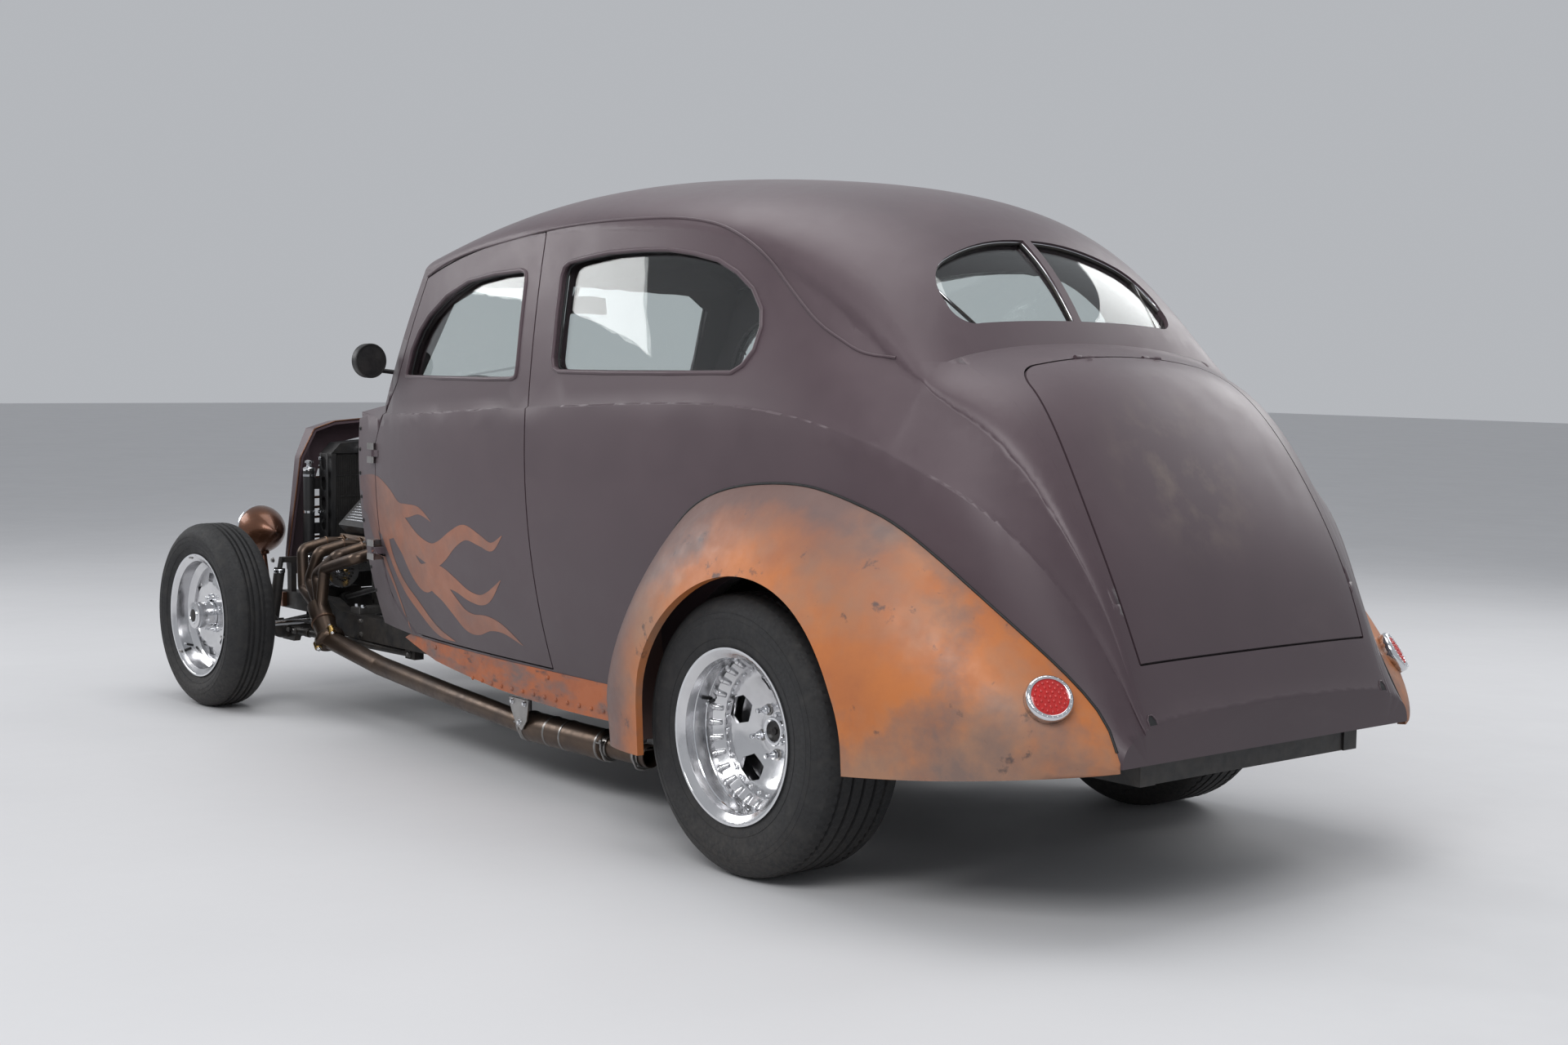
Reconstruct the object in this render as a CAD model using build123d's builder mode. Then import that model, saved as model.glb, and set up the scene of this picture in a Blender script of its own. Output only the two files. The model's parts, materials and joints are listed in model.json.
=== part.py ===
from build123d import *
import os
from collections import namedtuple
from math import cos, radians, sin

os.makedirs("parts", exist_ok=True)

# A two-door humpback sedan of the late 1930s, built as a hot rod.
# Millimetres, X forward, Y to the left, Z up. The origin lies on the ground
# under the middle of the length, and s in the tables is measured forward
# from the rear axle.

# Stance and running gear
wheelbase = 2954
rear_overhang = 932
front_tyre_radius = 311
rear_tyre_radius = 334

body_length = rear_overhang + wheelbase + front_tyre_radius
rear_axle_x = rear_overhang - body_length / 2
front_axle_x = rear_axle_x + wheelbase


def at(s):
    """X of a place s forward of the rear axle."""
    return rear_axle_x + s


# Body sections: s, half width at the sill, half width and height at the belt
# crease, half width and height at the roof rail, height on the centre line
Station = namedtuple("Station", "s y_sill y_belt z_belt y_rail z_rail z_top")
z_sill = 345
cabin_stations = [
    Station(2200, 470, 560, 1000, 525, 1370, 1400),
    Station(1800, 560, 650, 1025, 590, 1440, 1540),
    Station(1380, 604, 702, 1046, 640, 1500, 1640),
    Station(950, 622, 720, 1070, 656, 1530, 1700),
    Station(500, 630, 722, 1090, 644, 1520, 1688),
    Station(150, 630, 708, 1094, 604, 1450, 1640),
    Station(-110, 626, 690, 1066, 570, 1310, 1530),
    Station(-345, 618, 657, 1006, 545, 1160, 1257),
]
tail_stations = [
    Station(-345, 618, 657, 1006, 545, 1160, 1257),
    Station(-460, 612, 638, 958, 520, 1082, 1222),
    Station(-600, 602, 600, 885, 490, 975, 1120),
    Station(-720, 582, 540, 770, 468, 830, 950),
    Station(-810, 552, 490, 640, 450, 690, 780),
    Station(-880, 525, 462, 515, 440, 545, 590),
    Station(-930, 503, 450, 430, 432, 445, 468),
]
side_bulge = 34
rail_bulge = 6
belt_ledge = 9
body_wall = 42
glass_depth = 20
glass_thickness = 6
seat_gap = 0.3
panel_gap = 5
floor_gauge = 6
door_bottom = z_sill + floor_gauge + panel_gap

# Windshield, a flat V of two panes
glass_foot_s = 2045
glass_foot_z = 1092
glass_slant = 60
glass_sweep = 110
glass_half_width = 600
cowl_crown_z = 1092
cowl_edge_y = 900
cowl_edge_z = 900


def body_section(station, inset, bottom):
    """Closed outline of the body at one station, all walls moved in by inset."""
    y_sill = station.y_sill - inset
    y_belt = station.y_belt - inset
    y_rail = station.y_rail - inset
    z_top = station.z_top - inset
    z_rail = z_top - (station.z_top - station.z_rail) * (1 - inset / 300)
    ledge = (y_belt - belt_ledge, station.z_belt + belt_ledge * 0.6)
    with BuildSketch(Plane.YZ.offset(at(station.s))) as section:
        with BuildLine():
            Line((-y_sill, bottom), (y_sill, bottom))
            for side in (1, -1):
                ThreePointArc(
                    (side * y_sill, bottom),
                    (side * ((y_sill + y_belt) / 2 + side_bulge), (bottom + station.z_belt) / 2),
                    (side * y_belt, station.z_belt),
                )
                Line((side * y_belt, station.z_belt), (side * ledge[0], ledge[1]))
                ThreePointArc(
                    (side * ledge[0], ledge[1]),
                    (side * ((ledge[0] + y_rail) / 2 + rail_bulge), (ledge[1] + z_rail) / 2),
                    (side * y_rail, z_rail),
                )
            EllipticalCenterArc((0, z_rail), y_rail, z_top - z_rail, 0, arc_size=180)
        make_face()
    return section.sketch


def windshield_clearance(inset):
    """Space ahead of the two windshield planes and above the cowl."""
    up_glass = Vector(-cos(radians(glass_slant)), 0, sin(radians(glass_slant)))
    with BuildPart() as space:
        for side in (1, -1):
            along = Vector(-glass_sweep, side * glass_half_width, 0).normalized()
            out = up_glass.cross(along) * -side
            foot = (at(glass_foot_s) - inset * 1.2, 0, glass_foot_z)
            with BuildSketch(Plane(origin=foot, x_dir=along, z_dir=out)):
                Rectangle(2400, 2600)
            extrude(amount=1400, dir=(1, 0, 0))
        with BuildSketch(Plane.YZ.offset(at(1400))):
            with BuildLine():
                edge_z = cowl_edge_z - inset
                Polyline((-cowl_edge_y, edge_z), (-cowl_edge_y, 0), (cowl_edge_y, 0), (cowl_edge_y, edge_z))
                ThreePointArc((cowl_edge_y, edge_z), (0, cowl_crown_z - inset), (-cowl_edge_y, edge_z))
            make_face()
        extrude(amount=1400, mode=Mode.SUBTRACT)
    return space.part


def body_solid(inset, bottom=z_sill):
    """The whole body as one solid block, its walls moved in by inset."""
    with BuildPart() as cabin_block:
        for station in cabin_stations:
            add(body_section(station, inset, bottom))
        loft()
    with BuildPart() as tail_block:
        for station in tail_stations:
            if station.s > -rear_overhang + inset:
                add(body_section(station, inset, bottom))
        loft()
    with BuildPart() as block:
        add(cabin_block.part)
        add(tail_block.part)
        add(windshield_clearance(inset), mode=Mode.SUBTRACT)
    return block.part


def prism(sketch, reach):
    """Solid swept both ways from a flat sketch, square to it."""
    with BuildPart() as block:
        extrude(sketch, amount=reach)
        extrude(sketch, amount=-reach)
    return block.part


def write(part, name):
    """Write a finished piece."""
    part.label = name
    export_step(part, f"parts/{name}.step")


def write_pair(left, name):
    """Write the left piece and its mirror image."""
    write(left, f"{name}_left")
    with BuildPart() as right:
        mirror(left, about=Plane.XZ)
    write(right.part, f"{name}_right")


def write_both(left, name):
    """Write the left piece together with its mirror image."""
    with BuildPart() as both:
        add(left)
        mirror(left, about=Plane.XZ)
    write(both.part, name)


# Openings and seams, as outlines seen from the side: s forward, z up
door_top = 1538
header_z = 1430
valley_s = -345


def door_outline(grow=0):
    with BuildSketch(Plane.XZ) as outline:
        with BuildLine():
            Polyline((at(1010), door_bottom), (at(1010), door_top))
            ThreePointArc((at(1010), door_top), (at(1380), 1498), (at(1692), header_z))
            Line((at(1692), header_z), (at(1856), 1116))
            ThreePointArc((at(1856), 1116), (at(1950), 1020), (at(2020), 930))
            Line((at(2020), 930), (at(2020), 560))
            ThreePointArc((at(2020), 560), (at(1985), 425), (at(1870), door_bottom))
            Line((at(1870), door_bottom), (at(1010), door_bottom))
        make_face()
        if grow:
            offset(amount=grow)
    return outline.sketch


def door_window(grow=0):
    with BuildSketch(Plane.XZ) as outline:
        with BuildLine():
            Polyline((at(1778), 1140), (at(1080), 1146), (at(1080), 1440))
            ThreePointArc((at(1080), 1440), (at(1400), 1414), (at(1640), 1322))
            ThreePointArc((at(1640), 1322), (at(1740), 1235), (at(1778), 1140))
        make_face()
        fillet(outline.vertices().group_by(Axis.X)[0], 30)
        if grow:
            offset(amount=grow)
    return outline.sketch


def quarter_window(grow=0):
    with BuildSketch(Plane.XZ) as outline:
        with BuildLine():
            Polyline((at(172), 1176), (at(900), 1168), (at(900), 1452))
            ThreePointArc((at(900), 1452), (at(700), 1474), (at(470), 1475))
            ThreePointArc((at(470), 1475), (at(290), 1446), (at(160), 1375))
            ThreePointArc((at(160), 1375), (at(106), 1285), (at(172), 1176))
        make_face()
        fillet(outline.vertices().group_by(Axis.X)[-1], 34)
        if grow:
            offset(amount=grow)
    return outline.sketch


def roof_region():
    with BuildSketch(Plane.XZ) as outline:
        with BuildLine():
            Polyline((at(1692), header_z), (at(2400), header_z), (at(2400), 1900), (at(valley_s), 1900),
                     (at(valley_s), 1209), (at(-264), 1209))
            ThreePointArc((at(1692), header_z), (at(1380), 1498), (at(1010), door_top))
            ThreePointArc((at(1010), door_top), (at(640), 1554), (at(311), 1527))
            ThreePointArc((at(311), 1527), (at(173), 1468), (at(42), 1363))
            ThreePointArc((at(42), 1363), (at(-123), 1249), (at(-264), 1209))
        make_face()
    return prism(outline.sketch, 1000)


# Rear window, seen square to the slope of the glass
rear_glass_plane = Plane(origin=(at(-222), 0, 1414), x_dir=(0, -1, 0), z_dir=(-0.727, 0, 0.687))
rear_divider = 26
lid_plane = Plane(origin=(at(-660), 0, 899), x_dir=(0, -1, 0), z_dir=(-0.8328, 0, 0.5536))


def rear_window(grow=0):
    with BuildSketch(rear_glass_plane) as outline:
        for side in (1, -1):
            with BuildLine():
                Polyline((side * rear_divider / 2, 128), (side * rear_divider / 2, -138), (side * 318, -138))
                ThreePointArc((side * 318, -138), (side * 372, -118), (side * 384, -70))
                ThreePointArc((side * 384, -70), (side * 368, 12), (side * 300, 72))
                ThreePointArc((side * 300, 72), (side * 160, 116), (side * rear_divider / 2, 128))
            make_face()
        if grow:
            offset(amount=grow)
    return outline.sketch


def lid_outline(grow=0):
    with BuildSketch(lid_plane) as outline:
        with BuildLine():
            Line((-398, -387), (398, -387))
            for side in (1, -1):
                ThreePointArc((side * 398, -387), (side * 400, 0), (side * 362, 290))
                ThreePointArc((side * 362, 290), (side * 335, 348), (side * 275, 372))
            ThreePointArc((275, 372), (0, 388), (-275, 372))
        make_face()
        if grow:
            offset(amount=grow)
    return outline.sketch


# The walls of the body
outer_block = body_solid(0)
cabin_space = body_solid(body_wall, z_sill - 80)
glass_front = body_solid(glass_depth, z_sill - 40)
glass_back = body_solid(glass_depth + glass_thickness, z_sill - 60)

# Wheel arches through the rear quarters, behind the fenders
arch_gap = 44
arch_inner_y = 530
with BuildPart() as wheel_space:
    for side in (1, -1):
        with BuildSketch(Plane.XZ.offset(-side * arch_inner_y)):
            with Locations((rear_axle_x, rear_tyre_radius)):
                Circle(rear_tyre_radius + arch_gap)
            with Locations((rear_axle_x, rear_tyre_radius / 2)):
                Rectangle(2 * (rear_tyre_radius + arch_gap), rear_tyre_radius)
        extrude(amount=-side * 400)

# Windshield opening and panes
shield_plane_up = Vector(-cos(radians(glass_slant)), 0, sin(radians(glass_slant)))


def shield_plane(side, depth):
    along = Vector(-glass_sweep, side * glass_half_width, 0).normalized()
    out = shield_plane_up.cross(along) * -side
    origin = Vector(at(glass_foot_s), 0, glass_foot_z) - out * depth
    return Plane(origin=origin, x_dir=along, z_dir=out)


def shield_pane(side, depth, thickness, grow):
    with BuildPart() as pane:
        with BuildSketch(shield_plane(side, depth)):
            with BuildLine():
                Polyline(
                    (14, side * 40), (548, side * 36), (528, side * 330), (450, side * 388), (14, side * 412),
                    (14, side * 40)
                )
            make_face()
            if grow:
                offset(amount=grow)
        extrude(amount=thickness, both=True)
    return pane.part


pan_edge_z = 372
with BuildPart() as under_pan:
    with BuildSketch(Plane.XZ):
        with BuildLine():
            Polyline((at(-500), 0), (at(-500), z_sill), (at(-rear_overhang - 20), pan_edge_z),
                     (at(-rear_overhang - 20), 0), close=True)
        make_face()
    extrude(amount=900, both=True)

with BuildPart() as shell:
    add(outer_block)
    add(under_pan.part, mode=Mode.SUBTRACT)
    add(cabin_space, mode=Mode.SUBTRACT)
    add(wheel_space.part, mode=Mode.SUBTRACT)
    add(prism(door_window(), 1000), mode=Mode.SUBTRACT)
    add(prism(quarter_window(), 1000), mode=Mode.SUBTRACT)
    add(prism(rear_window(), 150), mode=Mode.SUBTRACT)
    for side in (1, -1):
        add(shield_pane(side, 20, 90, 0), mode=Mode.SUBTRACT)

# Hinges: barrels on the door line and on the lid's top edge
hinge_s = 2022.5
hinge_y = 612
hinge_heights = (600, 900)
lid_hinge_s = -443
lid_hinge_z = 1223
lid_hinge_y = 120
lid_leaf_height = 3
barrel_radius = 6
hinge_pin_radius = 3
pin_clearance = 0.05
barrel_half = 10


def hinge_leaf(x, z, reach, way):
    """Middle barrel of a door hinge with its leaf, bored for the pin."""
    with BuildPart() as leaf:
        with Locations((x, hinge_y, z)):
            Cylinder(barrel_radius, 2 * barrel_half)
        with Locations((x, hinge_y + 2, z)):
            leaf_align = (Align.MAX if way < 0 else Align.MIN, Align.MAX, Align.CENTER)
            Box(reach, 48, 2 * barrel_half, align=leaf_align)
        with Locations((x, hinge_y, z)):
            Cylinder(hinge_pin_radius + pin_clearance, 2 * barrel_half, mode=Mode.SUBTRACT)
        with Locations((x, hinge_y - barrel_radius, z)):
            Box(5, 60, 2 * barrel_half, align=(Align.CENTER, Align.MAX, Align.CENTER), mode=Mode.SUBTRACT)
    return leaf.part


def lid_barrel(y, radius, length, mode=Mode.ADD):
    """Round bar across the car on the lid's hinge line."""
    with Locations(Plane(origin=(at(lid_hinge_s), y, lid_hinge_z), z_dir=(0, 1, 0))):
        Cylinder(radius, length, mode=mode)


# Roof, doors, lid and the fixed panels between them
roof_space = roof_region()
door_inner_y = 555
with BuildPart() as door_ways:
    add(prism(door_outline(panel_gap), 1000))
    Box(6000, 2 * (door_inner_y - panel_gap), 4000, mode=Mode.SUBTRACT)

with BuildPart() as roof:
    add(shell.part)
    add(roof_space, mode=Mode.INTERSECT)
    add(door_ways.part, mode=Mode.SUBTRACT)
write(roof.part, "roof")

door_space = prism(door_outline(), 1000)
with BuildPart() as door:
    add(shell.part)
    add(roof_space, mode=Mode.SUBTRACT)
    add(door_space, mode=Mode.INTERSECT)
    with Locations((0, door_inner_y, 0)):
        Box(6000, 1000, 4000, align=(Align.CENTER, Align.MIN, Align.CENTER), mode=Mode.INTERSECT)
    for z in hinge_heights:
        add(hinge_leaf(at(hinge_s), z, 34, -1))
write_pair(door.part, "door")

with BuildPart() as lid:
    add(shell.part)
    add(prism(lid_outline(), 260), mode=Mode.INTERSECT)
    for y in (lid_hinge_y, -lid_hinge_y):
        lid_barrel(y, barrel_radius + 1, 6.6 * barrel_half, Mode.SUBTRACT)
        lid_barrel(y, barrel_radius, 2 * barrel_half)
        with Locations((at(lid_hinge_s), y, lid_hinge_z - 2)):
            Box(20, 2 * barrel_half, 6, align=(Align.MAX, Align.CENTER, Align.MAX))
        lid_barrel(y, hinge_pin_radius + pin_clearance, 2 * barrel_half, Mode.SUBTRACT)
write(lid.part, "trunk_lid")

with BuildPart() as lower_body:
    add(shell.part)
    add(roof_space, mode=Mode.SUBTRACT)
    add(door_ways.part, mode=Mode.SUBTRACT)
    add(prism(lid_outline(panel_gap), 260), mode=Mode.SUBTRACT)

cowl_rear_s = 1500
deck_half_width = 430
with BuildPart() as cowl:
    add(lower_body.part)
    with Locations((at(cowl_rear_s), 0, 0)):
        Box(2000, 2000, 2000, align=(Align.MIN, Align.CENTER, Align.MIN), mode=Mode.INTERSECT)
write(cowl.part, "cowl")

with BuildPart() as quarter:
    add(lower_body.part)
    with Locations((at(cowl_rear_s), deck_half_width, 0)):
        Box(3000, 2000, 2000, align=(Align.MAX, Align.MIN, Align.MIN), mode=Mode.INTERSECT)
write_both(quarter.part, "quarter_panels")

pan_top_z = 700
with BuildPart() as deck:
    add(lower_body.part)
    with Locations((at(cowl_rear_s), 0, pan_top_z)):
        Box(3000, 2 * deck_half_width, 2000, align=(Align.MAX, Align.CENTER, Align.MIN), mode=Mode.INTERSECT)
    for y in (lid_hinge_y, -lid_hinge_y):
        lid_barrel(y, barrel_radius + 1, 6.6 * barrel_half, Mode.SUBTRACT)
        for step in (1, -1):
            lid_barrel(y + step * 2.1 * barrel_half, barrel_radius, 2 * barrel_half)
            with Locations((at(lid_hinge_s), y + step * 2.1 * barrel_half, lid_hinge_z - 2)):
                Box(20, 2 * barrel_half, lid_leaf_height, align=(Align.MIN, Align.CENTER, Align.MAX))
        lid_barrel(y, hinge_pin_radius, 6.2 * barrel_half)
write(deck.part, "deck_panel")

with BuildPart() as roll_pan:
    add(lower_body.part)
    with Locations((at(cowl_rear_s), 0, pan_top_z)):
        Box(3000, 2 * deck_half_width, 2000, align=(Align.MAX, Align.CENTER, Align.MAX), mode=Mode.INTERSECT)
write(roll_pan.part, "roll_pan")

# Glass, a layer of the same walls cut to each opening
with BuildPart() as glass_layer:
    add(glass_front)
    add(glass_back, mode=Mode.SUBTRACT)

with BuildPart() as door_glass:
    add(glass_layer.part)
    add(prism(door_window(-seat_gap), 1000), mode=Mode.INTERSECT)
    split(bisect_by=Plane.XZ, keep=Keep.BOTTOM)
write_pair(door_glass.part, "door_glass")

with BuildPart() as quarter_glass:
    add(glass_layer.part)
    add(prism(quarter_window(-seat_gap), 1000), mode=Mode.INTERSECT)
    split(bisect_by=Plane.XZ, keep=Keep.BOTTOM)
write_both(quarter_glass.part, "quarter_glass")

with BuildPart() as rear_glass:
    add(glass_layer.part)
    add(prism(rear_window(-seat_gap), 150), mode=Mode.INTERSECT)
write(rear_glass.part, "rear_glass")

with BuildPart() as shield_glass:
    for side in (1, -1):
        add(shield_pane(side, glass_depth, glass_thickness / 2, -seat_gap))
write(shield_glass.part, "windshield_glass")


# Rear fenders: s, outer half width, height of the lower edge, height at the body
FenderStation = namedtuple("FenderStation", "s y_out z_low z_top")
fender_stations = [
    FenderStation(478, 792, 252, 470),
    FenderStation(446, 842, 250, 680),
    FenderStation(370, 864, 250, 850),
    FenderStation(240, 874, 252, 969),
    FenderStation(60, 880, 270, 1012),
    FenderStation(-140, 878, 290, 1004),
    FenderStation(-330, 862, 306, 939),
    FenderStation(-520, 822, 320, 827),
    FenderStation(-700, 745, 336, 670),
    FenderStation(-830, 650, 350, 532),
    FenderStation(-925, 528, 362, 390),
]
fender_wall = 20
fender_root_y = 470
fender_arch_s = -62
fender_arch_z = 360
fender_arch_radius = 355


def fender_block(inset):
    """Solid fender reaching in past the body side, its skin moved in by inset."""
    with BuildPart() as block:
        for row in fender_stations:
            y_out = row.y_out - inset
            z_top = row.z_top - inset
            z_low = row.z_low - 3 * inset
            z_side = row.z_low + 0.3 * (row.z_top - row.z_low) - inset
            with BuildSketch(Plane.YZ.offset(at(row.s) - (inset if row.s > 0 else -inset))):
                with BuildLine():
                    Polyline((fender_root_y, z_top), (fender_root_y, z_low), (y_out - 12, z_low),
                             (y_out, z_side))
                    EllipticalCenterArc((fender_root_y, z_side), y_out - fender_root_y, z_top - z_side,
                                        0, arc_size=90)
                make_face()
        loft()
    return block.part


with BuildPart() as fender:
    add(fender_block(0))
    add(fender_block(fender_wall), mode=Mode.SUBTRACT)
    with BuildSketch(Plane.XZ.offset(-700)):
        with Locations((at(fender_arch_s), fender_arch_z)):
            Circle(fender_arch_radius)
        with Locations((at(fender_arch_s), 0)):
            Rectangle(2 * fender_arch_radius, fender_arch_z, align=(Align.CENTER, Align.MIN))
    extrude(amount=-300, mode=Mode.SUBTRACT)
    add(outer_block, mode=Mode.SUBTRACT)
write_both(fender.part, "rear_fenders")

# Sill panels, the curved frame covers below the doors
sill_front_s = 1985
sill_rear_s = 480
sill_depth = 88
with BuildPart() as sill:
    with BuildSketch(Plane.XZ.offset(-500)):
        with BuildLine():
            Polyline((at(sill_rear_s), z_sill - sill_depth), (at(sill_rear_s), z_sill),
                     (at(sill_front_s - 60), z_sill), (at(sill_front_s), z_sill - 20))
            ThreePointArc((at(sill_front_s), z_sill - 20), (at(1350), z_sill - 0.95 * sill_depth),
                          (at(sill_rear_s), z_sill - sill_depth))
        make_face()
    extrude(amount=-400)
    with BuildSketch(Plane.XY.offset(z_sill - 150)):
        with BuildLine():
            Polyline((at(1990), 506), (at(1990), 518), (at(1700), 580), (at(1300), 612), (at(950), 624),
                     (at(460), 632), (at(460), 620), (at(950), 612), (at(1300), 600), (at(1700), 568),
                     close=True)
        make_face()
    extrude(amount=200, mode=Mode.INTERSECT)
write_both(sill.part, "sill_panels")

# Floor, firewall, wheel houses and dash
floor_z = z_sill
rear_floor_z = 494
trunk_floor_z = 414
firewall_s = 2170
riser_s = 800
trunk_step_s = -385
tunnel_half_width = 140
tunnel_top_z = 540
lean_tunnel_half_width = 75
lean_tunnel_top_z = 470
tunnel_step_s = 1560
axle_slot_width = 120


def arch_profile(half_width, top_z):
    """Round topped arch seen from the front."""
    with BuildSketch(Plane.YZ) as arch:
        with Locations((0, 0)):
            Rectangle(2 * half_width, top_z - half_width, align=(Align.CENTER, Align.MIN))
        with Locations((0, top_z - half_width)):
            Circle(half_width)
    return arch.sketch


with BuildPart() as tunnel_outside:
    extrude(arch_profile(tunnel_half_width, tunnel_top_z).moved(Location((at(tunnel_step_s), 0, 0))),
            amount=firewall_s - tunnel_step_s)
    extrude(arch_profile(lean_tunnel_half_width, lean_tunnel_top_z).moved(Location((at(riser_s), 0, 0))),
            amount=tunnel_step_s - riser_s)
with BuildPart() as tunnel_inside:
    extrude(arch_profile(tunnel_half_width - floor_gauge, tunnel_top_z - floor_gauge).moved(
        Location((at(tunnel_step_s + floor_gauge), 0, 0))), amount=firewall_s + 100 - tunnel_step_s)
    extrude(arch_profile(lean_tunnel_half_width - floor_gauge, lean_tunnel_top_z - floor_gauge).moved(
        Location((at(riser_s - 50), 0, 0))), amount=tunnel_step_s + 100 - riser_s)

with BuildPart() as house_block:
    for side in (1, -1):
        with BuildSketch(Plane.XZ.offset(-side * (arch_inner_y - floor_gauge))):
            with Locations((rear_axle_x, rear_tyre_radius)):
                Circle(rear_tyre_radius + arch_gap)
            with Locations((rear_axle_x, rear_tyre_radius / 2)):
                Rectangle(2 * (rear_tyre_radius + arch_gap), rear_tyre_radius)
        extrude(amount=-side * 300)

with BuildPart() as floor:
    with BuildSketch(Plane.XZ):
        with BuildLine():
            Polyline(
                (at(firewall_s), floor_z), (at(firewall_s), floor_z + floor_gauge),
                (at(riser_s), floor_z + floor_gauge), (at(riser_s), rear_floor_z + floor_gauge),
                (at(trunk_step_s), rear_floor_z + floor_gauge),
                (at(trunk_step_s), trunk_floor_z + floor_gauge),
                (at(-900), trunk_floor_z + floor_gauge), (at(-900), trunk_floor_z),
                (at(trunk_step_s + floor_gauge), trunk_floor_z),
                (at(trunk_step_s + floor_gauge), rear_floor_z),
                (at(riser_s - floor_gauge), rear_floor_z), (at(riser_s - floor_gauge), floor_z),
                (at(firewall_s), floor_z),
            )
        make_face()
    extrude(amount=800, both=True)
    add(tunnel_outside.part)
    add(tunnel_inside.part, mode=Mode.SUBTRACT)
    with Locations((at(tunnel_step_s), 0, floor_z)):
        Box(3000, 500, 500, align=(Align.CENTER, Align.CENTER, Align.MAX), mode=Mode.SUBTRACT)
    add(cabin_space, mode=Mode.INTERSECT)
    add(house_block.part, mode=Mode.SUBTRACT)

with BuildPart() as wheel_houses:
    add(house_block.part)
    for side in (1, -1):
        with BuildSketch(Plane.XZ.offset(-side * arch_inner_y)):
            with Locations((rear_axle_x, rear_tyre_radius)):
                Circle(rear_tyre_radius + arch_gap - floor_gauge)
            with Locations((rear_axle_x, rear_tyre_radius / 2)):
                Rectangle(2 * (rear_tyre_radius + arch_gap - floor_gauge), rear_tyre_radius + 2)
        extrude(amount=-side * 300, mode=Mode.SUBTRACT)
    add(cabin_space, mode=Mode.INTERSECT)
    with Locations((0, 0, z_sill)):
        Box(5000, 3000, 1500, align=(Align.CENTER, Align.CENTER, Align.MIN), mode=Mode.INTERSECT)
with BuildPart() as floor_pan:
    add(floor.part)
    add(wheel_houses.part)
    with Locations((rear_axle_x, 0, 250)):
        Box(axle_slot_width, 2 * (arch_inner_y + 5), 190, align=(Align.CENTER, Align.CENTER, Align.MIN),
            mode=Mode.SUBTRACT)
write(floor_pan.part, "floor")


def tube(points, radius, bend=0):
    """Round bar along a chain of points, its corners bent to a radius."""
    with BuildPart() as bar:
        with BuildLine() as path:
            if bend:
                FilletPolyline(*points, radius=bend)
            else:
                Polyline(*points)
        with BuildSketch(Plane(origin=path.line @ 0, z_dir=path.line % 0)):
            Circle(radius)
        sweep(path=path.line, transition=Transition.RIGHT)
    return bar.part


def side_profile(points, y_low, y_high):
    """Flat outline of side-view points, extruded between two widths."""
    with BuildPart() as block:
        with BuildSketch(Plane.XZ.offset(-y_low)):
            with BuildLine():
                Polyline(*[(at(s), z) for s, z in points], close=True)
            make_face()
        extrude(amount=-(y_high - y_low))
    return block.part


def post(s, y, z_low, z_high, radius):
    """Upright round post."""
    with BuildPart() as bar:
        with Locations((at(s), y, z_low)):
            Cylinder(radius, z_high - z_low, align=(Align.CENTER, Align.CENTER, Align.MIN))
    return bar.part


def cross_bar(s_low, s_high, y_half, z_low, z_high):
    """Box across the car, centred on its middle."""
    with BuildPart() as bar:
        with Locations((at(s_low), 0, z_low)):
            Box(s_high - s_low, 2 * y_half, z_high - z_low, align=(Align.MIN, Align.CENTER, Align.MIN))
    return bar.part


# Frame: boxed rails, raised over both axles
rail_inner_y = 340
rail_outer_y = 390
rail_bottom = 250
rail_top = 330
front_rail_bottom = 305
front_rail_top = 365
rail_front_s = 3080
kick_bottom = 402
kick_top = 482
frame_tail_bottom = 310
frame_tail_top = 372
rail_points = [
    (rail_front_s, front_rail_bottom), (rail_front_s, front_rail_top), (2740, front_rail_top),
    (2640, rail_top), (560, rail_top), (330, kick_top), (-300, kick_top), (-420, frame_tail_top),
    (-875, frame_tail_top), (-875, frame_tail_bottom), (-440, frame_tail_bottom), (-320, kick_bottom),
    (310, kick_bottom), (530, rail_bottom), (2640, rail_bottom), (2740, front_rail_bottom),
]
bumper_hole_radius = 6
bumper_hole_s = (-855, -805)
horn_hole_s = 3058
rail_middle_y = (rail_inner_y + rail_outer_y) / 2
with BuildPart() as frame_left:
    add(side_profile(rail_points, rail_inner_y, rail_outer_y))
    for s in (*bumper_hole_s, horn_hole_s):
        with Locations((at(s), rail_middle_y, 0)):
            Cylinder(bumper_hole_radius, 1000, mode=Mode.SUBTRACT)
    for s in (2100, 1500, 900):
        add(post(s, rail_middle_y, rail_top, z_sill, 22))
    for s in (200, -200):
        add(post(s, rail_middle_y, kick_top, rear_floor_z, 22))
    add(post(-700, rail_middle_y, frame_tail_top, trunk_floor_z, 22))
write_both(frame_left.part, "frame_rails")

with BuildPart() as frame:
    add(cross_bar(2930, 2990, rail_inner_y, front_rail_bottom, front_rail_top))
    add(cross_bar(1840, 1920, rail_inner_y, rail_bottom - 36, rail_bottom + 4))
    for side in (1, -1):
        with Locations((at(1880), side * (rail_inner_y - 10), rail_bottom - 36)):
            Box(80, 20, 60, align=(Align.CENTER, Align.CENTER, Align.MIN))
    add(cross_bar(980, 1040, rail_inner_y, rail_bottom, rail_bottom + 40))
    add(cross_bar(600, 660, rail_inner_y, rail_bottom, rail_bottom + 40))
    add(cross_bar(-300, -240, rail_inner_y, kick_top - 50, kick_top))
    add(cross_bar(-870, -810, rail_inner_y, frame_tail_bottom, frame_tail_top - 10))
write(frame.part, "frame_crossmembers")

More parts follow.
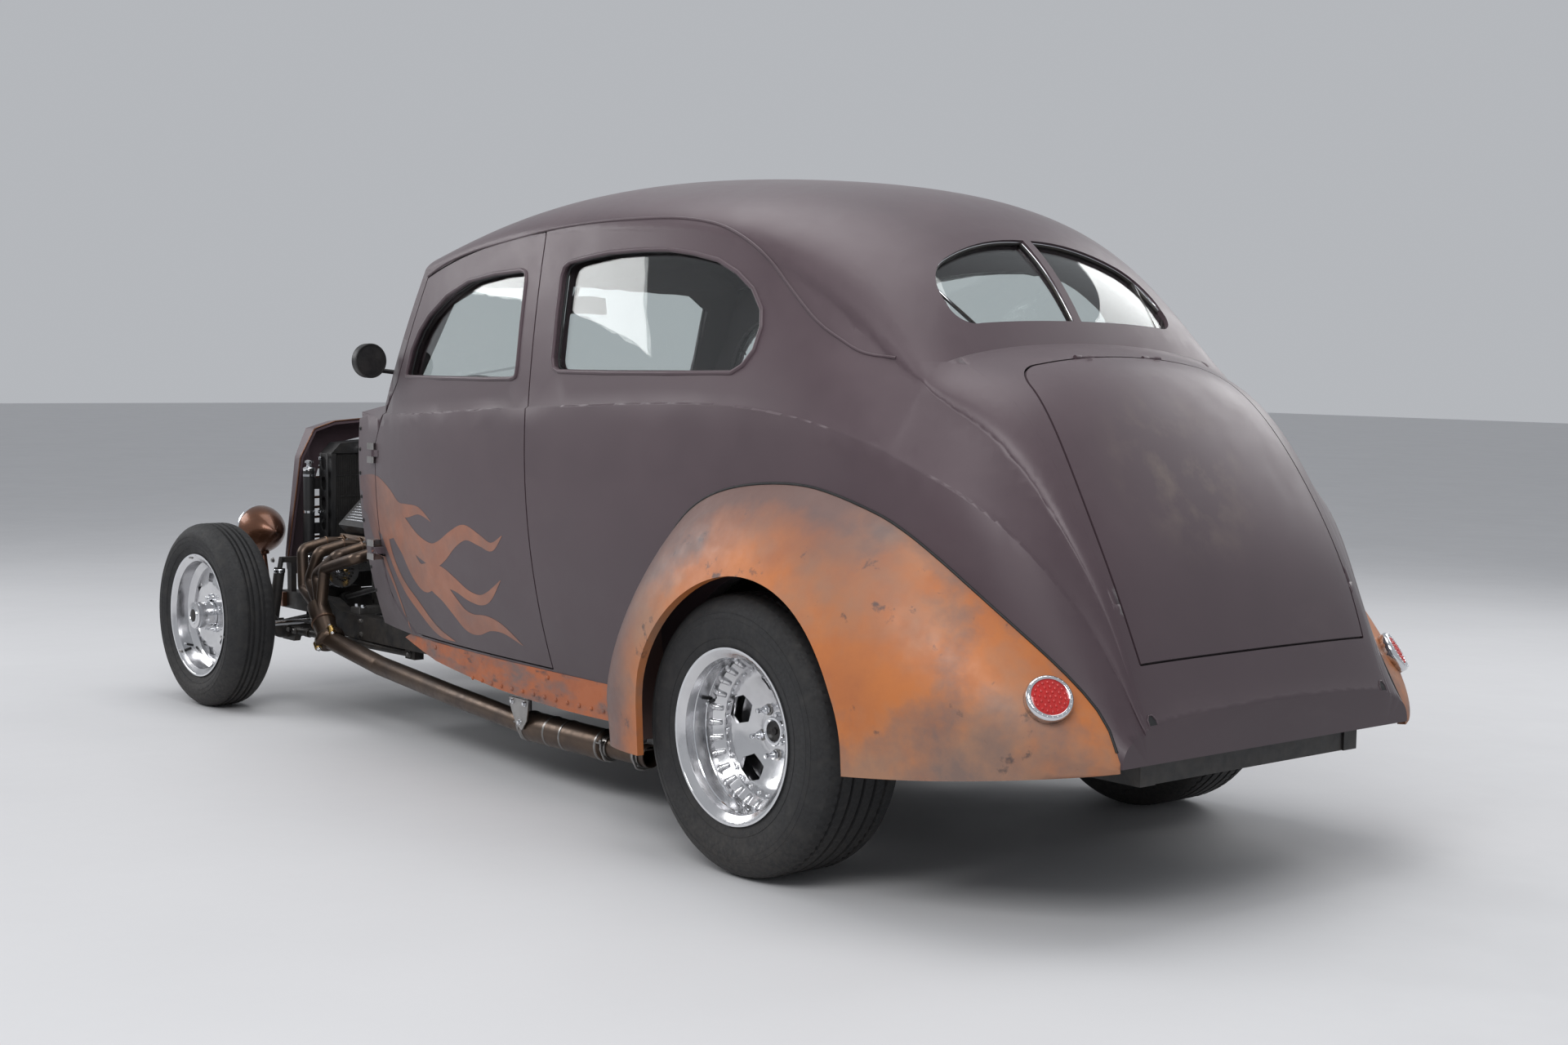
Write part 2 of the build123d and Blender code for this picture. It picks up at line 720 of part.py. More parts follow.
# Front axle, spring, radius rods and shocks
kingpin_y = 572
kingpin_radius = 9
boss_radius = 20
boss_bottom = 277
boss_top = 347
axle_radius = 24
axle_low_z = 235
axle_high_z = 312
spring_half_width = 22
spring_eye_y = 440
steer_arm = 150
link_arm = 60
link_z = 285
axle_points = [
    (front_axle_x, kingpin_y, axle_high_z), (front_axle_x, 520, axle_high_z),
    (front_axle_x, 462, axle_low_z), (front_axle_x, -462, axle_low_z),
    (front_axle_x, -520, axle_high_z), (front_axle_x, -kingpin_y, axle_high_z),
]
rod_front_y = 420
rod_rear_y = 352
rod_rear_s = 2216
rod_z = 240
rod_radius = 13
with BuildPart() as front_axle:
    add(tube(axle_points, axle_radius, 30))
    for side in (1, -1):
        add(post(wheelbase, side * kingpin_y, boss_bottom, boss_top, boss_radius))
        add(post(wheelbase, side * kingpin_y, boss_bottom, boss_top, kingpin_radius + pin_clearance),
            mode=Mode.SUBTRACT)
    for side in (1, -1):
        with BuildSketch(Plane.XZ.offset(-side * (rod_front_y - 12))):
            with BuildLine():
                Polyline((at(2985), 204), (at(2985), 252), (at(2900), 252), (at(2880), 240), (at(2900), 204),
                         close=True)
            make_face()
        extrude(amount=-side * 24)
        rod_front = (at(2890), side * rod_front_y, rod_z)
        add(tube([rod_front, (at(rod_rear_s), side * rod_rear_y, rod_z - 8)], rod_radius))
        with Locations((at(rod_rear_s), side * rod_rear_y, rod_z - 24)):
            Box(60, 34, rail_bottom - rod_z + 24, align=(Align.CENTER, Align.CENTER, Align.MIN))
write(front_axle.part, "front_axle")

shock_s = 3005
with BuildPart() as front_spring:
    with BuildSketch(Plane.YZ.offset(front_axle_x - spring_half_width)):
        with BuildLine():
            ThreePointArc((-spring_eye_y, 272), (0, front_rail_bottom), (spring_eye_y, 272))
            Polyline((spring_eye_y, 272), (spring_eye_y, 262), (300, 272), (150, 277), (-150, 277),
                     (-300, 272), (-spring_eye_y, 262), (-spring_eye_y, 272))
        make_face()
    extrude(amount=2 * spring_half_width)
    for side in (1, -1):
        with Locations((at(wheelbase), side * (spring_eye_y - 5), axle_low_z + axle_radius)):
            Box(30, 20, 12, align=(Align.CENTER, Align.CENTER, Align.MIN))
        add(tube([(at(shock_s), side * 462, 236), (at(shock_s + 8), side * 428, 450)], 19))
        add(tube([(at(shock_s + 8), side * 429, 445), (at(shock_s + 10), side * 420, 486)], 9))
        with Locations((at(shock_s + 10), side * rail_outer_y, 478)):
            Box(30, 60, 18, align=(Align.CENTER, Align.CENTER, Align.CENTER))
        with Locations((at(shock_s + 10), side * (rail_outer_y - 10), front_rail_top)):
            Box(30, 20, 478 - front_rail_top, align=(Align.CENTER, Align.CENTER, Align.MIN))
        with Locations((at(wheelbase + axle_radius + seat_gap), side * 452.5, 222)):
            Box(66, 39, 28, align=(Align.MIN, Align.CENTER, Align.MIN))
write(front_spring.part, "front_spring")

# Front knuckles with their brake plates and steering arms
front_plate_y = 614
front_plate_radius = 138
arm_bottom = 256
arm_top = 269
stud_radius = 5
stud_top = 296
spindle_radius = 15
spindle_end = 730
upper_lug_bottom = 352
upper_lug_top = 368


def stud(s, y, z_low, z_high):
    return post(s, y, z_low, z_high, stud_radius)


def knuckle_block(arms):
    """Left knuckle, with a ball stud at each of the given arm lengths."""
    with BuildPart() as block:
        add(post(wheelbase, kingpin_y, upper_lug_bottom, upper_lug_top, boss_radius))
        add(post(wheelbase, kingpin_y, arm_bottom, arm_top, boss_radius))
        with Locations((front_axle_x, kingpin_y, upper_lug_bottom)):
            Box(2 * boss_radius, 30, upper_lug_top - upper_lug_bottom,
                align=(Align.CENTER, Align.MIN, Align.MIN))
        with Locations((front_axle_x, kingpin_y, arm_bottom)):
            Box(2 * boss_radius, 30, arm_top - arm_bottom, align=(Align.CENTER, Align.MIN, Align.MIN))
            Box(steer_arm + 14, 24, arm_top - arm_bottom, align=(Align.MAX, Align.CENTER, Align.MIN))
        with Locations((front_axle_x, 598, arm_bottom)):
            Box(60, front_plate_y - 598, upper_lug_top - arm_bottom,
                align=(Align.CENTER, Align.MIN, Align.MIN))
        add(post(wheelbase, kingpin_y, arm_bottom, upper_lug_top, kingpin_radius))
        with Locations(Plane.XZ.offset(-front_plate_y)):
            with Locations((front_axle_x, front_tyre_radius)):
                Cylinder(front_plate_radius, 3, align=(Align.CENTER, Align.CENTER, Align.MAX))
                Cylinder(spindle_radius, spindle_end - front_plate_y,
                         align=(Align.CENTER, Align.CENTER, Align.MAX))
        for length in arms:
            add(stud(wheelbase - length, kingpin_y, arm_top - 2, stud_top))
    return block.part


write(knuckle_block((steer_arm,)), "knuckle_left")
with BuildPart() as knuckle_right:
    mirror(knuckle_block((steer_arm, link_arm)), about=Plane.XZ)
write(knuckle_right.part, "knuckle_right")

# Tie rod, pitman arm and drag link
link_radius = 9
eye_radius = 14
eye_height = 20


def link(start, end):
    """Rod between two ball studs with an eye at each end."""
    with BuildPart() as rod:
        add(tube([(at(start[0]), start[1], link_z), (at(end[0]), end[1], link_z)], link_radius))
        for s, y in (start, end):
            add(post(s, y, link_z - eye_height / 2, link_z + eye_height / 2, eye_radius))
            add(post(s, y, link_z - eye_height / 2, link_z + eye_height / 2, stud_radius + pin_clearance),
                mode=Mode.SUBTRACT)
    return rod.part


tie_s = wheelbase - steer_arm
write(link((tie_s, kingpin_y), (tie_s, -kingpin_y)), "tie_rod")
pitman_s = 2910
pitman_y = 250
pitman_shaft_radius = 12
box_bottom = 304
write(link((pitman_s - link_arm, pitman_y), (wheelbase - link_arm, -kingpin_y)), "drag_link")
with BuildPart() as pitman:
    with Locations((at(pitman_s - link_arm / 2), pitman_y, 258)):
        Box(link_arm, 22, 14, align=(Align.CENTER, Align.CENTER, Align.MIN))
    add(post(pitman_s, pitman_y, 258, 272, 18))
    add(post(pitman_s - link_arm, pitman_y, 258, 272, 13))
    add(post(pitman_s, pitman_y, 270, box_bottom + 26, pitman_shaft_radius))
    add(stud(pitman_s - link_arm, pitman_y, 270, stud_top))
write(pitman.part, "pitman_arm")

# Steering column with its box, shaft and wheel
wheel_hub = (1750, 330, 985)
column_dir = (0.777, 0, -0.629)
column_end_s = 2230
column_length = (column_end_s - wheel_hub[0]) / column_dir[0]
column_end_z = wheel_hub[2] + column_dir[2] * column_length
column_start = 60


def along_column(distance):
    height = wheel_hub[2] + column_dir[2] * distance
    return (at(wheel_hub[0] + column_dir[0] * distance), wheel_hub[1], height)


with BuildPart() as column:
    add(tube([along_column(column_start), along_column(column_length)], 21))
    add(tube([along_column(column_length - 10), (at(2292), 330, 470), (at(2830), 275, 352)], 9))
    with Locations((at(2846), rail_inner_y, box_bottom)):
        Box(2926 - 2846, 140, 86, align=(Align.MIN, Align.MAX, Align.MIN))
    add(tube([(at(2800), 278, 358), (at(2850), 273, 348)], 20))
    add(post(pitman_s, pitman_y, box_bottom, box_bottom + 30, pitman_shaft_radius + pin_clearance),
        mode=Mode.SUBTRACT)
    add(tube([along_column(0), along_column(column_start + 30)], 8 + pin_clearance), mode=Mode.SUBTRACT)
write(column.part, "steering_column")

wheel_plane = Plane(origin=along_column(0), x_dir=(0, 1, 0), z_dir=(-column_dir[0], 0, -column_dir[2]))
grip_radius = 190
with BuildPart() as steering_wheel:
    with Locations(wheel_plane):
        Torus(grip_radius, 12)
        Cylinder(36, 24)
        with PolarLocations(0, 3, start_angle=90):
            Box(grip_radius, 22, 8, align=(Align.MIN, Align.CENTER, Align.CENTER))
    add(tube([along_column(0), along_column(column_start + 26)], 8))
write(steering_wheel.part, "steering_wheel")

# Wheels and tyres: radius and width of each profile
front_rim_profile = [
    (208, 625), (208, 631), (196, 634), (190, 642), (190, 652), (168, 664), (168, 696),
    (190, 712), (190, 749), (196, 757), (208, 759), (208, 765), (202, 765), (184, 755),
    (184, 714), (162, 698), (162, 664), (184, 650), (184, 638), (202, 629), (202, 625),
]
front_disc_profile = [
    (164, 700), (150, 706), (110, 716), (60, 712), (44, 712), (44, 776), (0, 780),
    (0, 733), (15.05, 733), (15.05, 622), (34, 622), (34, 690), (100, 690), (100, 684),
    (136, 684), (136, 622), (143, 622), (143, 693), (164, 693),
]
rear_rim_profile = [
    (208, 556), (208, 562), (196, 566), (190, 573), (190, 596), (168, 612), (168, 700),
    (190, 720), (190, 793), (196, 800), (208, 804), (208, 810), (202, 810), (184, 798),
    (184, 716), (162, 696), (162, 616), (184, 600), (184, 568), (202, 560), (202, 556),
]
rear_disc_profile = [
    (164, 694), (142, 694), (112, 678), (70, 666), (34, 664), (34, 672), (0, 672),
    (0, 548), (18, 548), (18, 592), (140, 592), (148, 598), (148, 654), (70, 657),
    (112, 669), (142, 686), (164, 686),
]
front_tyre_profile = [
    (190, 642), (216, 628), (262, 609), (311, 640), (311, 750), (262, 781), (216, 762), (190, 748),
]
rear_tyre_profile = [
    (190, 574), (216, 558), (276, 550), (334, 584), (334, 782), (276, 816), (216, 808), (190, 792),
]


def turned(profile, axle_x, axle_z):
    """Solid of revolution about a wheel's axle, from radius and width."""
    with BuildPart() as solid:
        with BuildSketch(Plane.YZ.offset(axle_x)):
            with BuildLine():
                Polyline(*[(y, axle_z + r) for r, y in profile], close=True)
            make_face()
        revolve(axis=Axis((axle_x, 0, axle_z), (0, 1, 0)))
    return solid.part


def wheel_windows(axle_x, axle_z, count, points, y_low, y_high):
    """Openings round a wheel centre."""
    with BuildPart() as cuts:
        with BuildSketch(Plane(origin=(axle_x, y_low, axle_z), x_dir=(0, 0, 1), z_dir=(0, 1, 0))):
            with PolarLocations(0, count):
                Polygon(*points, align=None)
        extrude(amount=y_high - y_low)
    return cuts.part


front_window_points = [(112, -16), (140, -22), (140, 22), (112, 16)]
rear_window_points = [(96, -22), (122, -38), (142, -22), (142, 22), (122, 38), (96, 22)]
with BuildPart() as front_rim:
    add(turned(front_rim_profile, front_axle_x, front_tyre_radius))
    add(turned(front_disc_profile, front_axle_x, front_tyre_radius))
    add(wheel_windows(front_axle_x, front_tyre_radius, 8, front_window_points, 692, 730),
        mode=Mode.SUBTRACT)
write_pair(front_rim.part, "front_wheel")
with BuildPart() as rear_rim:
    add(turned(rear_rim_profile, rear_axle_x, rear_tyre_radius))
    add(turned(rear_disc_profile, rear_axle_x, rear_tyre_radius))
    add(wheel_windows(rear_axle_x, rear_tyre_radius, 5, rear_window_points, 656, 720), mode=Mode.SUBTRACT)
write_pair(rear_rim.part, "rear_wheel")
write_pair(turned(front_tyre_profile, front_axle_x, front_tyre_radius), "front_tyre")
write_pair(turned(rear_tyre_profile, rear_axle_x, rear_tyre_radius), "rear_tyre")

# Rear axle with its springs, and the drive line
housing_radius = 38
leaf_inner_y = 416
leaf_width = 50
with BuildPart() as rear_axle:
    with Locations(Plane.XZ):
        with Locations((rear_axle_x, rear_tyre_radius)):
            Cylinder(housing_radius, 2 * 585)
    for side in (1, -1):
        with Locations(Plane.XZ.offset(-side * 585)):
            with Locations((rear_axle_x, rear_tyre_radius)):
                Cylinder(146, 6, align=(Align.CENTER, Align.CENTER, Align.MAX if side < 0 else Align.MIN))
    with Locations(Plane.YZ.offset(rear_axle_x)):
        with Locations((0, rear_tyre_radius)):
            Cylinder(128, 180)
            Cylinder(62, 150, align=(Align.CENTER, Align.CENTER, Align.MIN))
    for side in (1, -1):
        with Locations(Plane.XZ.offset(-side * 540)):
            with Locations((rear_axle_x, rear_tyre_radius)):
                Cylinder(18 + pin_clearance, 60, mode=Mode.SUBTRACT,
                         align=(Align.CENTER, Align.CENTER, Align.MAX if side > 0 else Align.MIN))
write(rear_axle.part, "rear_axle")

with BuildPart() as leaf:
    with BuildSketch(Plane.XZ.offset(-leaf_inner_y)):
        with BuildLine():
            axle_seat = rear_tyre_radius - housing_radius - seat_gap
            ThreePointArc((at(560), 300), (at(0), axle_seat), (at(-540), 330))
            Line((at(-540), 330), (at(-540), 320))
            ThreePointArc((at(-540), 320), (at(-250), 288), (at(-160), 272))
            Line((at(-160), 272), (at(160), 268))
            ThreePointArc((at(160), 268), (at(280), 274), (at(560), 290))
            Line((at(560), 290), (at(560), 300))
        make_face()
    extrude(amount=-leaf_width)
    shackle_width = leaf_inner_y + leaf_width - rail_outer_y
    with Locations((at(560), rail_outer_y, 262)):
        Box(40, shackle_width, 46, align=(Align.CENTER, Align.MIN, Align.MIN))
    with Locations((at(-540), rail_outer_y, 314)):
        Box(30, shackle_width, 40, align=(Align.CENTER, Align.MIN, Align.MIN))
write_both(leaf.part, "rear_springs")

crank_z = 393
with BuildPart() as gearbox:
    with Locations(Plane.YZ.offset(at(1480))):
        with Locations((0, crank_z)):
            Cylinder(52, 300, align=(Align.CENTER, Align.CENTER, Align.MIN))
    with Locations(Plane.YZ.offset(at(1760))):
        with Locations((0, crank_z)):
            Cylinder(120, 430, align=(Align.CENTER, Align.CENTER, Align.MIN))
    with Locations(Plane.YZ.offset(at(2190))):
        with Locations((0, crank_z)):
            Cone(145, 182, 160, align=(Align.CENTER, Align.CENTER, Align.MIN))
    with Locations((at(1880), 0, rail_bottom + 4)):
        Box(70, 90, 60, align=(Align.CENTER, Align.CENTER, Align.MIN))
    add(tube([(at(1482), 0, crank_z - 2), (at(151.8), 0, rear_tyre_radius)], 36))
write(gearbox.part, "gearbox")

# Engine: outlines seen from the front, the banks leaning 45 degrees
engine_rear_s = 2350
engine_front_s = 2860
port_s = (2425, 2550, 2680, 2800)


def bank_box(side, low, high, inner, outer, s_low, s_high):
    """Box on one bank: distances along and across the cylinder axis."""
    lean = sin(radians(45))
    points = []
    for along, across in ((low, -inner), (high, -inner), (high, outer), (low, outer)):
        points.append((side * lean * (along + across), crank_z + lean * (along - across)))
    with BuildPart() as block:
        with BuildSketch(Plane.YZ.offset(at(s_low))):
            with BuildLine():
                Polyline(*points, close=True)
            make_face()
        extrude(amount=s_high - s_low)
    return block.part


with BuildPart() as engine:
    with BuildSketch(Plane.YZ.offset(at(engine_rear_s))):
        with BuildLine():
            Polyline((-150, 318), (150, 318), (150, crank_z + 40), (60, crank_z + 170), (-60, crank_z + 170),
                     (-150, crank_z + 40), close=True)
        make_face()
    extrude(amount=engine_front_s - engine_rear_s)
    for side in (1, -1):
        add(bank_box(side, 60, 235, 75, 75, engine_rear_s, engine_front_s - 30))
        add(bank_box(side, 235, 312, 88, 92, engine_rear_s + 20, engine_front_s - 30))
    with Locations((at(2370), 0, 218)):
        Box(270, 240, 104, align=(Align.MIN, Align.CENTER, Align.MIN))
    with Locations((at(2640), 0, 306)):
        Box(180, 220, 20, align=(Align.MIN, Align.CENTER, Align.MIN))
    for side in (1, -1):
        with Locations((at(2560), side * 140, rail_top)):
            Box(60, 240, 22, align=(Align.CENTER, Align.MIN if side > 0 else Align.MAX, Align.MIN))
write(engine.part, "engine_block")

with BuildPart() as covers:
    for side in (1, -1):
        add(bank_box(side, 312, 372, 58, 62, engine_rear_s + 32, engine_front_s - 42))
write(covers.part, "valve_covers")

with BuildPart() as intake:
    with Locations((at(2600), 0, crank_z + 170)):
        Box(420, 150, 130, align=(Align.CENTER, Align.CENTER, Align.MIN))
    with Locations((at(2640), 0, crank_z + 300)):
        Box(240, 220, 100, align=(Align.CENTER, Align.CENTER, Align.MIN))
    with Locations((at(2665), 0, crank_z + 400)):
        Box(190, 150, 145, align=(Align.CENTER, Align.CENTER, Align.MIN))
    add(engine.part, mode=Mode.SUBTRACT)
write(intake.part, "intake_manifold")

cleaner_base = crank_z + 545
cleaner_s = 2670
with BuildPart() as cleaner:
    with BuildSketch(Plane.XZ):
        with BuildLine():
            Polyline((at(cleaner_s), cleaner_base), (at(cleaner_s) + 180, cleaner_base),
                     (at(cleaner_s) + 190, cleaner_base + 12), (at(cleaner_s) + 190, cleaner_base + 74))
            ThreePointArc((at(cleaner_s) + 190, cleaner_base + 74), (at(cleaner_s) + 120, cleaner_base + 124),
                          (at(cleaner_s) + 14, cleaner_base + 142))
            Polyline((at(cleaner_s) + 14, cleaner_base + 142), (at(cleaner_s), cleaner_base + 142),
                     (at(cleaner_s), cleaner_base))
        make_face()
    revolve(axis=Axis((at(cleaner_s), 0, 0), (0, 0, 1)))
write(cleaner.part, "air_cleaner")

pulley_s = 2886
pulleys = ((0, crank_z, 84, engine_front_s), (0, 560, 70, engine_front_s), (300, 455, 40, pulley_s - 10))
with BuildPart() as drives:
    for y, z, radius, start in pulleys:
        with Locations(Plane.YZ.offset(at(start))):
            with Locations((y, z)):
                Cylinder(26, pulley_s - start, align=(Align.CENTER, Align.CENTER, Align.MIN))
        with Locations(Plane.YZ.offset(at(pulley_s))):
            with Locations((y, z)):
                Cylinder(radius, 24, align=(Align.CENTER, Align.CENTER, Align.MIN))
    with Locations(Plane.YZ.offset(at(2790))):
        with Locations((300, 455)):
            Cylinder(60, 86, align=(Align.CENTER, Align.CENTER, Align.MIN))
    with Locations((at(engine_front_s - 30), 155, 442)):
        Box(40, 110, 28, align=(Align.MIN, Align.MIN, Align.MIN))
    with Locations(Plane.YZ.offset(at(pulley_s + 24))):
        with Locations((0, 560)):
            Cylinder(30, 40, align=(Align.CENTER, Align.CENTER, Align.MIN))
    with Locations(Plane.YZ.offset(at(2940))):
        with Locations((0, 560)):
            with PolarLocations(0, 6):
                Box(165, 60, 4, align=(Align.MIN, Align.CENTER, Align.MIN))
write(drives.part, "engine_drive")

# Exhaust: headers, collector, pipe and muffler on each side
primary_radius = 20
collector_s = 2640
pipe_radius = 31
muffler_radius = 43
bends = ((2800, 400), (2755, 432), (2705, 455), (2650, 480))
with BuildPart() as exhaust:
    for port, (bend_s, bend_z) in zip(reversed(port_s), bends):
        add(tube([(at(port), 292, 549), (at(port + 6), 360, 552), (at(port + 20), 440, 530),
                  (at(bend_s), 446, bend_z), (at(2665), 452, 330)], primary_radius, 22))
    with Locations((at(2425), 280, 520)):
        Box(400, 12, 60, align=(Align.MIN, Align.MIN, Align.MIN))
    add(tube([(at(2690), 450, 352), (at(collector_s), 456, 300), (at(2580), 462, 246)], 38))
    add(tube([(at(2590), 461, 255), (at(2574), 463, 241)], 50))
    add(tube([(at(2580), 462, 246), (at(2242), 462, 199), (at(1700), 520, 180), (at(1240), 540, 155),
              (at(665), 540, 155)], pipe_radius, 60))
    with Locations(Plane.YZ.offset(at(860))):
        with Locations((540, 155)):
            Cylinder(muffler_radius, 380, align=(Align.CENTER, Align.CENTER, Align.MIN))
    with Locations((at(660), 540, 155)):
        Cylinder(pipe_radius - 4, 400, rotation=(0, 90, 0), mode=Mode.SUBTRACT)
    add(engine.part, mode=Mode.SUBTRACT)
write_both(exhaust.part, "exhaust")

# Radiator, overflow tube, grille shell and bars
with BuildPart() as radiator:
    with Locations((at(3003), 0, front_rail_top)):
        Box(60, 470, 850 - front_rail_top, align=(Align.MIN, Align.CENTER, Align.MIN))
    with BuildSketch(Plane.YZ.offset(at(2995))):
        with BuildLine():
            Polyline((-200, 885), (-235, 850), (235, 850), (200, 885))
            ThreePointArc((200, 885), (0, 897), (-200, 885))
        make_face()
    extrude(amount=80)
    for side in (1, -1):
        with Locations((at(2950), side * 190, front_rail_top)):
            Box(60, 60, 10, align=(Align.MIN, Align.CENTER, Align.MIN))
    with Locations((at(3033), 0, 885)):
        Cylinder(28, 30, align=(Align.CENTER, Align.CENTER, Align.MIN))
    add(tube([(at(3060), 290, 480), (at(3060), 290, 790)], 20))
    with Locations((at(3060), 230, 560)):
        Box(6, 60, 40, align=(Align.CENTER, Align.MIN, Align.MIN))
    with Locations((at(3060), 230, 720)):
        Box(6, 60, 40, align=(Align.CENTER, Align.MIN, Align.MIN))
write(radiator.part, "radiator")

shell_rear_s = 3100
shell_front_s = 3252
shell_wall = 12
shell_outline = [
    (0, 973), (166, 960), (247, 934), (302, 833), (318, 716), (335, 600), (351, 484), (344, 432), (300, 412),
    (0, 405),
]


def shell_block(inset):
    """Prow-shaped block of the grille shell, its skin moved in by inset."""
    with BuildPart() as block:
        with BuildSketch(Plane.YZ.offset(at(shell_rear_s))):
            with BuildLine():
                Polyline(*shell_outline, *[(-y, z) for y, z in reversed(shell_outline[1:-1])], close=True)
            make_face()
            if inset:
                offset(amount=-inset, kind=Kind.INTERSECTION)
        extrude(amount=shell_front_s - shell_rear_s)
        with BuildSketch(Plane.XY):
            with BuildLine():
                nose = at(shell_front_s) - 1.6 * inset
                rear = at(shell_rear_s)
                Line((rear, -400), (rear, 400))
                ThreePointArc((rear, 400), (rear + 82 - inset, 205), (nose, 0))
                ThreePointArc((nose, 0), (rear + 82 - inset, -205), (rear, -400))
            make_face()
        extrude(amount=1200, mode=Mode.INTERSECT)
        with BuildSketch(Plane.XZ):
            with BuildLine():
                top = 973 - inset
                Polyline((rear - 10, 200), (rear - 10, top), (rear + 40, top))
                ThreePointArc((rear + 40, top), (nose - 25, 800), (nose, 560))
                ThreePointArc((nose, 560), (nose - 14, 470), (nose - 60, 400))
                Polyline((nose - 60, 400), (nose - 60, 200), (rear - 10, 200))
            make_face()
        extrude(amount=600, both=True, mode=Mode.INTERSECT)
    return block.part


with BuildPart() as grille_hole:
    with BuildSketch(Plane.YZ.offset(at(shell_rear_s))):
        with BuildLine():
            Polyline((0, 905), (110, 880), (190, 800), (250, 640), (262, 520), (225, 470), (0, 455),
                     (-225, 470), (-262, 520), (-250, 640), (-190, 800), (-110, 880), close=True)
        make_face()
    extrude(amount=300)
shell_core = shell_block(shell_wall)
with BuildPart() as grille_shell:
    add(shell_block(0))
    add(shell_core, mode=Mode.SUBTRACT)
    add(grille_hole.part, mode=Mode.SUBTRACT)
write(grille_shell.part, "grille_shell")

bar_pitch = 36
bar_height = 9
with BuildPart() as slats:
    with Locations(*[(at(shell_rear_s), 0, 462 + bar_pitch * k) for k in range(12)]):
        Box(200, 700, bar_height, align=(Align.MIN, Align.CENTER, Align.MIN))
    with Locations((at(shell_rear_s), 0, 455)):
        Box(200, 14, 450, align=(Align.MIN, Align.CENTER, Align.MIN))
with BuildPart() as grille_bars:
    add(shell_block(2))
    add(shell_block(10), mode=Mode.SUBTRACT)
    add(grille_hole.part, mode=Mode.INTERSECT)
    add(slats.part, mode=Mode.INTERSECT)
write(grille_bars.part, "grille_bars")

# Firewall, dash, seats, shelf and mirrors
with BuildPart() as firewall:
    with Locations((at(firewall_s), 0, z_sill + floor_gauge)):
        Box(floor_gauge, 1400, 900, align=(Align.MIN, Align.CENTER, Align.MIN))
    add(cabin_space, mode=Mode.INTERSECT)
    with Locations((at(firewall_s), 0, 0)):
        Box(100, 2 * tunnel_half_width, tunnel_top_z - tunnel_half_width, mode=Mode.SUBTRACT,
            align=(Align.CENTER, Align.CENTER, Align.MIN))
    with Locations(Plane.YZ.offset(at(firewall_s))):
        with Locations((0, tunnel_top_z - tunnel_half_width)):
            Cylinder(tunnel_half_width, 40, mode=Mode.SUBTRACT)
    add(tube([along_column(0), along_column(column_length)], 21 + seat_gap), mode=Mode.SUBTRACT)
write(firewall.part, "firewall")

dash_half_width = door_inner_y - 10
lining_space = body_solid(body_wall + 6, z_sill - 80)
with BuildPart() as dash:
    add(side_profile([(1990, 1060), (1990, 930), (1900, 925), (1862, 945), (1862, 1010), (1885, 1060)],
                     -dash_half_width, dash_half_width))
    add(lining_space, mode=Mode.INTERSECT)
    for side in (1, -1):
        with Locations((at(1990), side * 420, 935)):
            Box(firewall_s - 1990, 30, 20, align=(Align.MIN, Align.CENTER, Align.MIN))
write(dash.part, "dashboard")

cushion = [(1640, 500), (1640, 620), (1600, 655), (1300, 650), (1180, 1150), (1150, 1180),
           (1085, 1180), (1062, 1150), (1150, 600), (1160, 480), (1620, 480)]
with BuildPart() as front_seat:
    add(side_profile(cushion, 150, 570))
    with Locations((at(1210), 180, z_sill + floor_gauge)):
        Box(380, 360, 480 - z_sill - floor_gauge, align=(Align.MIN, Align.MIN, Align.MIN))
write_both(front_seat.part, "front_seats")

bench = [(780, 500), (785, 640), (750, 690), (450, 680), (320, 1100), (290, 1128), (225, 1128), (212, 1100),
         (330, 500)]
with BuildPart() as rear_seat:
    add(side_profile(bench, -515, 515))
write(rear_seat.part, "rear_seat")

with BuildPart() as shelf:
    with Locations((at(-300), 0, 1112)):
        Box(511, 1400, 6, align=(Align.MIN, Align.CENTER, Align.MIN))
    add(cabin_space, mode=Mode.INTERSECT)
write(shelf.part, "parcel_shelf")

with BuildPart() as view_mirror:
    with Locations((at(1802), 0, 1370)):
        Box(14, 210, 56)
    add(tube([(at(1802), 0, 1372), (at(1860), 0, 1392)], 6))
    add(cabin_space, mode=Mode.INTERSECT)
write(view_mirror.part, "rear_view_mirror")

with BuildPart() as side_mirror:
    with Locations(Plane.YZ.offset(at(1932))):
        with Locations((668, 1185)):
            Cylinder(52, 26, align=(Align.CENTER, Align.CENTER, Align.MIN))
    add(tube([(at(1958), 668, 1170), (at(1985), 650, 1160), (at(1975), 560, 1150)], 7, 12))
    add(outer_block, mode=Mode.SUBTRACT)
write_both(side_mirror.solids().sort_by(Axis.Y)[-1], "side_mirrors")

# Lamps
lamp_y = 409
lamp_z = 572
with BuildPart() as headlamp:
    with BuildSketch(Plane.XZ.offset(-lamp_y)):
        with BuildLine():
            Polyline((at(3080), lamp_z), (at(3222), lamp_z), (at(3214), lamp_z + 74), (at(3214), lamp_z + 86),
                     (at(3196), lamp_z + 86))
            ThreePointArc((at(3196), lamp_z + 86), (at(3130), lamp_z + 62), (at(3080), lamp_z))
        make_face()
    revolve(axis=Axis((0, lamp_y, lamp_z), (1, 0, 0)))
    add(tube([(at(3060), 404, 335), (at(3150), lamp_y, 380), (at(3182), lamp_y, 500)], 12, 30))
    with Locations((at(3060), rail_outer_y, 335)):
        Box(50, 16, 50, align=(Align.CENTER, Align.MIN, Align.CENTER))
write_both(headlamp.part, "headlamps")

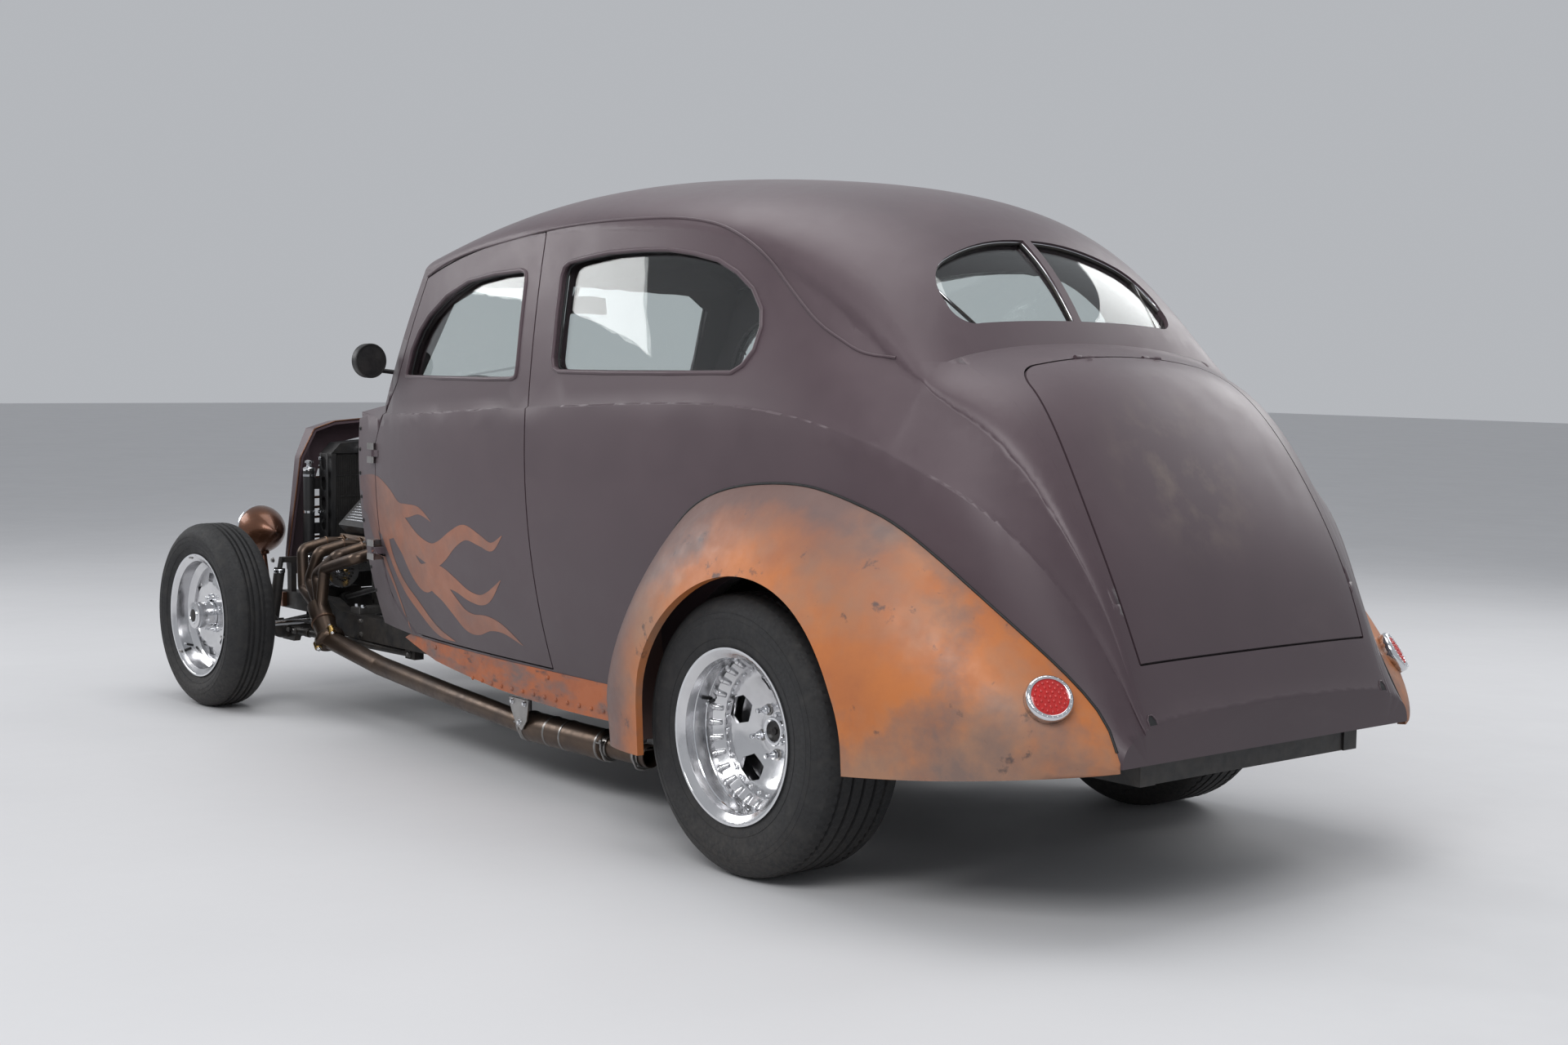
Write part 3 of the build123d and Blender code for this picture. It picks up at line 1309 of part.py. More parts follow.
tail_lamp_plane = Plane(origin=(at(-810), 614, 510), x_dir=(0, 0.7926, -0.6097), z_dir=(-0.725, 0.42, 0.546))
tail_lamp_radius = 52
with BuildPart() as tail_lamp:
    with Locations(tail_lamp_plane.offset(-fender_wall)):
        Cylinder(tail_lamp_radius, fender_wall + 16, align=(Align.CENTER, Align.CENTER, Align.MIN))
    lamp_axis = Axis(tail_lamp_plane.origin, tail_lamp_plane.z_dir)
    fillet(tail_lamp.edges().filter_by(GeomType.CIRCLE).sort_by(lamp_axis)[-1], 6)
    add(fender_block(0), mode=Mode.SUBTRACT)
    add(outer_block, mode=Mode.SUBTRACT)
write_both(tail_lamp.solids().sort_by(SortBy.VOLUME)[-1], "tail_lamps")

# Body side of the hinges, with their pins
with BuildPart() as door_hinge:
    for z in hinge_heights:
        for step in (1, -1):
            with Locations((at(hinge_s), hinge_y, z + step * 2.1 * barrel_half)):
                Cylinder(barrel_radius, 2 * barrel_half)
            with Locations((at(hinge_s), hinge_y + 2, z + step * 2.1 * barrel_half)):
                Box(34, 48, 2 * barrel_half, align=(Align.MIN, Align.MAX, Align.CENTER))
        with Locations((at(hinge_s), hinge_y, z)):
            Cylinder(hinge_pin_radius, 6.2 * barrel_half)
    add(outer_block, mode=Mode.SUBTRACT)
    with Locations((at(hinge_s) + 2.5, hinge_y - barrel_radius, 0)):
        Box(20, 60, 3000, align=(Align.MAX, Align.MAX, Align.CENTER), mode=Mode.SUBTRACT)
write_both(door_hinge.part, "door_hinges")
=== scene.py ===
"""Looks of the hot rod sedan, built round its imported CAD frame."""

import json
import logging
import math
from dataclasses import dataclass
from enum import Enum

import bmesh
import bpy
from mathutils import Matrix, Vector
from mathutils.bvhtree import BVHTree

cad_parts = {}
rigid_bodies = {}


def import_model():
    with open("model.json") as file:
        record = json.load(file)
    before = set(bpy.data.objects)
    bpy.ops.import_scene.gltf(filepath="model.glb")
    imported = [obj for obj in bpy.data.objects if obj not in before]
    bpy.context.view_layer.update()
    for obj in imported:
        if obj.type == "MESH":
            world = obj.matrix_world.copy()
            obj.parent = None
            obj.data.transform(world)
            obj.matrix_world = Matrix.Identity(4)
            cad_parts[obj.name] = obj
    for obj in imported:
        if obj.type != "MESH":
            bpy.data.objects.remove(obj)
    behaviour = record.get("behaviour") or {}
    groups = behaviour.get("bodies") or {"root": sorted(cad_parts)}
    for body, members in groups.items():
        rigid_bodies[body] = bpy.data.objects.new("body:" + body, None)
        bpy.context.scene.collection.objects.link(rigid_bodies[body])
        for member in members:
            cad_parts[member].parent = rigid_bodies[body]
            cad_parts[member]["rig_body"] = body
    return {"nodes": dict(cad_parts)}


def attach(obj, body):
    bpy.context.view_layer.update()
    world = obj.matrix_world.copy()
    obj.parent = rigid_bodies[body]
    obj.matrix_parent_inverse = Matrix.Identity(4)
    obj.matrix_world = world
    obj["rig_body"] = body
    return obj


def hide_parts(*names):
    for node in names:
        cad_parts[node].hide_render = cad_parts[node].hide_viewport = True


logging.basicConfig(level=logging.INFO, format="%(message)s")
log = logging.getLogger("hot_rod")

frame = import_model()

MM = 0.001
REAR_AXLE_X = -1166.5
WHEELBASE = 2954.0

Socket = bpy.types.NodeSocket
Vert = bmesh.types.BMVert
Face = bmesh.types.BMFace


class Side(Enum):
    """The two sides of the car, valued by the sign of their width."""

    LEFT = 1
    RIGHT = -1

    @property
    def word(self) -> str:
        """The side's name in lower case."""
        return self.name.lower()


def place(s: float, y: float, z: float) -> Vector:
    """Turns a place measured from the rear axle into the row frame.

    Args:
        s: Millimetres forward of the rear axle.
        y: Millimetres to the left.
        z: Millimetres above the ground.

    Returns:
        The point in metres.
    """
    return Vector((REAR_AXLE_X + s, y, z)) * MM


class Recipe(Enum):
    """How a finish lays its colours."""

    PLAIN = "plain"
    BODY = "body"
    FENDER = "fender"
    SILL = "sill"
    FLAME = "flame"
    BRUSHED = "brushed"


@dataclass(frozen=True)
class Finish:
    """One procedural surface.

    Attributes:
        name: Material name.
        base: Main colour.
        alt: Second colour, mixed in by noise.
        scale: Scale of the colour noise per metre.
        spread: Share of the second colour.
        metallic: Metalness.
        rough: Lowest and highest roughness.
        bump: Bump strength.
        bump_scale: Scale of the bump noise per metre.
        coat: Clear coat weight.
        coat_rough: Clear coat roughness.
        sheen: Sheen weight.
        clear: Transmission weight.
        ior: Index of refraction.
        glow: Emission strength in the base colour.
        low: Colour of dust near the ground, or None.
        low_top: Height in metres where the dust has gone.
        recipe: How the colours are laid.
    """

    name: str
    base: tuple[float, float, float]
    alt: tuple[float, float, float]
    scale: float = 6.0
    spread: float = 0.5
    metallic: float = 0.0
    rough: tuple[float, float] = (0.4, 0.55)
    bump: float = 0.0
    bump_scale: float = 120.0
    coat: float = 0.0
    coat_rough: float = 0.1
    sheen: float = 0.0
    clear: float = 0.0
    ior: float = 1.5
    glow: float = 0.0
    low: tuple[float, float, float] | None = None
    low_top: float = 0.5
    recipe: Recipe = Recipe.PLAIN


class Nodes:
    """Small helper that adds and links shader nodes."""

    def __init__(self, material: bpy.types.Material) -> None:
        """Empties the material's tree and keeps it.

        Args:
            material: The material to fill.
        """
        material.use_nodes = True
        self.tree = material.node_tree
        self.tree.nodes.clear()

    def add(self, kind: str, **values: object) -> bpy.types.Node:
        """Adds one node.

        Args:
            kind: Node type.
            **values: Attributes to set on the node.

        Returns:
            The node.
        """
        node = self.tree.nodes.new(kind)
        for key, value in values.items():
            setattr(node, key, value)
        return node

    def link(self, out: Socket, into: Socket) -> None:
        """Links two sockets."""
        self.tree.links.new(out, into)

    def coords(self) -> Socket:
        """Adds object coordinates and returns their socket."""
        return self.add("ShaderNodeTexCoord").outputs["Object"]

    def noise(self, coords: Socket, scale: float, detail: float = 4.0) -> Socket:
        """Adds a noise texture and returns its factor."""
        node = self.add("ShaderNodeTexNoise")
        node.inputs["Scale"].default_value = scale
        node.inputs["Detail"].default_value = detail
        node.inputs["Roughness"].default_value = 0.6
        self.link(coords, node.inputs["Vector"])
        return node.outputs["Fac"]

    def ramp(
        self, factor: Socket, low: float, high: float, out_low: float = 0.0, out_high: float = 1.0
    ) -> Socket:
        """Maps a factor from one range to another, clamped."""
        node = self.add("ShaderNodeMapRange")
        node.inputs["From Min"].default_value = low
        node.inputs["From Max"].default_value = high
        node.inputs["To Min"].default_value = out_low
        node.inputs["To Max"].default_value = out_high
        self.link(factor, node.inputs["Value"])
        return node.outputs["Result"]

    def math(self, operation: str, first: object, second: object = 0.0) -> Socket:
        """Adds a math node over sockets or numbers."""
        node = self.add("ShaderNodeMath", operation=operation)
        for index, value in enumerate((first, second)):
            if isinstance(value, (int, float)):
                node.inputs[index].default_value = value
            else:
                self.link(value, node.inputs[index])
        return node.outputs[0]

    def mix(self, factor: object, first: object, second: object) -> Socket:
        """Mixes two colours, each a socket or a tuple."""
        node = self.add("ShaderNodeMix", data_type="RGBA")
        if isinstance(factor, (int, float)):
            node.inputs[0].default_value = factor
        else:
            self.link(factor, node.inputs[0])
        for index, value in ((6, first), (7, second)):
            if isinstance(value, tuple):
                node.inputs[index].default_value = (*value, 1.0)
            else:
                self.link(value, node.inputs[index])
        return node.outputs[2]

    def away(self, coords: Socket, spot: Vector, flat: bool = False) -> Socket:
        """Returns the distance of each point from a spot, in metres, without the width if flat."""
        shift = self.add("ShaderNodeVectorMath", operation="SUBTRACT")
        self.link(coords, shift.inputs[0])
        shift.inputs[1].default_value = spot
        scale = self.add("ShaderNodeVectorMath", operation="MULTIPLY")
        self.link(shift.outputs[0], scale.inputs[0])
        scale.inputs[1].default_value = (1.0, 0.0 if flat else 1.0, 1.0)
        length = self.add("ShaderNodeVectorMath", operation="LENGTH")
        self.link(scale.outputs[0], length.inputs[0])
        return length.outputs["Value"]

    def stretched(self, coords: Socket, factors: tuple[float, float, float]) -> Socket:
        """Stretches coordinates along the axes."""
        node = self.add("ShaderNodeVectorMath", operation="MULTIPLY")
        self.link(coords, node.inputs[0])
        node.inputs[1].default_value = factors
        return node.outputs[0]

    def axis(self, coords: Socket, name: str) -> Socket:
        """Returns one axis of a coordinate socket."""
        node = self.add("ShaderNodeSeparateXYZ")
        self.link(coords, node.inputs[0])
        return node.outputs[name]


class Paint:
    """Makes each finish into a material once."""

    made: dict[str, bpy.types.Material] = {}

    @classmethod
    def of(cls, finish: Finish) -> bpy.types.Material:
        """Returns the material of a finish.

        Args:
            finish: The surface to make.

        Returns:
            The material, made on first use.
        """
        if finish.name not in cls.made:
            cls.made[finish.name] = cls._make(finish)
        return cls.made[finish.name]

    @classmethod
    def _make(cls, finish: Finish) -> bpy.types.Material:
        """Builds the node tree of a finish."""
        material = bpy.data.materials.new(finish.name)
        nodes = Nodes(material)
        coords = nodes.coords()
        shader = nodes.add("ShaderNodeBsdfPrincipled")
        out = nodes.add("ShaderNodeOutputMaterial")
        nodes.link(shader.outputs[0], out.inputs[0])
        colour = cls._colour(nodes, coords, finish)
        nodes.link(colour, shader.inputs["Base Color"])
        grain = nodes.noise(coords, finish.scale * 4.0)
        nodes.link(nodes.ramp(grain, 0.3, 0.7, *finish.rough), shader.inputs["Roughness"])
        shader.inputs["Metallic"].default_value = finish.metallic
        shader.inputs["Coat Weight"].default_value = finish.coat
        shader.inputs["Coat Roughness"].default_value = finish.coat_rough
        shader.inputs["Sheen Weight"].default_value = finish.sheen
        shader.inputs["Transmission Weight"].default_value = finish.clear
        shader.inputs["IOR"].default_value = finish.ior
        if finish.glow:
            shader.inputs["Emission Color"].default_value = (*finish.base, 1.0)
            shader.inputs["Emission Strength"].default_value = finish.glow
        if finish.bump:
            bump = nodes.add("ShaderNodeBump")
            bump.inputs["Strength"].default_value = finish.bump
            bump.inputs["Distance"].default_value = 0.002
            nodes.link(nodes.noise(coords, finish.bump_scale, 6.0), bump.inputs["Height"])
            nodes.link(bump.outputs[0], shader.inputs["Normal"])
        material.diffuse_color = (*finish.base, 1.0)
        return material

    @staticmethod
    def _colour(nodes: Nodes, coords: Socket, finish: Finish) -> Socket:
        """Chooses the colours that a finish's recipe lays."""
        patch = nodes.noise(coords, finish.scale, 6.0)
        edge = 1.0 - finish.spread
        colour = nodes.mix(nodes.ramp(patch, edge - 0.15, edge + 0.15), finish.base, finish.alt)
        if finish.recipe is Recipe.BODY:
            colour = Paint._body_colour(nodes, coords, colour)
        elif finish.recipe is Recipe.FENDER:
            colour = Paint._fender_colour(nodes, coords, colour)
        elif finish.recipe is Recipe.SILL:
            colour = Paint._sill_colour(nodes, coords, colour)
        elif finish.recipe is Recipe.FLAME:
            colour = Paint._flame_colour(nodes, coords, colour)
        elif finish.recipe is Recipe.BRUSHED:
            streak = nodes.noise(nodes.stretched(coords, (1.0, 12.0, 1.0)), 60.0, 2.0)
            colour = nodes.mix(nodes.ramp(streak, 0.35, 0.65), colour, finish.alt)
        if finish.low is not None:
            height = nodes.ramp(nodes.axis(coords, "Z"), finish.low_top, 0.05)
            speck = nodes.ramp(nodes.noise(coords, finish.scale * 3.0, 8.0), 0.35, 0.7)
            colour = nodes.mix(nodes.math("MULTIPLY", height, speck), colour, finish.low)
        return colour

    @staticmethod
    def _body_colour(nodes: Nodes, coords: Socket, colour: Socket) -> Socket:
        """Darkens the lower panels with painted shade and rubs a pale worn patch on the lid."""
        # painted shade: the plum darkens towards the bottom, where the lower panels get less light
        low = nodes.ramp(nodes.axis(coords, "Z"), 0.85, 0.30, 0.0, 0.55)
        colour = nodes.mix(low, colour, Surfaces.PLUM_LOW)
        near = nodes.ramp(nodes.away(coords, place(-690, 60, 960)), 0.26, 0.05)
        worn = nodes.ramp(nodes.noise(coords, 9.0, 8.0), 0.46, 0.66)
        colour = nodes.mix(
            nodes.math("MULTIPLY", nodes.math("MULTIPLY", near, worn), 0.55), colour, Surfaces.WORN,
        )
        smudge = nodes.ramp(
            nodes.noise(nodes.stretched(coords, (1.0, 1.0, 2.6)), 3.2, 8.0), 0.58, 0.78, 0.0, 0.3,
        )
        return nodes.mix(smudge, colour, Surfaces.SMUDGE)

    @staticmethod
    def _fender_colour(nodes: Nodes, coords: Socket, colour: Socket) -> Socket:
        """Lays stains over the primer and fades it to plum along the top."""
        haze = nodes.ramp(nodes.noise(coords, 2.3, 5.0), 0.44, 0.60, 0.0, 0.75)
        colour = nodes.mix(haze, colour, Surfaces.SAND)
        cloud = nodes.noise(coords, 3.4, 7.0)
        colour = nodes.mix(nodes.ramp(cloud, 0.53, 0.66, 0.0, 0.75), colour, Surfaces.STAIN)
        spots = nodes.ramp(nodes.noise(coords, 17.0, 9.0), 0.63, 0.70, 0.0, 0.8)
        colour = nodes.mix(spots, colour, Surfaces.SOOT)
        ragged = nodes.math("MULTIPLY", nodes.noise(coords, 5.0, 6.0), 0.16)
        away = nodes.math("ADD", nodes.away(coords, place(-62, 0, 360), True), ragged)
        rim = nodes.ramp(away, 0.465, 0.605, 0.0, 0.92)
        ahead = nodes.ramp(nodes.axis(coords, "X"), (REAR_AXLE_X - 520) * MM, (REAR_AXLE_X - 260) * MM)
        colour = nodes.mix(nodes.math("MULTIPLY", rim, ahead), colour, Surfaces.PLUM_FADE)
        leg = nodes.ramp(nodes.axis(coords, "X"), (REAR_AXLE_X + 270) * MM, (REAR_AXLE_X + 390) * MM)
        patch = nodes.ramp(nodes.noise(coords, 4.2, 6.0), 0.38, 0.56, 0.0, 0.8)
        return nodes.mix(nodes.math("MULTIPLY", leg, patch), colour, Surfaces.PLUM_FADE)

    @staticmethod
    def _sill_colour(nodes: Nodes, coords: Socket, colour: Socket) -> Socket:
        """Smears grey over the rusty sill."""
        long = nodes.stretched(coords, (1.0, 1.0, 2.2))
        smear = nodes.ramp(nodes.noise(long, 5.5, 8.0), 0.44, 0.60, 0.0, 0.9)
        colour = nodes.mix(smear, colour, Surfaces.STAIN)
        return nodes.mix(
            nodes.ramp(nodes.noise(long, 14.0, 8.0), 0.60, 0.72, 0.0, 0.8), colour, Surfaces.SOOT,
        )

    @staticmethod
    def _flame_colour(nodes: Nodes, coords: Socket, colour: Socket) -> Socket:
        """Fades the flames into the plum toward their roots."""
        length = nodes.axis(coords, "X")
        root = nodes.ramp(length, (REAR_AXLE_X + 1900) * MM, (REAR_AXLE_X + 2140) * MM, 0.0, 0.85)
        mist = nodes.ramp(nodes.noise(coords, 7.0, 6.0), 0.45, 0.70, 0.0, 0.55)
        colour = nodes.mix(mist, colour, Surfaces.STAIN)
        return nodes.mix(root, colour, Surfaces.PLUM_LIT)


class Surfaces:
    """Every finish of the car."""

    PLUM_LIT = (0.074, 0.048, 0.057)
    # painted shade: a darker copy of the plum, laid on the lower panels
    PLUM_LOW = (0.030, 0.018, 0.024)
    PLUM_FADE = (0.135, 0.088, 0.082)
    WORN = (0.19, 0.145, 0.115)
    SMUDGE = (0.098, 0.068, 0.074)
    STAIN = (0.150, 0.112, 0.104)
    SOOT = (0.050, 0.040, 0.042)
    SAND = (0.30, 0.185, 0.125)
    BODY = Finish(
        "satin_plum", (0.066, 0.041, 0.050), (0.080, 0.051, 0.061), 2.2, 0.5, 0.15, (0.40, 0.50), coat=0.12,
        coat_rough=0.32, sheen=0.1, recipe=Recipe.BODY,
    )
    RUST = Finish(
        "rusted_primer", (0.50, 0.160, 0.040), (0.40, 0.125, 0.040), 6.0, 0.42, 0.0, (0.42, 0.6), 0.06, 60.0,
        coat=0.1, coat_rough=0.3, recipe=Recipe.FENDER,
    )
    SILL = Finish(
        "rusted_sill", (0.40, 0.115, 0.040), (0.30, 0.095, 0.045), 6.0, 0.42, 0.0, (0.45, 0.65), 0.08, 90.0,
        recipe=Recipe.SILL,
    )
    FLAME = Finish(
        "copper_flame", (0.36, 0.150, 0.090), (0.30, 0.115, 0.068), 5.0, 0.5, 0.1, (0.40, 0.50), coat=0.12,
        coat_rough=0.32, recipe=Recipe.FLAME,
    )
    LED = Finish("red_led", (0.50, 0.018, 0.014), (0.38, 0.010, 0.008), 60.0, 0.5, 0.0, (0.1, 0.2), coat=0.5,
                 coat_rough=0.05, glow=0.12)
    CREAM = Finish(
        "tan_enamel", (0.36, 0.27, 0.19), (0.30, 0.22, 0.155), 8.0, 0.45, 0.2, (0.28, 0.42), coat=0.4,
    )
    COPPER = Finish(
        "brown_copper", (0.165, 0.070, 0.038), (0.095, 0.042, 0.026), 7.0, 0.5, 0.75, (0.26, 0.38),
        coat=0.3,
    )
    PIPE = Finish(
        "baked_pipe", (0.115, 0.080, 0.058), (0.075, 0.055, 0.045), 10.0, 0.5, 0.85, (0.30, 0.45), 0.03,
        150.0,
    )
    STEEL = Finish(
        "satin_steel", (0.30, 0.29, 0.28), (0.22, 0.21, 0.20), 12.0, 0.5, 1.0, (0.25, 0.40), 0.03, 300.0,
        recipe=Recipe.BRUSHED,
    )
    CORE = Finish(
        "radiator_core", (0.060, 0.058, 0.056), (0.040, 0.038, 0.037), 30.0, 0.5, 0.6, (0.45, 0.6), 0.3,
        600.0,
    )
    BELT = Finish(
        "drive_belt", (0.018, 0.018, 0.019), (0.028, 0.027, 0.026), 40.0, 0.5, 0.0, (0.6, 0.8), 0.2, 900.0,
    )
    BLACK = Finish(
        "satin_black", (0.012, 0.012, 0.013), (0.022, 0.020, 0.019), 9.0, 0.4, 0.0, (0.38, 0.55), 0.05,
        low=(0.09, 0.075, 0.06), low_top=0.45,
    )
    DARK = Finish(
        "dark_iron", (0.030, 0.028, 0.028), (0.055, 0.046, 0.040), 14.0, 0.4, 0.5, (0.42, 0.62), 0.2, 300.0,
    )
    CHROME = Finish("chrome", (0.72, 0.73, 0.75), (0.66, 0.67, 0.69), 8.0, 0.4, 1.0, (0.05, 0.12))
    POLISHED = Finish(
        "polished_metal", (0.68, 0.68, 0.69), (0.58, 0.58, 0.60), 10.0, 0.4, 1.0, (0.12, 0.24), 0.02, 500.0,
    )
    BRUSHED = Finish(
        "brushed_steel", (0.38, 0.37, 0.36), (0.28, 0.27, 0.26), 18.0, 0.45, 1.0, (0.3, 0.45), 0.05, 400.0,
    )
    BRONZE = Finish(
        "heat_bronze", (0.19, 0.115, 0.07), (0.10, 0.065, 0.055), 12.0, 0.45, 0.85, (0.3, 0.5), 0.04, 200.0,
    )
    GOLD = Finish("gold_plate", (0.52, 0.34, 0.12), (0.40, 0.25, 0.08), 20.0, 0.4, 1.0, (0.2, 0.35))
    CAST = Finish(
        "cast_metal", (0.16, 0.155, 0.15), (0.10, 0.095, 0.09), 22.0, 0.45, 0.8, (0.45, 0.65), 0.35, 420.0,
    )
    TYRE = Finish(
        "tyre_rubber", (0.016, 0.016, 0.017), (0.034, 0.032, 0.030), 30.0, 0.35, 0.0, (0.62, 0.85), 0.12,
        420.0, low=(0.045, 0.040, 0.036), low_top=0.2,
    )
    RUBBER = Finish(
        "black_rubber", (0.010, 0.010, 0.011), (0.018, 0.018, 0.018), 30.0, 0.4, 0.0, (0.5, 0.7), 0.05,
        300.0,
    )
    GLASS = Finish(
        "window_glass", (0.90, 0.94, 0.93), (0.88, 0.93, 0.92), 2.0, 0.5, 0.0, (0.0, 0.02), clear=1.0,
        ior=1.46,
    )
    LENS = Finish(
        "lamp_lens", (0.95, 0.96, 0.97), (0.92, 0.94, 0.95), 8.0, 0.5, 0.0, (0.02, 0.05), clear=0.96,
        ior=1.5,
    )
    RED = Finish(
        "red_lens", (0.55, 0.012, 0.010), (0.42, 0.008, 0.008), 20.0, 0.5, 0.0, (0.08, 0.16), coat=0.6,
        coat_rough=0.04, clear=0.15, glow=0.06,
    )
    LEATHER = Finish(
        "tan_leather", (0.235, 0.150, 0.090), (0.170, 0.105, 0.062), 9.0, 0.45, 0.0, (0.40, 0.58), 0.25,
        700.0,
    )
    TAN = Finish(
        "welt_leather", (0.30, 0.20, 0.125), (0.24, 0.155, 0.095), 30.0, 0.45, 0.0, (0.42, 0.6), 0.2, 900.0,
    )
    PLUM = Finish(
        "gloss_plum", (0.040, 0.023, 0.029), (0.052, 0.031, 0.037), 6.0, 0.5, 0.15, (0.2, 0.3), coat=0.5,
        coat_rough=0.1,
    )
    CLOTH = Finish(
        "dark_carpet", (0.028, 0.024, 0.022), (0.042, 0.036, 0.032), 40.0, 0.5, 0.0, (0.85, 0.98), 0.5, 900.0,
        sheen=0.3,
    )
    MIRROR = Finish("mirror_glass", (0.30, 0.32, 0.34), (0.28, 0.30, 0.32), 4.0, 0.5, 1.0, (0.01, 0.03))
    FACE = Finish(
        "gauge_face", (0.55, 0.52, 0.45), (0.50, 0.47, 0.41), 40.0, 0.5, 0.0, (0.35, 0.45), coat=0.4,
    )
    FLOOR = Finish("pale_floor", (0.62, 0.62, 0.63), (0.60, 0.60, 0.61), 1.2, 0.5, 0.0, (0.6, 0.75))


class Shape:
    """A mesh in the making, in millimetres of the row frame."""

    def __init__(self, name: str) -> None:
        """Starts an empty mesh.

        Args:
            name: Name of the finished piece.
        """
        self.name = name
        self.bm = bmesh.new()
        self.finishes: list[Finish] = []

    def _slot(self, finish: Finish) -> int:
        """Returns the number of a finish among the piece's slots."""
        if finish not in self.finishes:
            self.finishes.append(finish)
        return self.finishes.index(finish)

    def dress(self, faces: list[Face], finish: Finish) -> None:
        """Gives faces a finish."""
        index = self._slot(finish)
        for face in faces:
            face.material_index = index

    def _new_faces(self, verts: list[Vert]) -> list[Face]:
        """Collects the faces that touch the given corners."""
        return list({face for vert in verts for face in vert.link_faces})

    def box(
        self, low: Vector, high: Vector, finish: Finish, bevel: float = 1.5, turn: Matrix | None = None,
        segments: int = 2,
    ) -> "Shape":
        """Adds a bevelled box.

        Args:
            low: Lowest corner.
            high: Highest corner.
            finish: Its surface.
            bevel: Width of the rounded edges.
            turn: Extra transform about the box's middle.
            segments: Segments of the rounding.

        Returns:
            This shape.
        """
        middle = (low + high) / 2
        size = high - low
        matrix = Matrix.Translation(middle) @ (turn.to_4x4() if turn else Matrix.Identity(4))
        made = bmesh.ops.create_cube(self.bm, size=1.0, matrix=matrix @ Matrix.Diagonal((*size, 1.0)))
        if bevel:
            edges = list({edge for vert in made["verts"] for edge in vert.link_edges})
            result = bmesh.ops.bevel(
                self.bm, geom=edges, offset=bevel, affect="EDGES", segments=segments, profile=0.5, material=-1
            )
            faces = list({face for vert in result["verts"] for face in vert.link_faces})
            self.dress(faces, finish)
        else:
            self.dress(self._new_faces(made["verts"]), finish)
        return self

    def rod(
        self, start: Vector, end: Vector, radius: float, finish: Finish, segments: int = 24,
        bevel: float = 0.0, tip: float | None = None,
    ) -> "Shape":
        """Adds a round bar, or a cone when its tip has another radius.

        Args:
            start: Middle of one end.
            end: Middle of the other end.
            radius: Radius at the start.
            finish: Its surface.
            segments: Sides.
            bevel: Rounding of the end edges.
            tip: Radius at the end, or None for the same.

        Returns:
            This shape.
        """
        along = end - start
        turn = along.to_track_quat("Z", "Y").to_matrix().to_4x4()
        made = bmesh.ops.create_cone(
            self.bm, cap_ends=True, segments=segments, radius1=radius, radius2=radius if tip is None else tip,
            depth=along.length, matrix=Matrix.Translation((start + end) / 2) @ turn,
        )
        verts = made["verts"]
        if bevel:
            rims = [
                edge for edge in {e for v in verts for e in v.link_edges}
                if any(len(face.verts) > 4 for face in edge.link_faces)
            ]
            result = bmesh.ops.bevel(
                self.bm, geom=rims, offset=bevel, affect="EDGES", segments=2, profile=0.5, material=-1
            )
            verts = list(result["verts"]) + [v for v in verts if v.is_valid]
        self.dress(self._new_faces(verts), finish)
        return self

    def ball(
        self, middle: Vector, radius: float, finish: Finish, squash: Vector = Vector((1, 1, 1)),
    ) -> "Shape":
        """Adds a sphere, stretched along the axes.

        Args:
            middle: Centre.
            radius: Radius.
            finish: Its surface.
            squash: Stretch along X, Y and Z.

        Returns:
            This shape.
        """
        matrix = Matrix.Translation(middle) @ Matrix.Diagonal((*squash, 1.0))
        made = bmesh.ops.create_uvsphere(self.bm, u_segments=20, v_segments=12, radius=radius, matrix=matrix)
        self.dress(self._new_faces(made["verts"]), finish)
        return self

    def turned(
        self, profile: list[tuple[float, float]], origin: Vector, axis: Vector, finish: Finish,
        steps: int = 48, closed: bool = False, out: Vector | None = None,
    ) -> "Shape":
        """Adds a body of revolution.

        Args:
            profile: Pairs of radius and distance along the axis.
            origin: Where the distance is zero.
            axis: Direction of the axis.
            finish: Its surface.
            steps: Steps round the full turn.
            closed: Whether the profile's end joins its start.
            out: Direction of the radius at the start.

        Returns:
            This shape.
        """
        axis = axis.normalized()
        side = (out or axis.orthogonal()).normalized()
        verts = [self.bm.verts.new(origin + side * r + axis * d) for r, d in profile]
        edges = [self.bm.edges.new(pair) for pair in zip(verts, verts[1:])]
        if closed:
            edges.append(self.bm.edges.new((verts[-1], verts[0])))
        made = bmesh.ops.spin(
            self.bm, geom=verts + edges, cent=origin, axis=axis, angle=math.tau, steps=steps, use_merge=True,
        )
        made_verts = [item for item in made["geom_last"] if isinstance(item, Vert)]
        seen = set(v for v in verts + made_verts if v.is_valid)
        stack = list(seen)
        while stack:
            for edge in stack.pop().link_edges:
                for vert in edge.verts:
                    if vert not in seen:
                        seen.add(vert)
                        stack.append(vert)
        self.dress(self._new_faces(list(seen)), finish)
        bmesh.ops.remove_doubles(self.bm, verts=[v for v in seen if v.is_valid], dist=0.01)
        return self

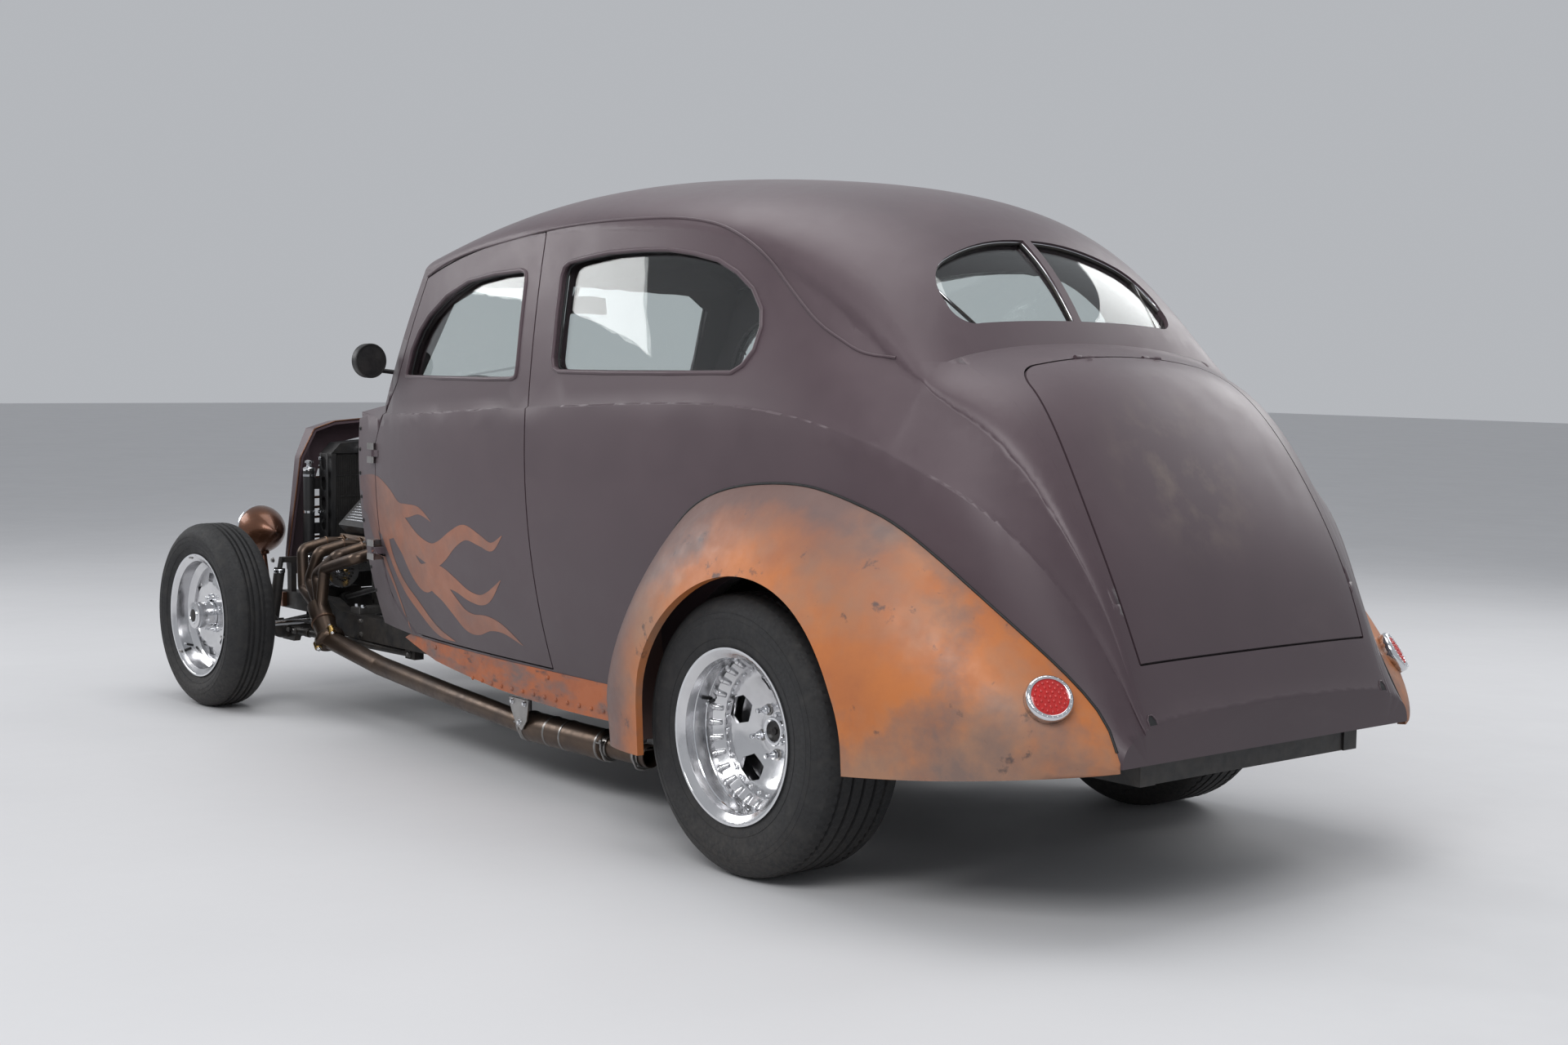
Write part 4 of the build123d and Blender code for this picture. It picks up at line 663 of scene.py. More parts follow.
    def pipe(
        self, points: list[Vector], radius: float, finish: Finish, sides: int = 14, bend: float = 0.0,
        closed: bool = False, flat: float = 1.0,
    ) -> "Shape":
        """Adds a round bar along a chain of points.

        Args:
            points: The chain.
            radius: Radius of the bar.
            finish: Its surface.
            sides: Sides of the bar.
            bend: Radius of the bends at the inner points.
            closed: Whether the chain closes on itself.
            flat: Height of the section over its width.

        Returns:
            This shape.
        """
        chain = round_chain(points, bend, closed) if bend else list(points)
        rings = []
        count = len(chain)
        normal = None
        for index, point in enumerate(chain):
            before = chain[index - 1] if (index or closed) else point
            after = chain[(index + 1) % count] if (index < count - 1 or closed) else point
            along = (after - before).normalized()
            if normal is None:
                normal = along.orthogonal().normalized()
                if abs(along.z) < 0.9:
                    normal = (Vector((0, 0, 1)) - along * along.z).normalized()
            normal = (normal - along * normal.dot(along)).normalized()
            other = along.cross(normal)
            rings.append([
                self.bm.verts.new(
                    point + normal * math.cos(math.tau * k / sides) * radius * flat
                    + other * math.sin(math.tau * k / sides) * radius
                )
                for k in range(sides)
            ])
        faces = []
        pairs = list(zip(rings, rings[1:])) + ([(rings[-1], rings[0])] if closed else [])
        for low, high in pairs:
            for k in range(sides):
                faces.append(self.bm.faces.new((low[k], low[(k + 1) % sides], high[(k + 1) % sides], high[k])))
        if not closed:
            faces.append(self.bm.faces.new(rings[0][::-1]))
            faces.append(self.bm.faces.new(rings[-1]))
        self.dress(faces, finish)
        return self

    def plate(
        self, outline: list[Vector], depth: Vector, finish: Finish, bevel: float = 0.0, segments: int = 1
    ) -> "Shape":
        """Adds a flat outline pushed along a direction.

        Args:
            outline: Corners in order.
            depth: The push.
            finish: Its surface.
            bevel: Rounding of the rims.
            segments: Segments of the rounding.

        Returns:
            This shape.
        """
        verts = [self.bm.verts.new(point) for point in outline]
        face = self.bm.faces.new(verts)
        made = bmesh.ops.extrude_face_region(self.bm, geom=[face])
        moved = [item for item in made["geom"] if isinstance(item, Vert)]
        bmesh.ops.translate(self.bm, verts=moved, vec=depth)
        both = verts + moved
        if bevel:
            rims = [
                edge for edge in {e for v in both for e in v.link_edges}
                if (edge.verts[0] in moved) == (edge.verts[1] in moved)
            ]
            result = bmesh.ops.bevel(
                self.bm, geom=rims, offset=bevel, affect="EDGES", segments=segments, profile=0.5, material=-1
            )
            both = list(result["verts"]) + [v for v in both if v.is_valid]
        self.dress(self._new_faces(both), finish)
        return self

    def bolt(self, foot: Vector, out: Vector, size: float, finish: Finish, washer: bool = True) -> "Shape":
        """Adds a hexagon bolt head with its washer.

        Args:
            foot: Where it sits.
            out: Direction it stands out.
            size: Width over the flats.
            finish: Its surface.
            washer: Whether it has a washer.

        Returns:
            This shape.
        """
        out = out.normalized()
        if washer:
            self.rod(foot, foot + out * size * 0.14, size * 0.72, finish, 16)
        self.rod(foot + out * size * 0.1, foot + out * size * 0.62, size * 0.57, finish, 6, size * 0.06)
        return self

    def done(
        self, body: str, slot: str, smooth: float = 35.0, replaces: tuple[str, ...] = (),
    ) -> bpy.types.Object:
        """Turns the mesh into a piece that rides on a body.

        Args:
            body: CAD body that it rides on.
            slot: The record's material slot; not used.
            smooth: Edges under this angle in degrees are shaded smooth.
            replaces: CAD nodes that this piece stands for.

        Returns:
            The object.
        """
        bmesh.ops.recalc_face_normals(self.bm, faces=self.bm.faces[:])
        bmesh.ops.scale(self.bm, vec=Vector((MM, MM, MM)), verts=self.bm.verts[:])
        mesh = bpy.data.meshes.new(self.name)
        self.bm.to_mesh(mesh)
        self.bm.free()
        for finish in self.finishes:
            mesh.materials.append(Paint.of(finish))
        mesh.shade_smooth()
        mesh.set_sharp_from_angle(angle=math.radians(smooth))
        piece = bpy.data.objects.new(self.name, mesh)
        bpy.context.scene.collection.objects.link(piece)
        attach(piece, body)
        if replaces:
            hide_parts(*replaces)
        log.info("%s: %d faces", self.name, len(mesh.polygons))
        return piece


def round_chain(points: list[Vector], bend: float, closed: bool = False) -> list[Vector]:
    """Rounds the inner corners of a chain of points.

    Args:
        points: The chain.
        bend: Radius of the bends.
        closed: Whether the chain closes on itself.

    Returns:
        The longer chain.
    """
    result = []
    count = len(points)
    for index, point in enumerate(points):
        if not closed and index in (0, count - 1):
            result.append(point)
            continue
        before = points[index - 1] - point
        after = points[(index + 1) % count] - point
        turn = before.angle(after, math.pi)
        if turn > math.pi - 0.02:
            result.append(point)
            continue
        cut = min(bend / math.tan(turn / 2), before.length * 0.45, after.length * 0.45)
        start = point + before.normalized() * cut
        end = point + after.normalized() * cut
        steps = max(3, int((math.pi - turn) / 0.22))
        for k in range(steps + 1):
            t = k / steps
            result.append(start * (1 - t) ** 2 + point * 2 * t * (1 - t) + end * t * t)
    return result


@dataclass(frozen=True)
class Zone:
    """Part of a node with a finish of its own.

    Attributes:
        finish: The surface.
        low: Lowest length, width from the middle and height in millimetres.
        high: Highest ones.
        round: Whether only the circle inside the box counts, seen from the side.
    """

    finish: Finish
    low: tuple[float, float, float]
    high: tuple[float, float, float]
    round: bool = False

    def holds(self, middle: Vector) -> bool:
        """Tells whether a face's middle, in metres, lies in the zone."""
        point = (middle.x / MM - REAR_AXLE_X, abs(middle.y) / MM, middle.z / MM)
        if not all(a <= v <= b for a, v, b in zip(self.low, point, self.high)):
            return False
        if not self.round:
            return True
        reach = 0.0
        for k in (0, 2):
            half = (self.high[k] - self.low[k]) / 2
            reach += ((point[k] - self.low[k] - half) / half) ** 2
        return reach <= 1.0


@dataclass(frozen=True)
class SkinJob:
    """How one CAD node is shown.

    Attributes:
        node: CAD node.
        outside: Surface of the outside.
        inside: Surface of faces that look at the heart, or None.
        smooth: Edges under this angle in degrees are shaded smooth.
        bevel: Width of the rounded edges in millimetres.
        zones: Parts with their own finish, the first that holds a face counts.
        heart: Where inner faces look, as length, width and height, or None for the cabin.
    """

    node: str
    outside: Finish
    inside: Finish | None = None
    smooth: float = 30.0
    bevel: float = 0.0
    zones: tuple[Zone, ...] = ()
    heart: tuple[float, float, float] | None = None


class Skins:
    """Smooth copies of CAD nodes that stand for them."""

    def __init__(self) -> None:
        """Starts with no copies."""
        self.meshes: dict[str, bpy.types.Mesh] = {}

    def show(self, job: SkinJob) -> bpy.types.Object:
        """Copies a CAD node, merges its triangles and shades it.

        Args:
            job: What to show and how.

        Returns:
            The copy.
        """
        source = frame["nodes"][job.node]
        mesh = source.data.copy()
        mesh.name = f"{job.node}_skin"
        finishes = [job.outside] + ([job.inside] if job.inside else [])
        finishes += [zone.finish for zone in job.zones if zone.finish not in finishes]
        bm = bmesh.new()
        bm.from_mesh(mesh)
        bmesh.ops.remove_doubles(bm, verts=bm.verts[:], dist=0.00002)
        bmesh.ops.dissolve_degenerate(bm, edges=bm.edges[:], dist=0.00001)
        for face in bm.faces:
            face.material_index = finishes.index(self._finish(job, face))
        bm.to_mesh(mesh)
        bm.free()
        mesh.materials.clear()
        for finish in finishes:
            mesh.materials.append(Paint.of(finish))
        mesh.shade_smooth()
        mesh.set_sharp_from_angle(angle=math.radians(job.smooth))
        piece = bpy.data.objects.new(f"{job.node}_skin", mesh)
        bpy.context.scene.collection.objects.link(piece)
        if job.bevel:
            bevel = piece.modifiers.new("edges", "BEVEL")
            bevel.width = job.bevel * MM
            bevel.segments = 2
            bevel.limit_method = "ANGLE"
            bevel.angle_limit = math.radians(40)
            bevel.harden_normals = False
        even = piece.modifiers.new("normals", "WEIGHTED_NORMAL")
        even.keep_sharp = True
        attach(piece, source["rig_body"])
        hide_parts(job.node)
        self.meshes[job.node] = mesh
        return piece

    @classmethod
    def _finish(cls, job: SkinJob, face: Face) -> Finish:
        """Chooses the finish of one face of a CAD copy."""
        middle = face.calc_center_median()
        for zone in job.zones:
            if zone.holds(middle):
                return zone.finish
        return job.inside if job.inside and cls._looks_in(job, face, middle) else job.outside

    @staticmethod
    def _looks_in(job: SkinJob, face: Face, middle: Vector) -> bool:
        """Tells whether a face looks into the cabin."""
        if job.heart is None:
            heart = Vector((min(max(middle.x, -1.25), 0.75), 0.0, 0.95))
        else:
            heart = place(*job.heart)
        return face.normal.dot(heart - middle) > 0.35 * (heart - middle).length

    def tree(self, nodes: tuple[str, ...]) -> BVHTree:
        """Makes one search tree over several copies.

        Args:
            nodes: Names of the CAD nodes.

        Returns:
            The tree, in metres.
        """
        verts, faces = [], []
        for node in nodes:
            mesh = self.meshes[node]
            base = len(verts)
            verts += [vert.co.copy() for vert in mesh.vertices]
            faces += [tuple(base + index for index in polygon.vertices) for polygon in mesh.polygons]
        return BVHTree.FromPolygons(verts, faces)


class SkinProbe:
    """Finds places on the outside of the body."""

    def __init__(self, tree: BVHTree) -> None:
        """Keeps the tree.

        Args:
            tree: Search tree of the body panels.
        """
        self.tree = tree

    def side(self, s: float, z: float, side: Side, out: float = 0.0) -> Vector | None:
        """Finds the skin from the side.

        Args:
            s: Millimetres forward of the rear axle.
            z: Height in millimetres.
            side: Side of the car.
            out: Distance outside the skin.

        Returns:
            The place in millimetres of the row frame, or None.
        """
        start = place(s, side.value * 1200, z)
        hit, normal, _, _ = self.tree.ray_cast(start, Vector((0, -side.value, 0)), 1.1)
        if hit is None:
            return None
        if normal.y * side.value < 0:
            normal = -normal
        return (hit + normal * out * MM) / MM

    def along(self, start: Vector, direction: Vector, out: float = 0.0) -> Vector | None:
        """Finds the skin along any line.

        Args:
            start: Start in millimetres.
            direction: Direction of the search.
            out: Distance outside the skin.

        Returns:
            The place in millimetres, or None.
        """
        hit, normal, _, _ = self.tree.ray_cast(start * MM, direction.normalized(), 3.0)
        if hit is None:
            return None
        if normal.dot(direction) > 0:
            normal = -normal
        return (hit + normal * out * MM) / MM


def smooth_chain(
    points: list[tuple[float, float]], steps: int = 6, closed: bool = False,
) -> list[tuple[float, float]]:
    """Runs a smooth curve through flat points.

    Args:
        points: Pairs of coordinates.
        steps: Steps between two points.
        closed: Whether the curve closes.

    Returns:
        The denser pairs.
    """
    count = len(points)
    result = []
    for index in range(count if closed else count - 1):
        p0 = points[(index - 1) % count] if (closed or index) else points[0]
        p1 = points[index]
        p2 = points[(index + 1) % count]
        p3 = points[(index + 2) % count] if (closed or index + 2 < count) else points[-1]
        for k in range(steps):
            t = k / steps
            result.append(tuple(
                0.5 * (2 * b + (c - a) * t + (2 * a - 5 * b + 4 * c - d) * t * t + (3 * b - a - 3 * c + d) * t ** 3)
                for a, b, c, d in zip(p0, p1, p2, p3)
            ))
    if not closed:
        result.append(points[-1])
    return result


@dataclass(frozen=True)
class Lick:
    """One tongue of the painted flames.

    Attributes:
        spine: Middle line as pairs of length and height.
        widths: Width at each point of the spine.
    """

    spine: tuple[tuple[float, float], ...]
    widths: tuple[float, ...]


class Flames:
    """Painted flames on the cowl and the doors."""

    LICKS = (
        Lick(
            (
                (2190, 800), (2090, 790), (1990, 780), (1890, 770), (1810, 742), (1740, 742), (1650, 748),
                (1570, 722),
            ),
            (40, 84, 96, 60, 44, 40, 22, 2),
        ),
        Lick(
            (
                (2170, 740), (2060, 735), (1950, 715), (1850, 705), (1760, 672), (1680, 640), (1590, 622),
                (1520, 640), (1440, 680), (1360, 706), (1280, 690), (1215, 676), (1150, 712),
            ),
            (50, 130, 150, 110, 84, 72, 70, 62, 50, 44, 34, 24, 2),
        ),
        Lick(
            (
                (1850, 690), (1790, 640), (1745, 580), (1690, 545), (1620, 556), (1540, 560), (1470, 546),
                (1400, 522), (1330, 514), (1270, 532), (1190, 584),
            ),
            (110, 100, 92, 88, 78, 64, 44, 34, 30, 26, 2),
        ),
        Lick(
            (
                (1680, 556), (1620, 545), (1560, 520), (1500, 478), (1450, 444), (1390, 436), (1310, 448),
                (1230, 440), (1140, 404),
            ),
            (40, 78, 76, 70, 70, 62, 44, 26, 2),
        ),
        Lick(
            (
                (2010, 720), (1965, 650), (1930, 590), (1890, 535), (1840, 490), (1770, 448), (1700, 402),
                (1640, 378), (1560, 366),
            ),
            (60, 62, 36, 34, 38, 40, 34, 24, 2),
        ),
        Lick(
            ((2120, 730), (2070, 650), (2025, 590), (1985, 540), (1950, 490), (1925, 430), (1900, 350)),
            (60, 64, 40, 26, 18, 12, 2),
        ),
    )
    CELL = 24.0

    def __init__(self, probe: SkinProbe) -> None:
        """Keeps the probe.

        Args:
            probe: Finds the skin.
        """
        self.probe = probe

    def _outline(self, lick: Lick) -> list[tuple[float, float]]:
        """Smooths the outline of one flame tongue."""
        spine = smooth_chain(list(lick.spine), 5)
        widths = [w[0] for w in smooth_chain([(w, 0.0) for w in lick.widths], 5)]
        upper, lower = [], []
        for index, (s, z) in enumerate(spine):
            before = spine[max(index - 1, 0)]
            after = spine[min(index + 1, len(spine) - 1)]
            ds, dz = after[0] - before[0], after[1] - before[1]
            length = math.hypot(ds, dz) or 1.0
            half = max(widths[index], 1.5) / 2
            upper.append((s - dz / length * half, z + ds / length * half))
            lower.append((s + dz / length * half, z - ds / length * half))
        return upper + lower[::-1]

    def build(self) -> None:
        """Lays every lick on the skin of both sides."""
        for side in Side:
            for word, body, low, high in (
                ("door", f"door_{side.word}", 0.0, 2019.5), ("cowl", "chassis", 2025.5, 2197.0)
            ):
                shape = Shape(f"flames_{word}_{side.word}")
                for index, lick in enumerate(self.LICKS):
                    self._lay(shape, lick, side, low, high, 0.5 + 0.06 * index)
                if shape.bm.faces:
                    shape.done(body, "body_paint", 60.0)

    def _lay(self, shape: Shape, lick: Lick, side: Side, low: float, high: float, out: float) -> None:
        """Lays a flat pattern on a skin."""
        work = bmesh.new()
        outline = self._outline(lick)
        count = len(outline) // 2
        upper = [work.verts.new((s, 0, z)) for s, z in outline[:count]]
        lower = [work.verts.new((s, 0, z)) for s, z in outline[count:][::-1]]
        for k in range(count - 1):
            work.faces.new((upper[k], upper[k + 1], lower[k + 1], lower[k]))
        for value, keep in ((low, 1), (high, -1)):
            bmesh.ops.bisect_plane(
                work, geom=work.verts[:] + work.edges[:] + work.faces[:], plane_co=(value, 0, 0),
                plane_no=(-keep, 0, 0), clear_outer=True,
            )
        cells = [k * self.CELL for k in range(12, 40)]
        for value in cells:
            bmesh.ops.bisect_plane(
                work, geom=work.verts[:] + work.edges[:] + work.faces[:], plane_co=(0, 0, value),
                plane_no=(0, 0, 1),
            )
        index = shape._slot(Surfaces.FLAME)
        made = {}
        for vert in work.verts:
            point = self.probe.side(vert.co.x, vert.co.z, side, out)
            made[vert] = None if point is None else shape.bm.verts.new(point)
        for face in work.faces:
            verts = [made[vert] for vert in face.verts]
            if None in verts:
                continue
            new = shape.bm.faces.new(verts)
            new.material_index = index
        work.free()


class Body:
    """Panels, glass and the trim that lies on them."""

    PANELS = (
        SkinJob("roof", Surfaces.BODY, Surfaces.CLOTH),
        SkinJob("cowl", Surfaces.BODY, Surfaces.BLACK),
        SkinJob("quarter_panels", Surfaces.BODY, Surfaces.LEATHER),
        SkinJob("deck_panel", Surfaces.BODY, Surfaces.CLOTH),
        SkinJob("roll_pan", Surfaces.BODY, Surfaces.BLACK),
        SkinJob("trunk_lid", Surfaces.BODY, Surfaces.BLACK),
        SkinJob("door_left", Surfaces.BODY, Surfaces.LEATHER),
        SkinJob("door_right", Surfaces.BODY, Surfaces.LEATHER),
        SkinJob("rear_fenders", Surfaces.RUST, Surfaces.BLACK, 35.0, heart=(0.0, 0.0, 340.0)),
        SkinJob("sill_panels", Surfaces.SILL),
        SkinJob("door_glass_left", Surfaces.GLASS),
        SkinJob("door_glass_right", Surfaces.GLASS),
        SkinJob("quarter_glass", Surfaces.GLASS),
        SkinJob("rear_glass", Surfaces.GLASS),
        SkinJob("windshield_glass", Surfaces.GLASS),
        SkinJob("floor", Surfaces.BLACK, Surfaces.CLOTH),
        SkinJob("firewall", Surfaces.DARK),
        SkinJob("parcel_shelf", Surfaces.CLOTH),
        SkinJob("dashboard", Surfaces.BODY, bevel=4.0),
    )
    DOOR_WINDOW = (
        (1778, 1140), (1500, 1142), (1250, 1144), (1110, 1146), (1084, 1152), (1080, 1180), (1080, 1300),
        (1080, 1405), (1086, 1432), (1110, 1438), (1250, 1431), (1400, 1414), (1530, 1377), (1640, 1322),
        (1700, 1277), (1748, 1220),
    )
    QUARTER_WINDOW = (
        (172, 1176), (400, 1173), (650, 1170), (866, 1169), (892, 1178), (900, 1202), (900, 1320),
        (900, 1418), (892, 1443), (868, 1455), (780, 1466), (700, 1474), (580, 1477), (470, 1475),
        (380, 1464), (290, 1446), (220, 1415), (160, 1375), (118, 1325), (106, 1285), (112, 1230),
        (138, 1194),
    )
    ROOF_SEAM = (
        (1692, 1430), (1570, 1465), (1393, 1495), (1189, 1520), (1002, 1538), (887, 1546), (743, 1552),
        (611, 1553), (488, 1551), (390, 1542), (311, 1527), (242, 1503), (173, 1468), (115, 1426), (42, 1363),
        (-47, 1292), (-123, 1249), (-189, 1219), (-264, 1209),
    )

    def __init__(self) -> None:
        """Makes the copies and the probe."""
        self.skins = Skins()
        self.pieces = {job.node: self.skins.show(job) for job in self.PANELS}
        self.probe = SkinProbe(self.skins.tree((
            "roof", "cowl", "quarter_panels", "deck_panel", "roll_pan", "trunk_lid", "door_left", "door_right",
        )))

    def build(self) -> None:
        """Adds everything that lies on the panels."""
        Flames(self.probe).build()
        for side in Side:
            self._window_trim(side, "door", self.DOOR_WINDOW, f"door_{side.word}")
            self._window_trim(side, "quarter", self.QUARTER_WINDOW, "chassis")
        self._roof_seam()

    def _window_trim(self, side: Side, word: str, outline: tuple, body: str) -> None:
        """Adds the rubber and a body-coloured bead round one opening."""
        middle_s = sum(p[0] for p in outline) / len(outline)
        middle_z = sum(p[1] for p in outline) / len(outline)
        skin_line, inner_line = [], []
        for s, z in outline:
            ds, dz = s - middle_s, z - middle_z
            length = math.hypot(ds, dz)
            point = None
            for grow in (6, 10, 16, 24):
                point = self.probe.side(s + ds / length * grow, z + dz / length * grow, side)
                if point is not None:
                    break
            if point is None:
                continue
            edge = Vector((REAR_AXLE_X + s + ds / length * 3, point.y, z + dz / length * 3))
            skin_line.append(edge + Vector((0, side.value * -1.0, 0)))
            inner = Vector((REAR_AXLE_X + s - ds / length * 1.0, point.y - side.value * 17, z - dz / length * 1.0))
            inner_line.append(inner)
        shape = Shape(f"{word}_window_trim_{side.word}")
        shape.pipe(skin_line, 6.5, Surfaces.BODY, 10, 12, True)
        shape.pipe(inner_line, 4.0, Surfaces.RUBBER, 8, 12, True)
        shape.done(body, "body_paint", 60.0)

    def _roof_seam(self) -> None:
        """Adds the seam along the roof."""
        shape = Shape("roof_seam")
        for side in Side:
            line = []
            for s, z in smooth_chain(list(self.ROOF_SEAM), 4):
                point = self.probe.side(s, z + 7, side, 0.2)
                if point is not None:
                    line.append(point)
            shape.pipe(line, 4.0, Surfaces.BODY, 8)
        shape.done("chassis", "body_paint", 60.0)


class Parts:
    """Every CAD node apart from the body, shown with its own finishes."""

    JOBS = (
        SkinJob("grille_shell", Surfaces.BODY, Surfaces.BRONZE, 35.0, 1.5, heart=(2900.0, 0.0, 560.0)),
        SkinJob("grille_bars", Surfaces.COPPER, smooth=35.0, bevel=1.2),
        SkinJob("radiator", Surfaces.BLACK, bevel=1.5, zones=(
            Zone(Surfaces.CHROME, (3036, 267, 470), (3086, 318, 800)),
            Zone(Surfaces.CORE, (3000, 0, 380), (3066, 225, 845)),
        )),
        SkinJob("headlamps", Surfaces.COPPER, smooth=35.0, zones=(
            Zone(Surfaces.LENS, (3213.5, 330, 490), (3240, 490, 655)),
            Zone(Surfaces.CHROME, (3195, 310, 480), (3240, 510, 665)),
            Zone(Surfaces.BLACK, (3020, 300, 250), (3200, 500, 484)),
        )),
        SkinJob("tail_lamps", Surfaces.CHROME, smooth=35.0),
        SkinJob("side_mirrors", Surfaces.BLACK, smooth=35.0, bevel=2.0, zones=(
            Zone(Surfaces.MIRROR, (1925, 600, 1100), (1933, 760, 1260)),
        )),
        SkinJob("rear_view_mirror", Surfaces.BLACK, bevel=3.0, zones=(
            Zone(Surfaces.MIRROR, (1790, 0, 1330), (1796, 120, 1410)),
        )),
        SkinJob("door_hinges", Surfaces.BRUSHED, smooth=35.0, bevel=0.8),
        SkinJob("frame_rails", Surfaces.BLACK, bevel=2.0, zones=(
            Zone(Surfaces.STEEL, (1950, 300, 230), (3100, 400, 372)),
        )),
        SkinJob("frame_crossmembers", Surfaces.BLACK, smooth=35.0, bevel=1.5, zones=(
            Zone(Surfaces.STEEL, (2925, 0, 240), (3000, 400, 372)),
        )),
        SkinJob("front_axle", Surfaces.BLACK, smooth=40.0, bevel=1.0),
        SkinJob("front_spring", Surfaces.DARK, smooth=40.0, bevel=0.8, zones=(
            Zone(Surfaces.CHROME, (2980, 410, 300), (3040, 480, 460)),
        )),
        SkinJob("knuckle_left", Surfaces.DARK, smooth=40.0, bevel=1.0),
        SkinJob("knuckle_right", Surfaces.DARK, smooth=40.0, bevel=1.0),
        SkinJob("tie_rod", Surfaces.CHROME, smooth=40.0),
        SkinJob("drag_link", Surfaces.CHROME, smooth=40.0),
        SkinJob("pitman_arm", Surfaces.DARK, smooth=40.0, bevel=0.8),
        SkinJob("steering_column", Surfaces.BLACK, smooth=40.0, bevel=1.0, zones=(
            Zone(Surfaces.BRUSHED, (2232, 200, 340), (2840, 400, 720)),
        )),
        SkinJob("steering_wheel", Surfaces.RUBBER, smooth=50.0),
        SkinJob("rear_axle", Surfaces.BLACK, smooth=40.0, bevel=1.0, zones=(
            Zone(Surfaces.BRUSHED, (150, 0, 200), (1600, 60, 500)),
        )),
        SkinJob("rear_springs", Surfaces.DARK, smooth=40.0, bevel=0.8),
        SkinJob("gearbox", Surfaces.CAST, smooth=40.0, bevel=1.5),
        SkinJob("engine_block", Surfaces.CAST, smooth=40.0, bevel=2.0, zones=(
            Zone(Surfaces.DARK, (2340, 0, 200), (2870, 200, 322)),
        )),
        SkinJob("valve_covers", Surfaces.BLACK, smooth=40.0, bevel=6.0),
        SkinJob("intake_manifold", Surfaces.POLISHED, smooth=40.0, bevel=4.0, zones=(
            Zone(Surfaces.CAST, (2380, 0, 560), (2820, 140, 694)),
        )),
        SkinJob("air_cleaner", Surfaces.CREAM, smooth=40.0, bevel=1.5),
        SkinJob("engine_drive", Surfaces.CHROME, smooth=40.0, bevel=1.0, zones=(
            Zone(Surfaces.BLACK, (2926, 0, 380), (2960, 180, 740)),
        )),
        SkinJob("exhaust", Surfaces.PIPE, smooth=45.0, zones=(
            Zone(Surfaces.GOLD, (2560, 380, 120), (2600, 560, 330)),
            Zone(Surfaces.BRONZE, (2300, 200, 200), (2950, 640, 640)),
            Zone(Surfaces.STEEL, (850, 440, 90), (1250, 640, 220)),
        )),
        SkinJob("front_wheel_left", Surfaces.POLISHED, smooth=35.0, bevel=0.8),
        SkinJob("front_wheel_right", Surfaces.POLISHED, smooth=35.0, bevel=0.8),
        SkinJob("rear_wheel_left", Surfaces.POLISHED, smooth=35.0, bevel=0.8, zones=(
            Zone(Surfaces.CAST, (-150, 585, 184), (150, 657, 484), True),
            Zone(Surfaces.DARK, (-18.5, 540, 315), (18.5, 663, 353), True),
        )),
        SkinJob("rear_wheel_right", Surfaces.POLISHED, smooth=35.0, bevel=0.8, zones=(
            Zone(Surfaces.CAST, (-150, 585, 184), (150, 657, 484), True),
            Zone(Surfaces.DARK, (-18.5, 540, 315), (18.5, 663, 353), True),
        )),
    )

    def __init__(self, skins: Skins) -> None:
        """Keeps the copies.

        Args:
            skins: Where the copies are kept.
        """
        self.skins = skins

    def build(self) -> None:
        """Shows every node."""
        for job in self.JOBS:
            self.skins.show(job)


@dataclass
class WheelPlan:
    """Sizes of one pair of wheels and tyres, in millimetres.

    Attributes:
        word: Front or rear.
        s: Distance of the axle forward of the rear axle.
        z: Height of the axle.
        tyre: Tyre section as pairs of radius and width from the middle of the car.
        tread_low: Inner side of the tread.
        tread_high: Outer side of the tread.
        tread_radius: Radius of the tread.
        grooves: Places of the tread grooves across the tyre.
        blocks: Shoulder blocks round the tyre.
    """

    word: str
    s: float
    z: float
    tyre: list[tuple[float, float]]
    tread_low: float
    tread_high: float
    tread_radius: float
    grooves: tuple[float, ...]
    blocks: int

    def section(self) -> list[tuple[float, float]]:
        """Returns the full section with its tread grooves."""
        points = list(self.tyre)
        ring = []
        for middle in self.grooves:
            ring += [
                (self.tread_radius, middle - 5.0), (self.tread_radius - 7.0, middle - 3.2),
                (self.tread_radius - 7.0, middle + 3.2), (self.tread_radius, middle + 5.0),
            ]
        return points[: len(points) // 2] + ring + points[len(points) // 2:]


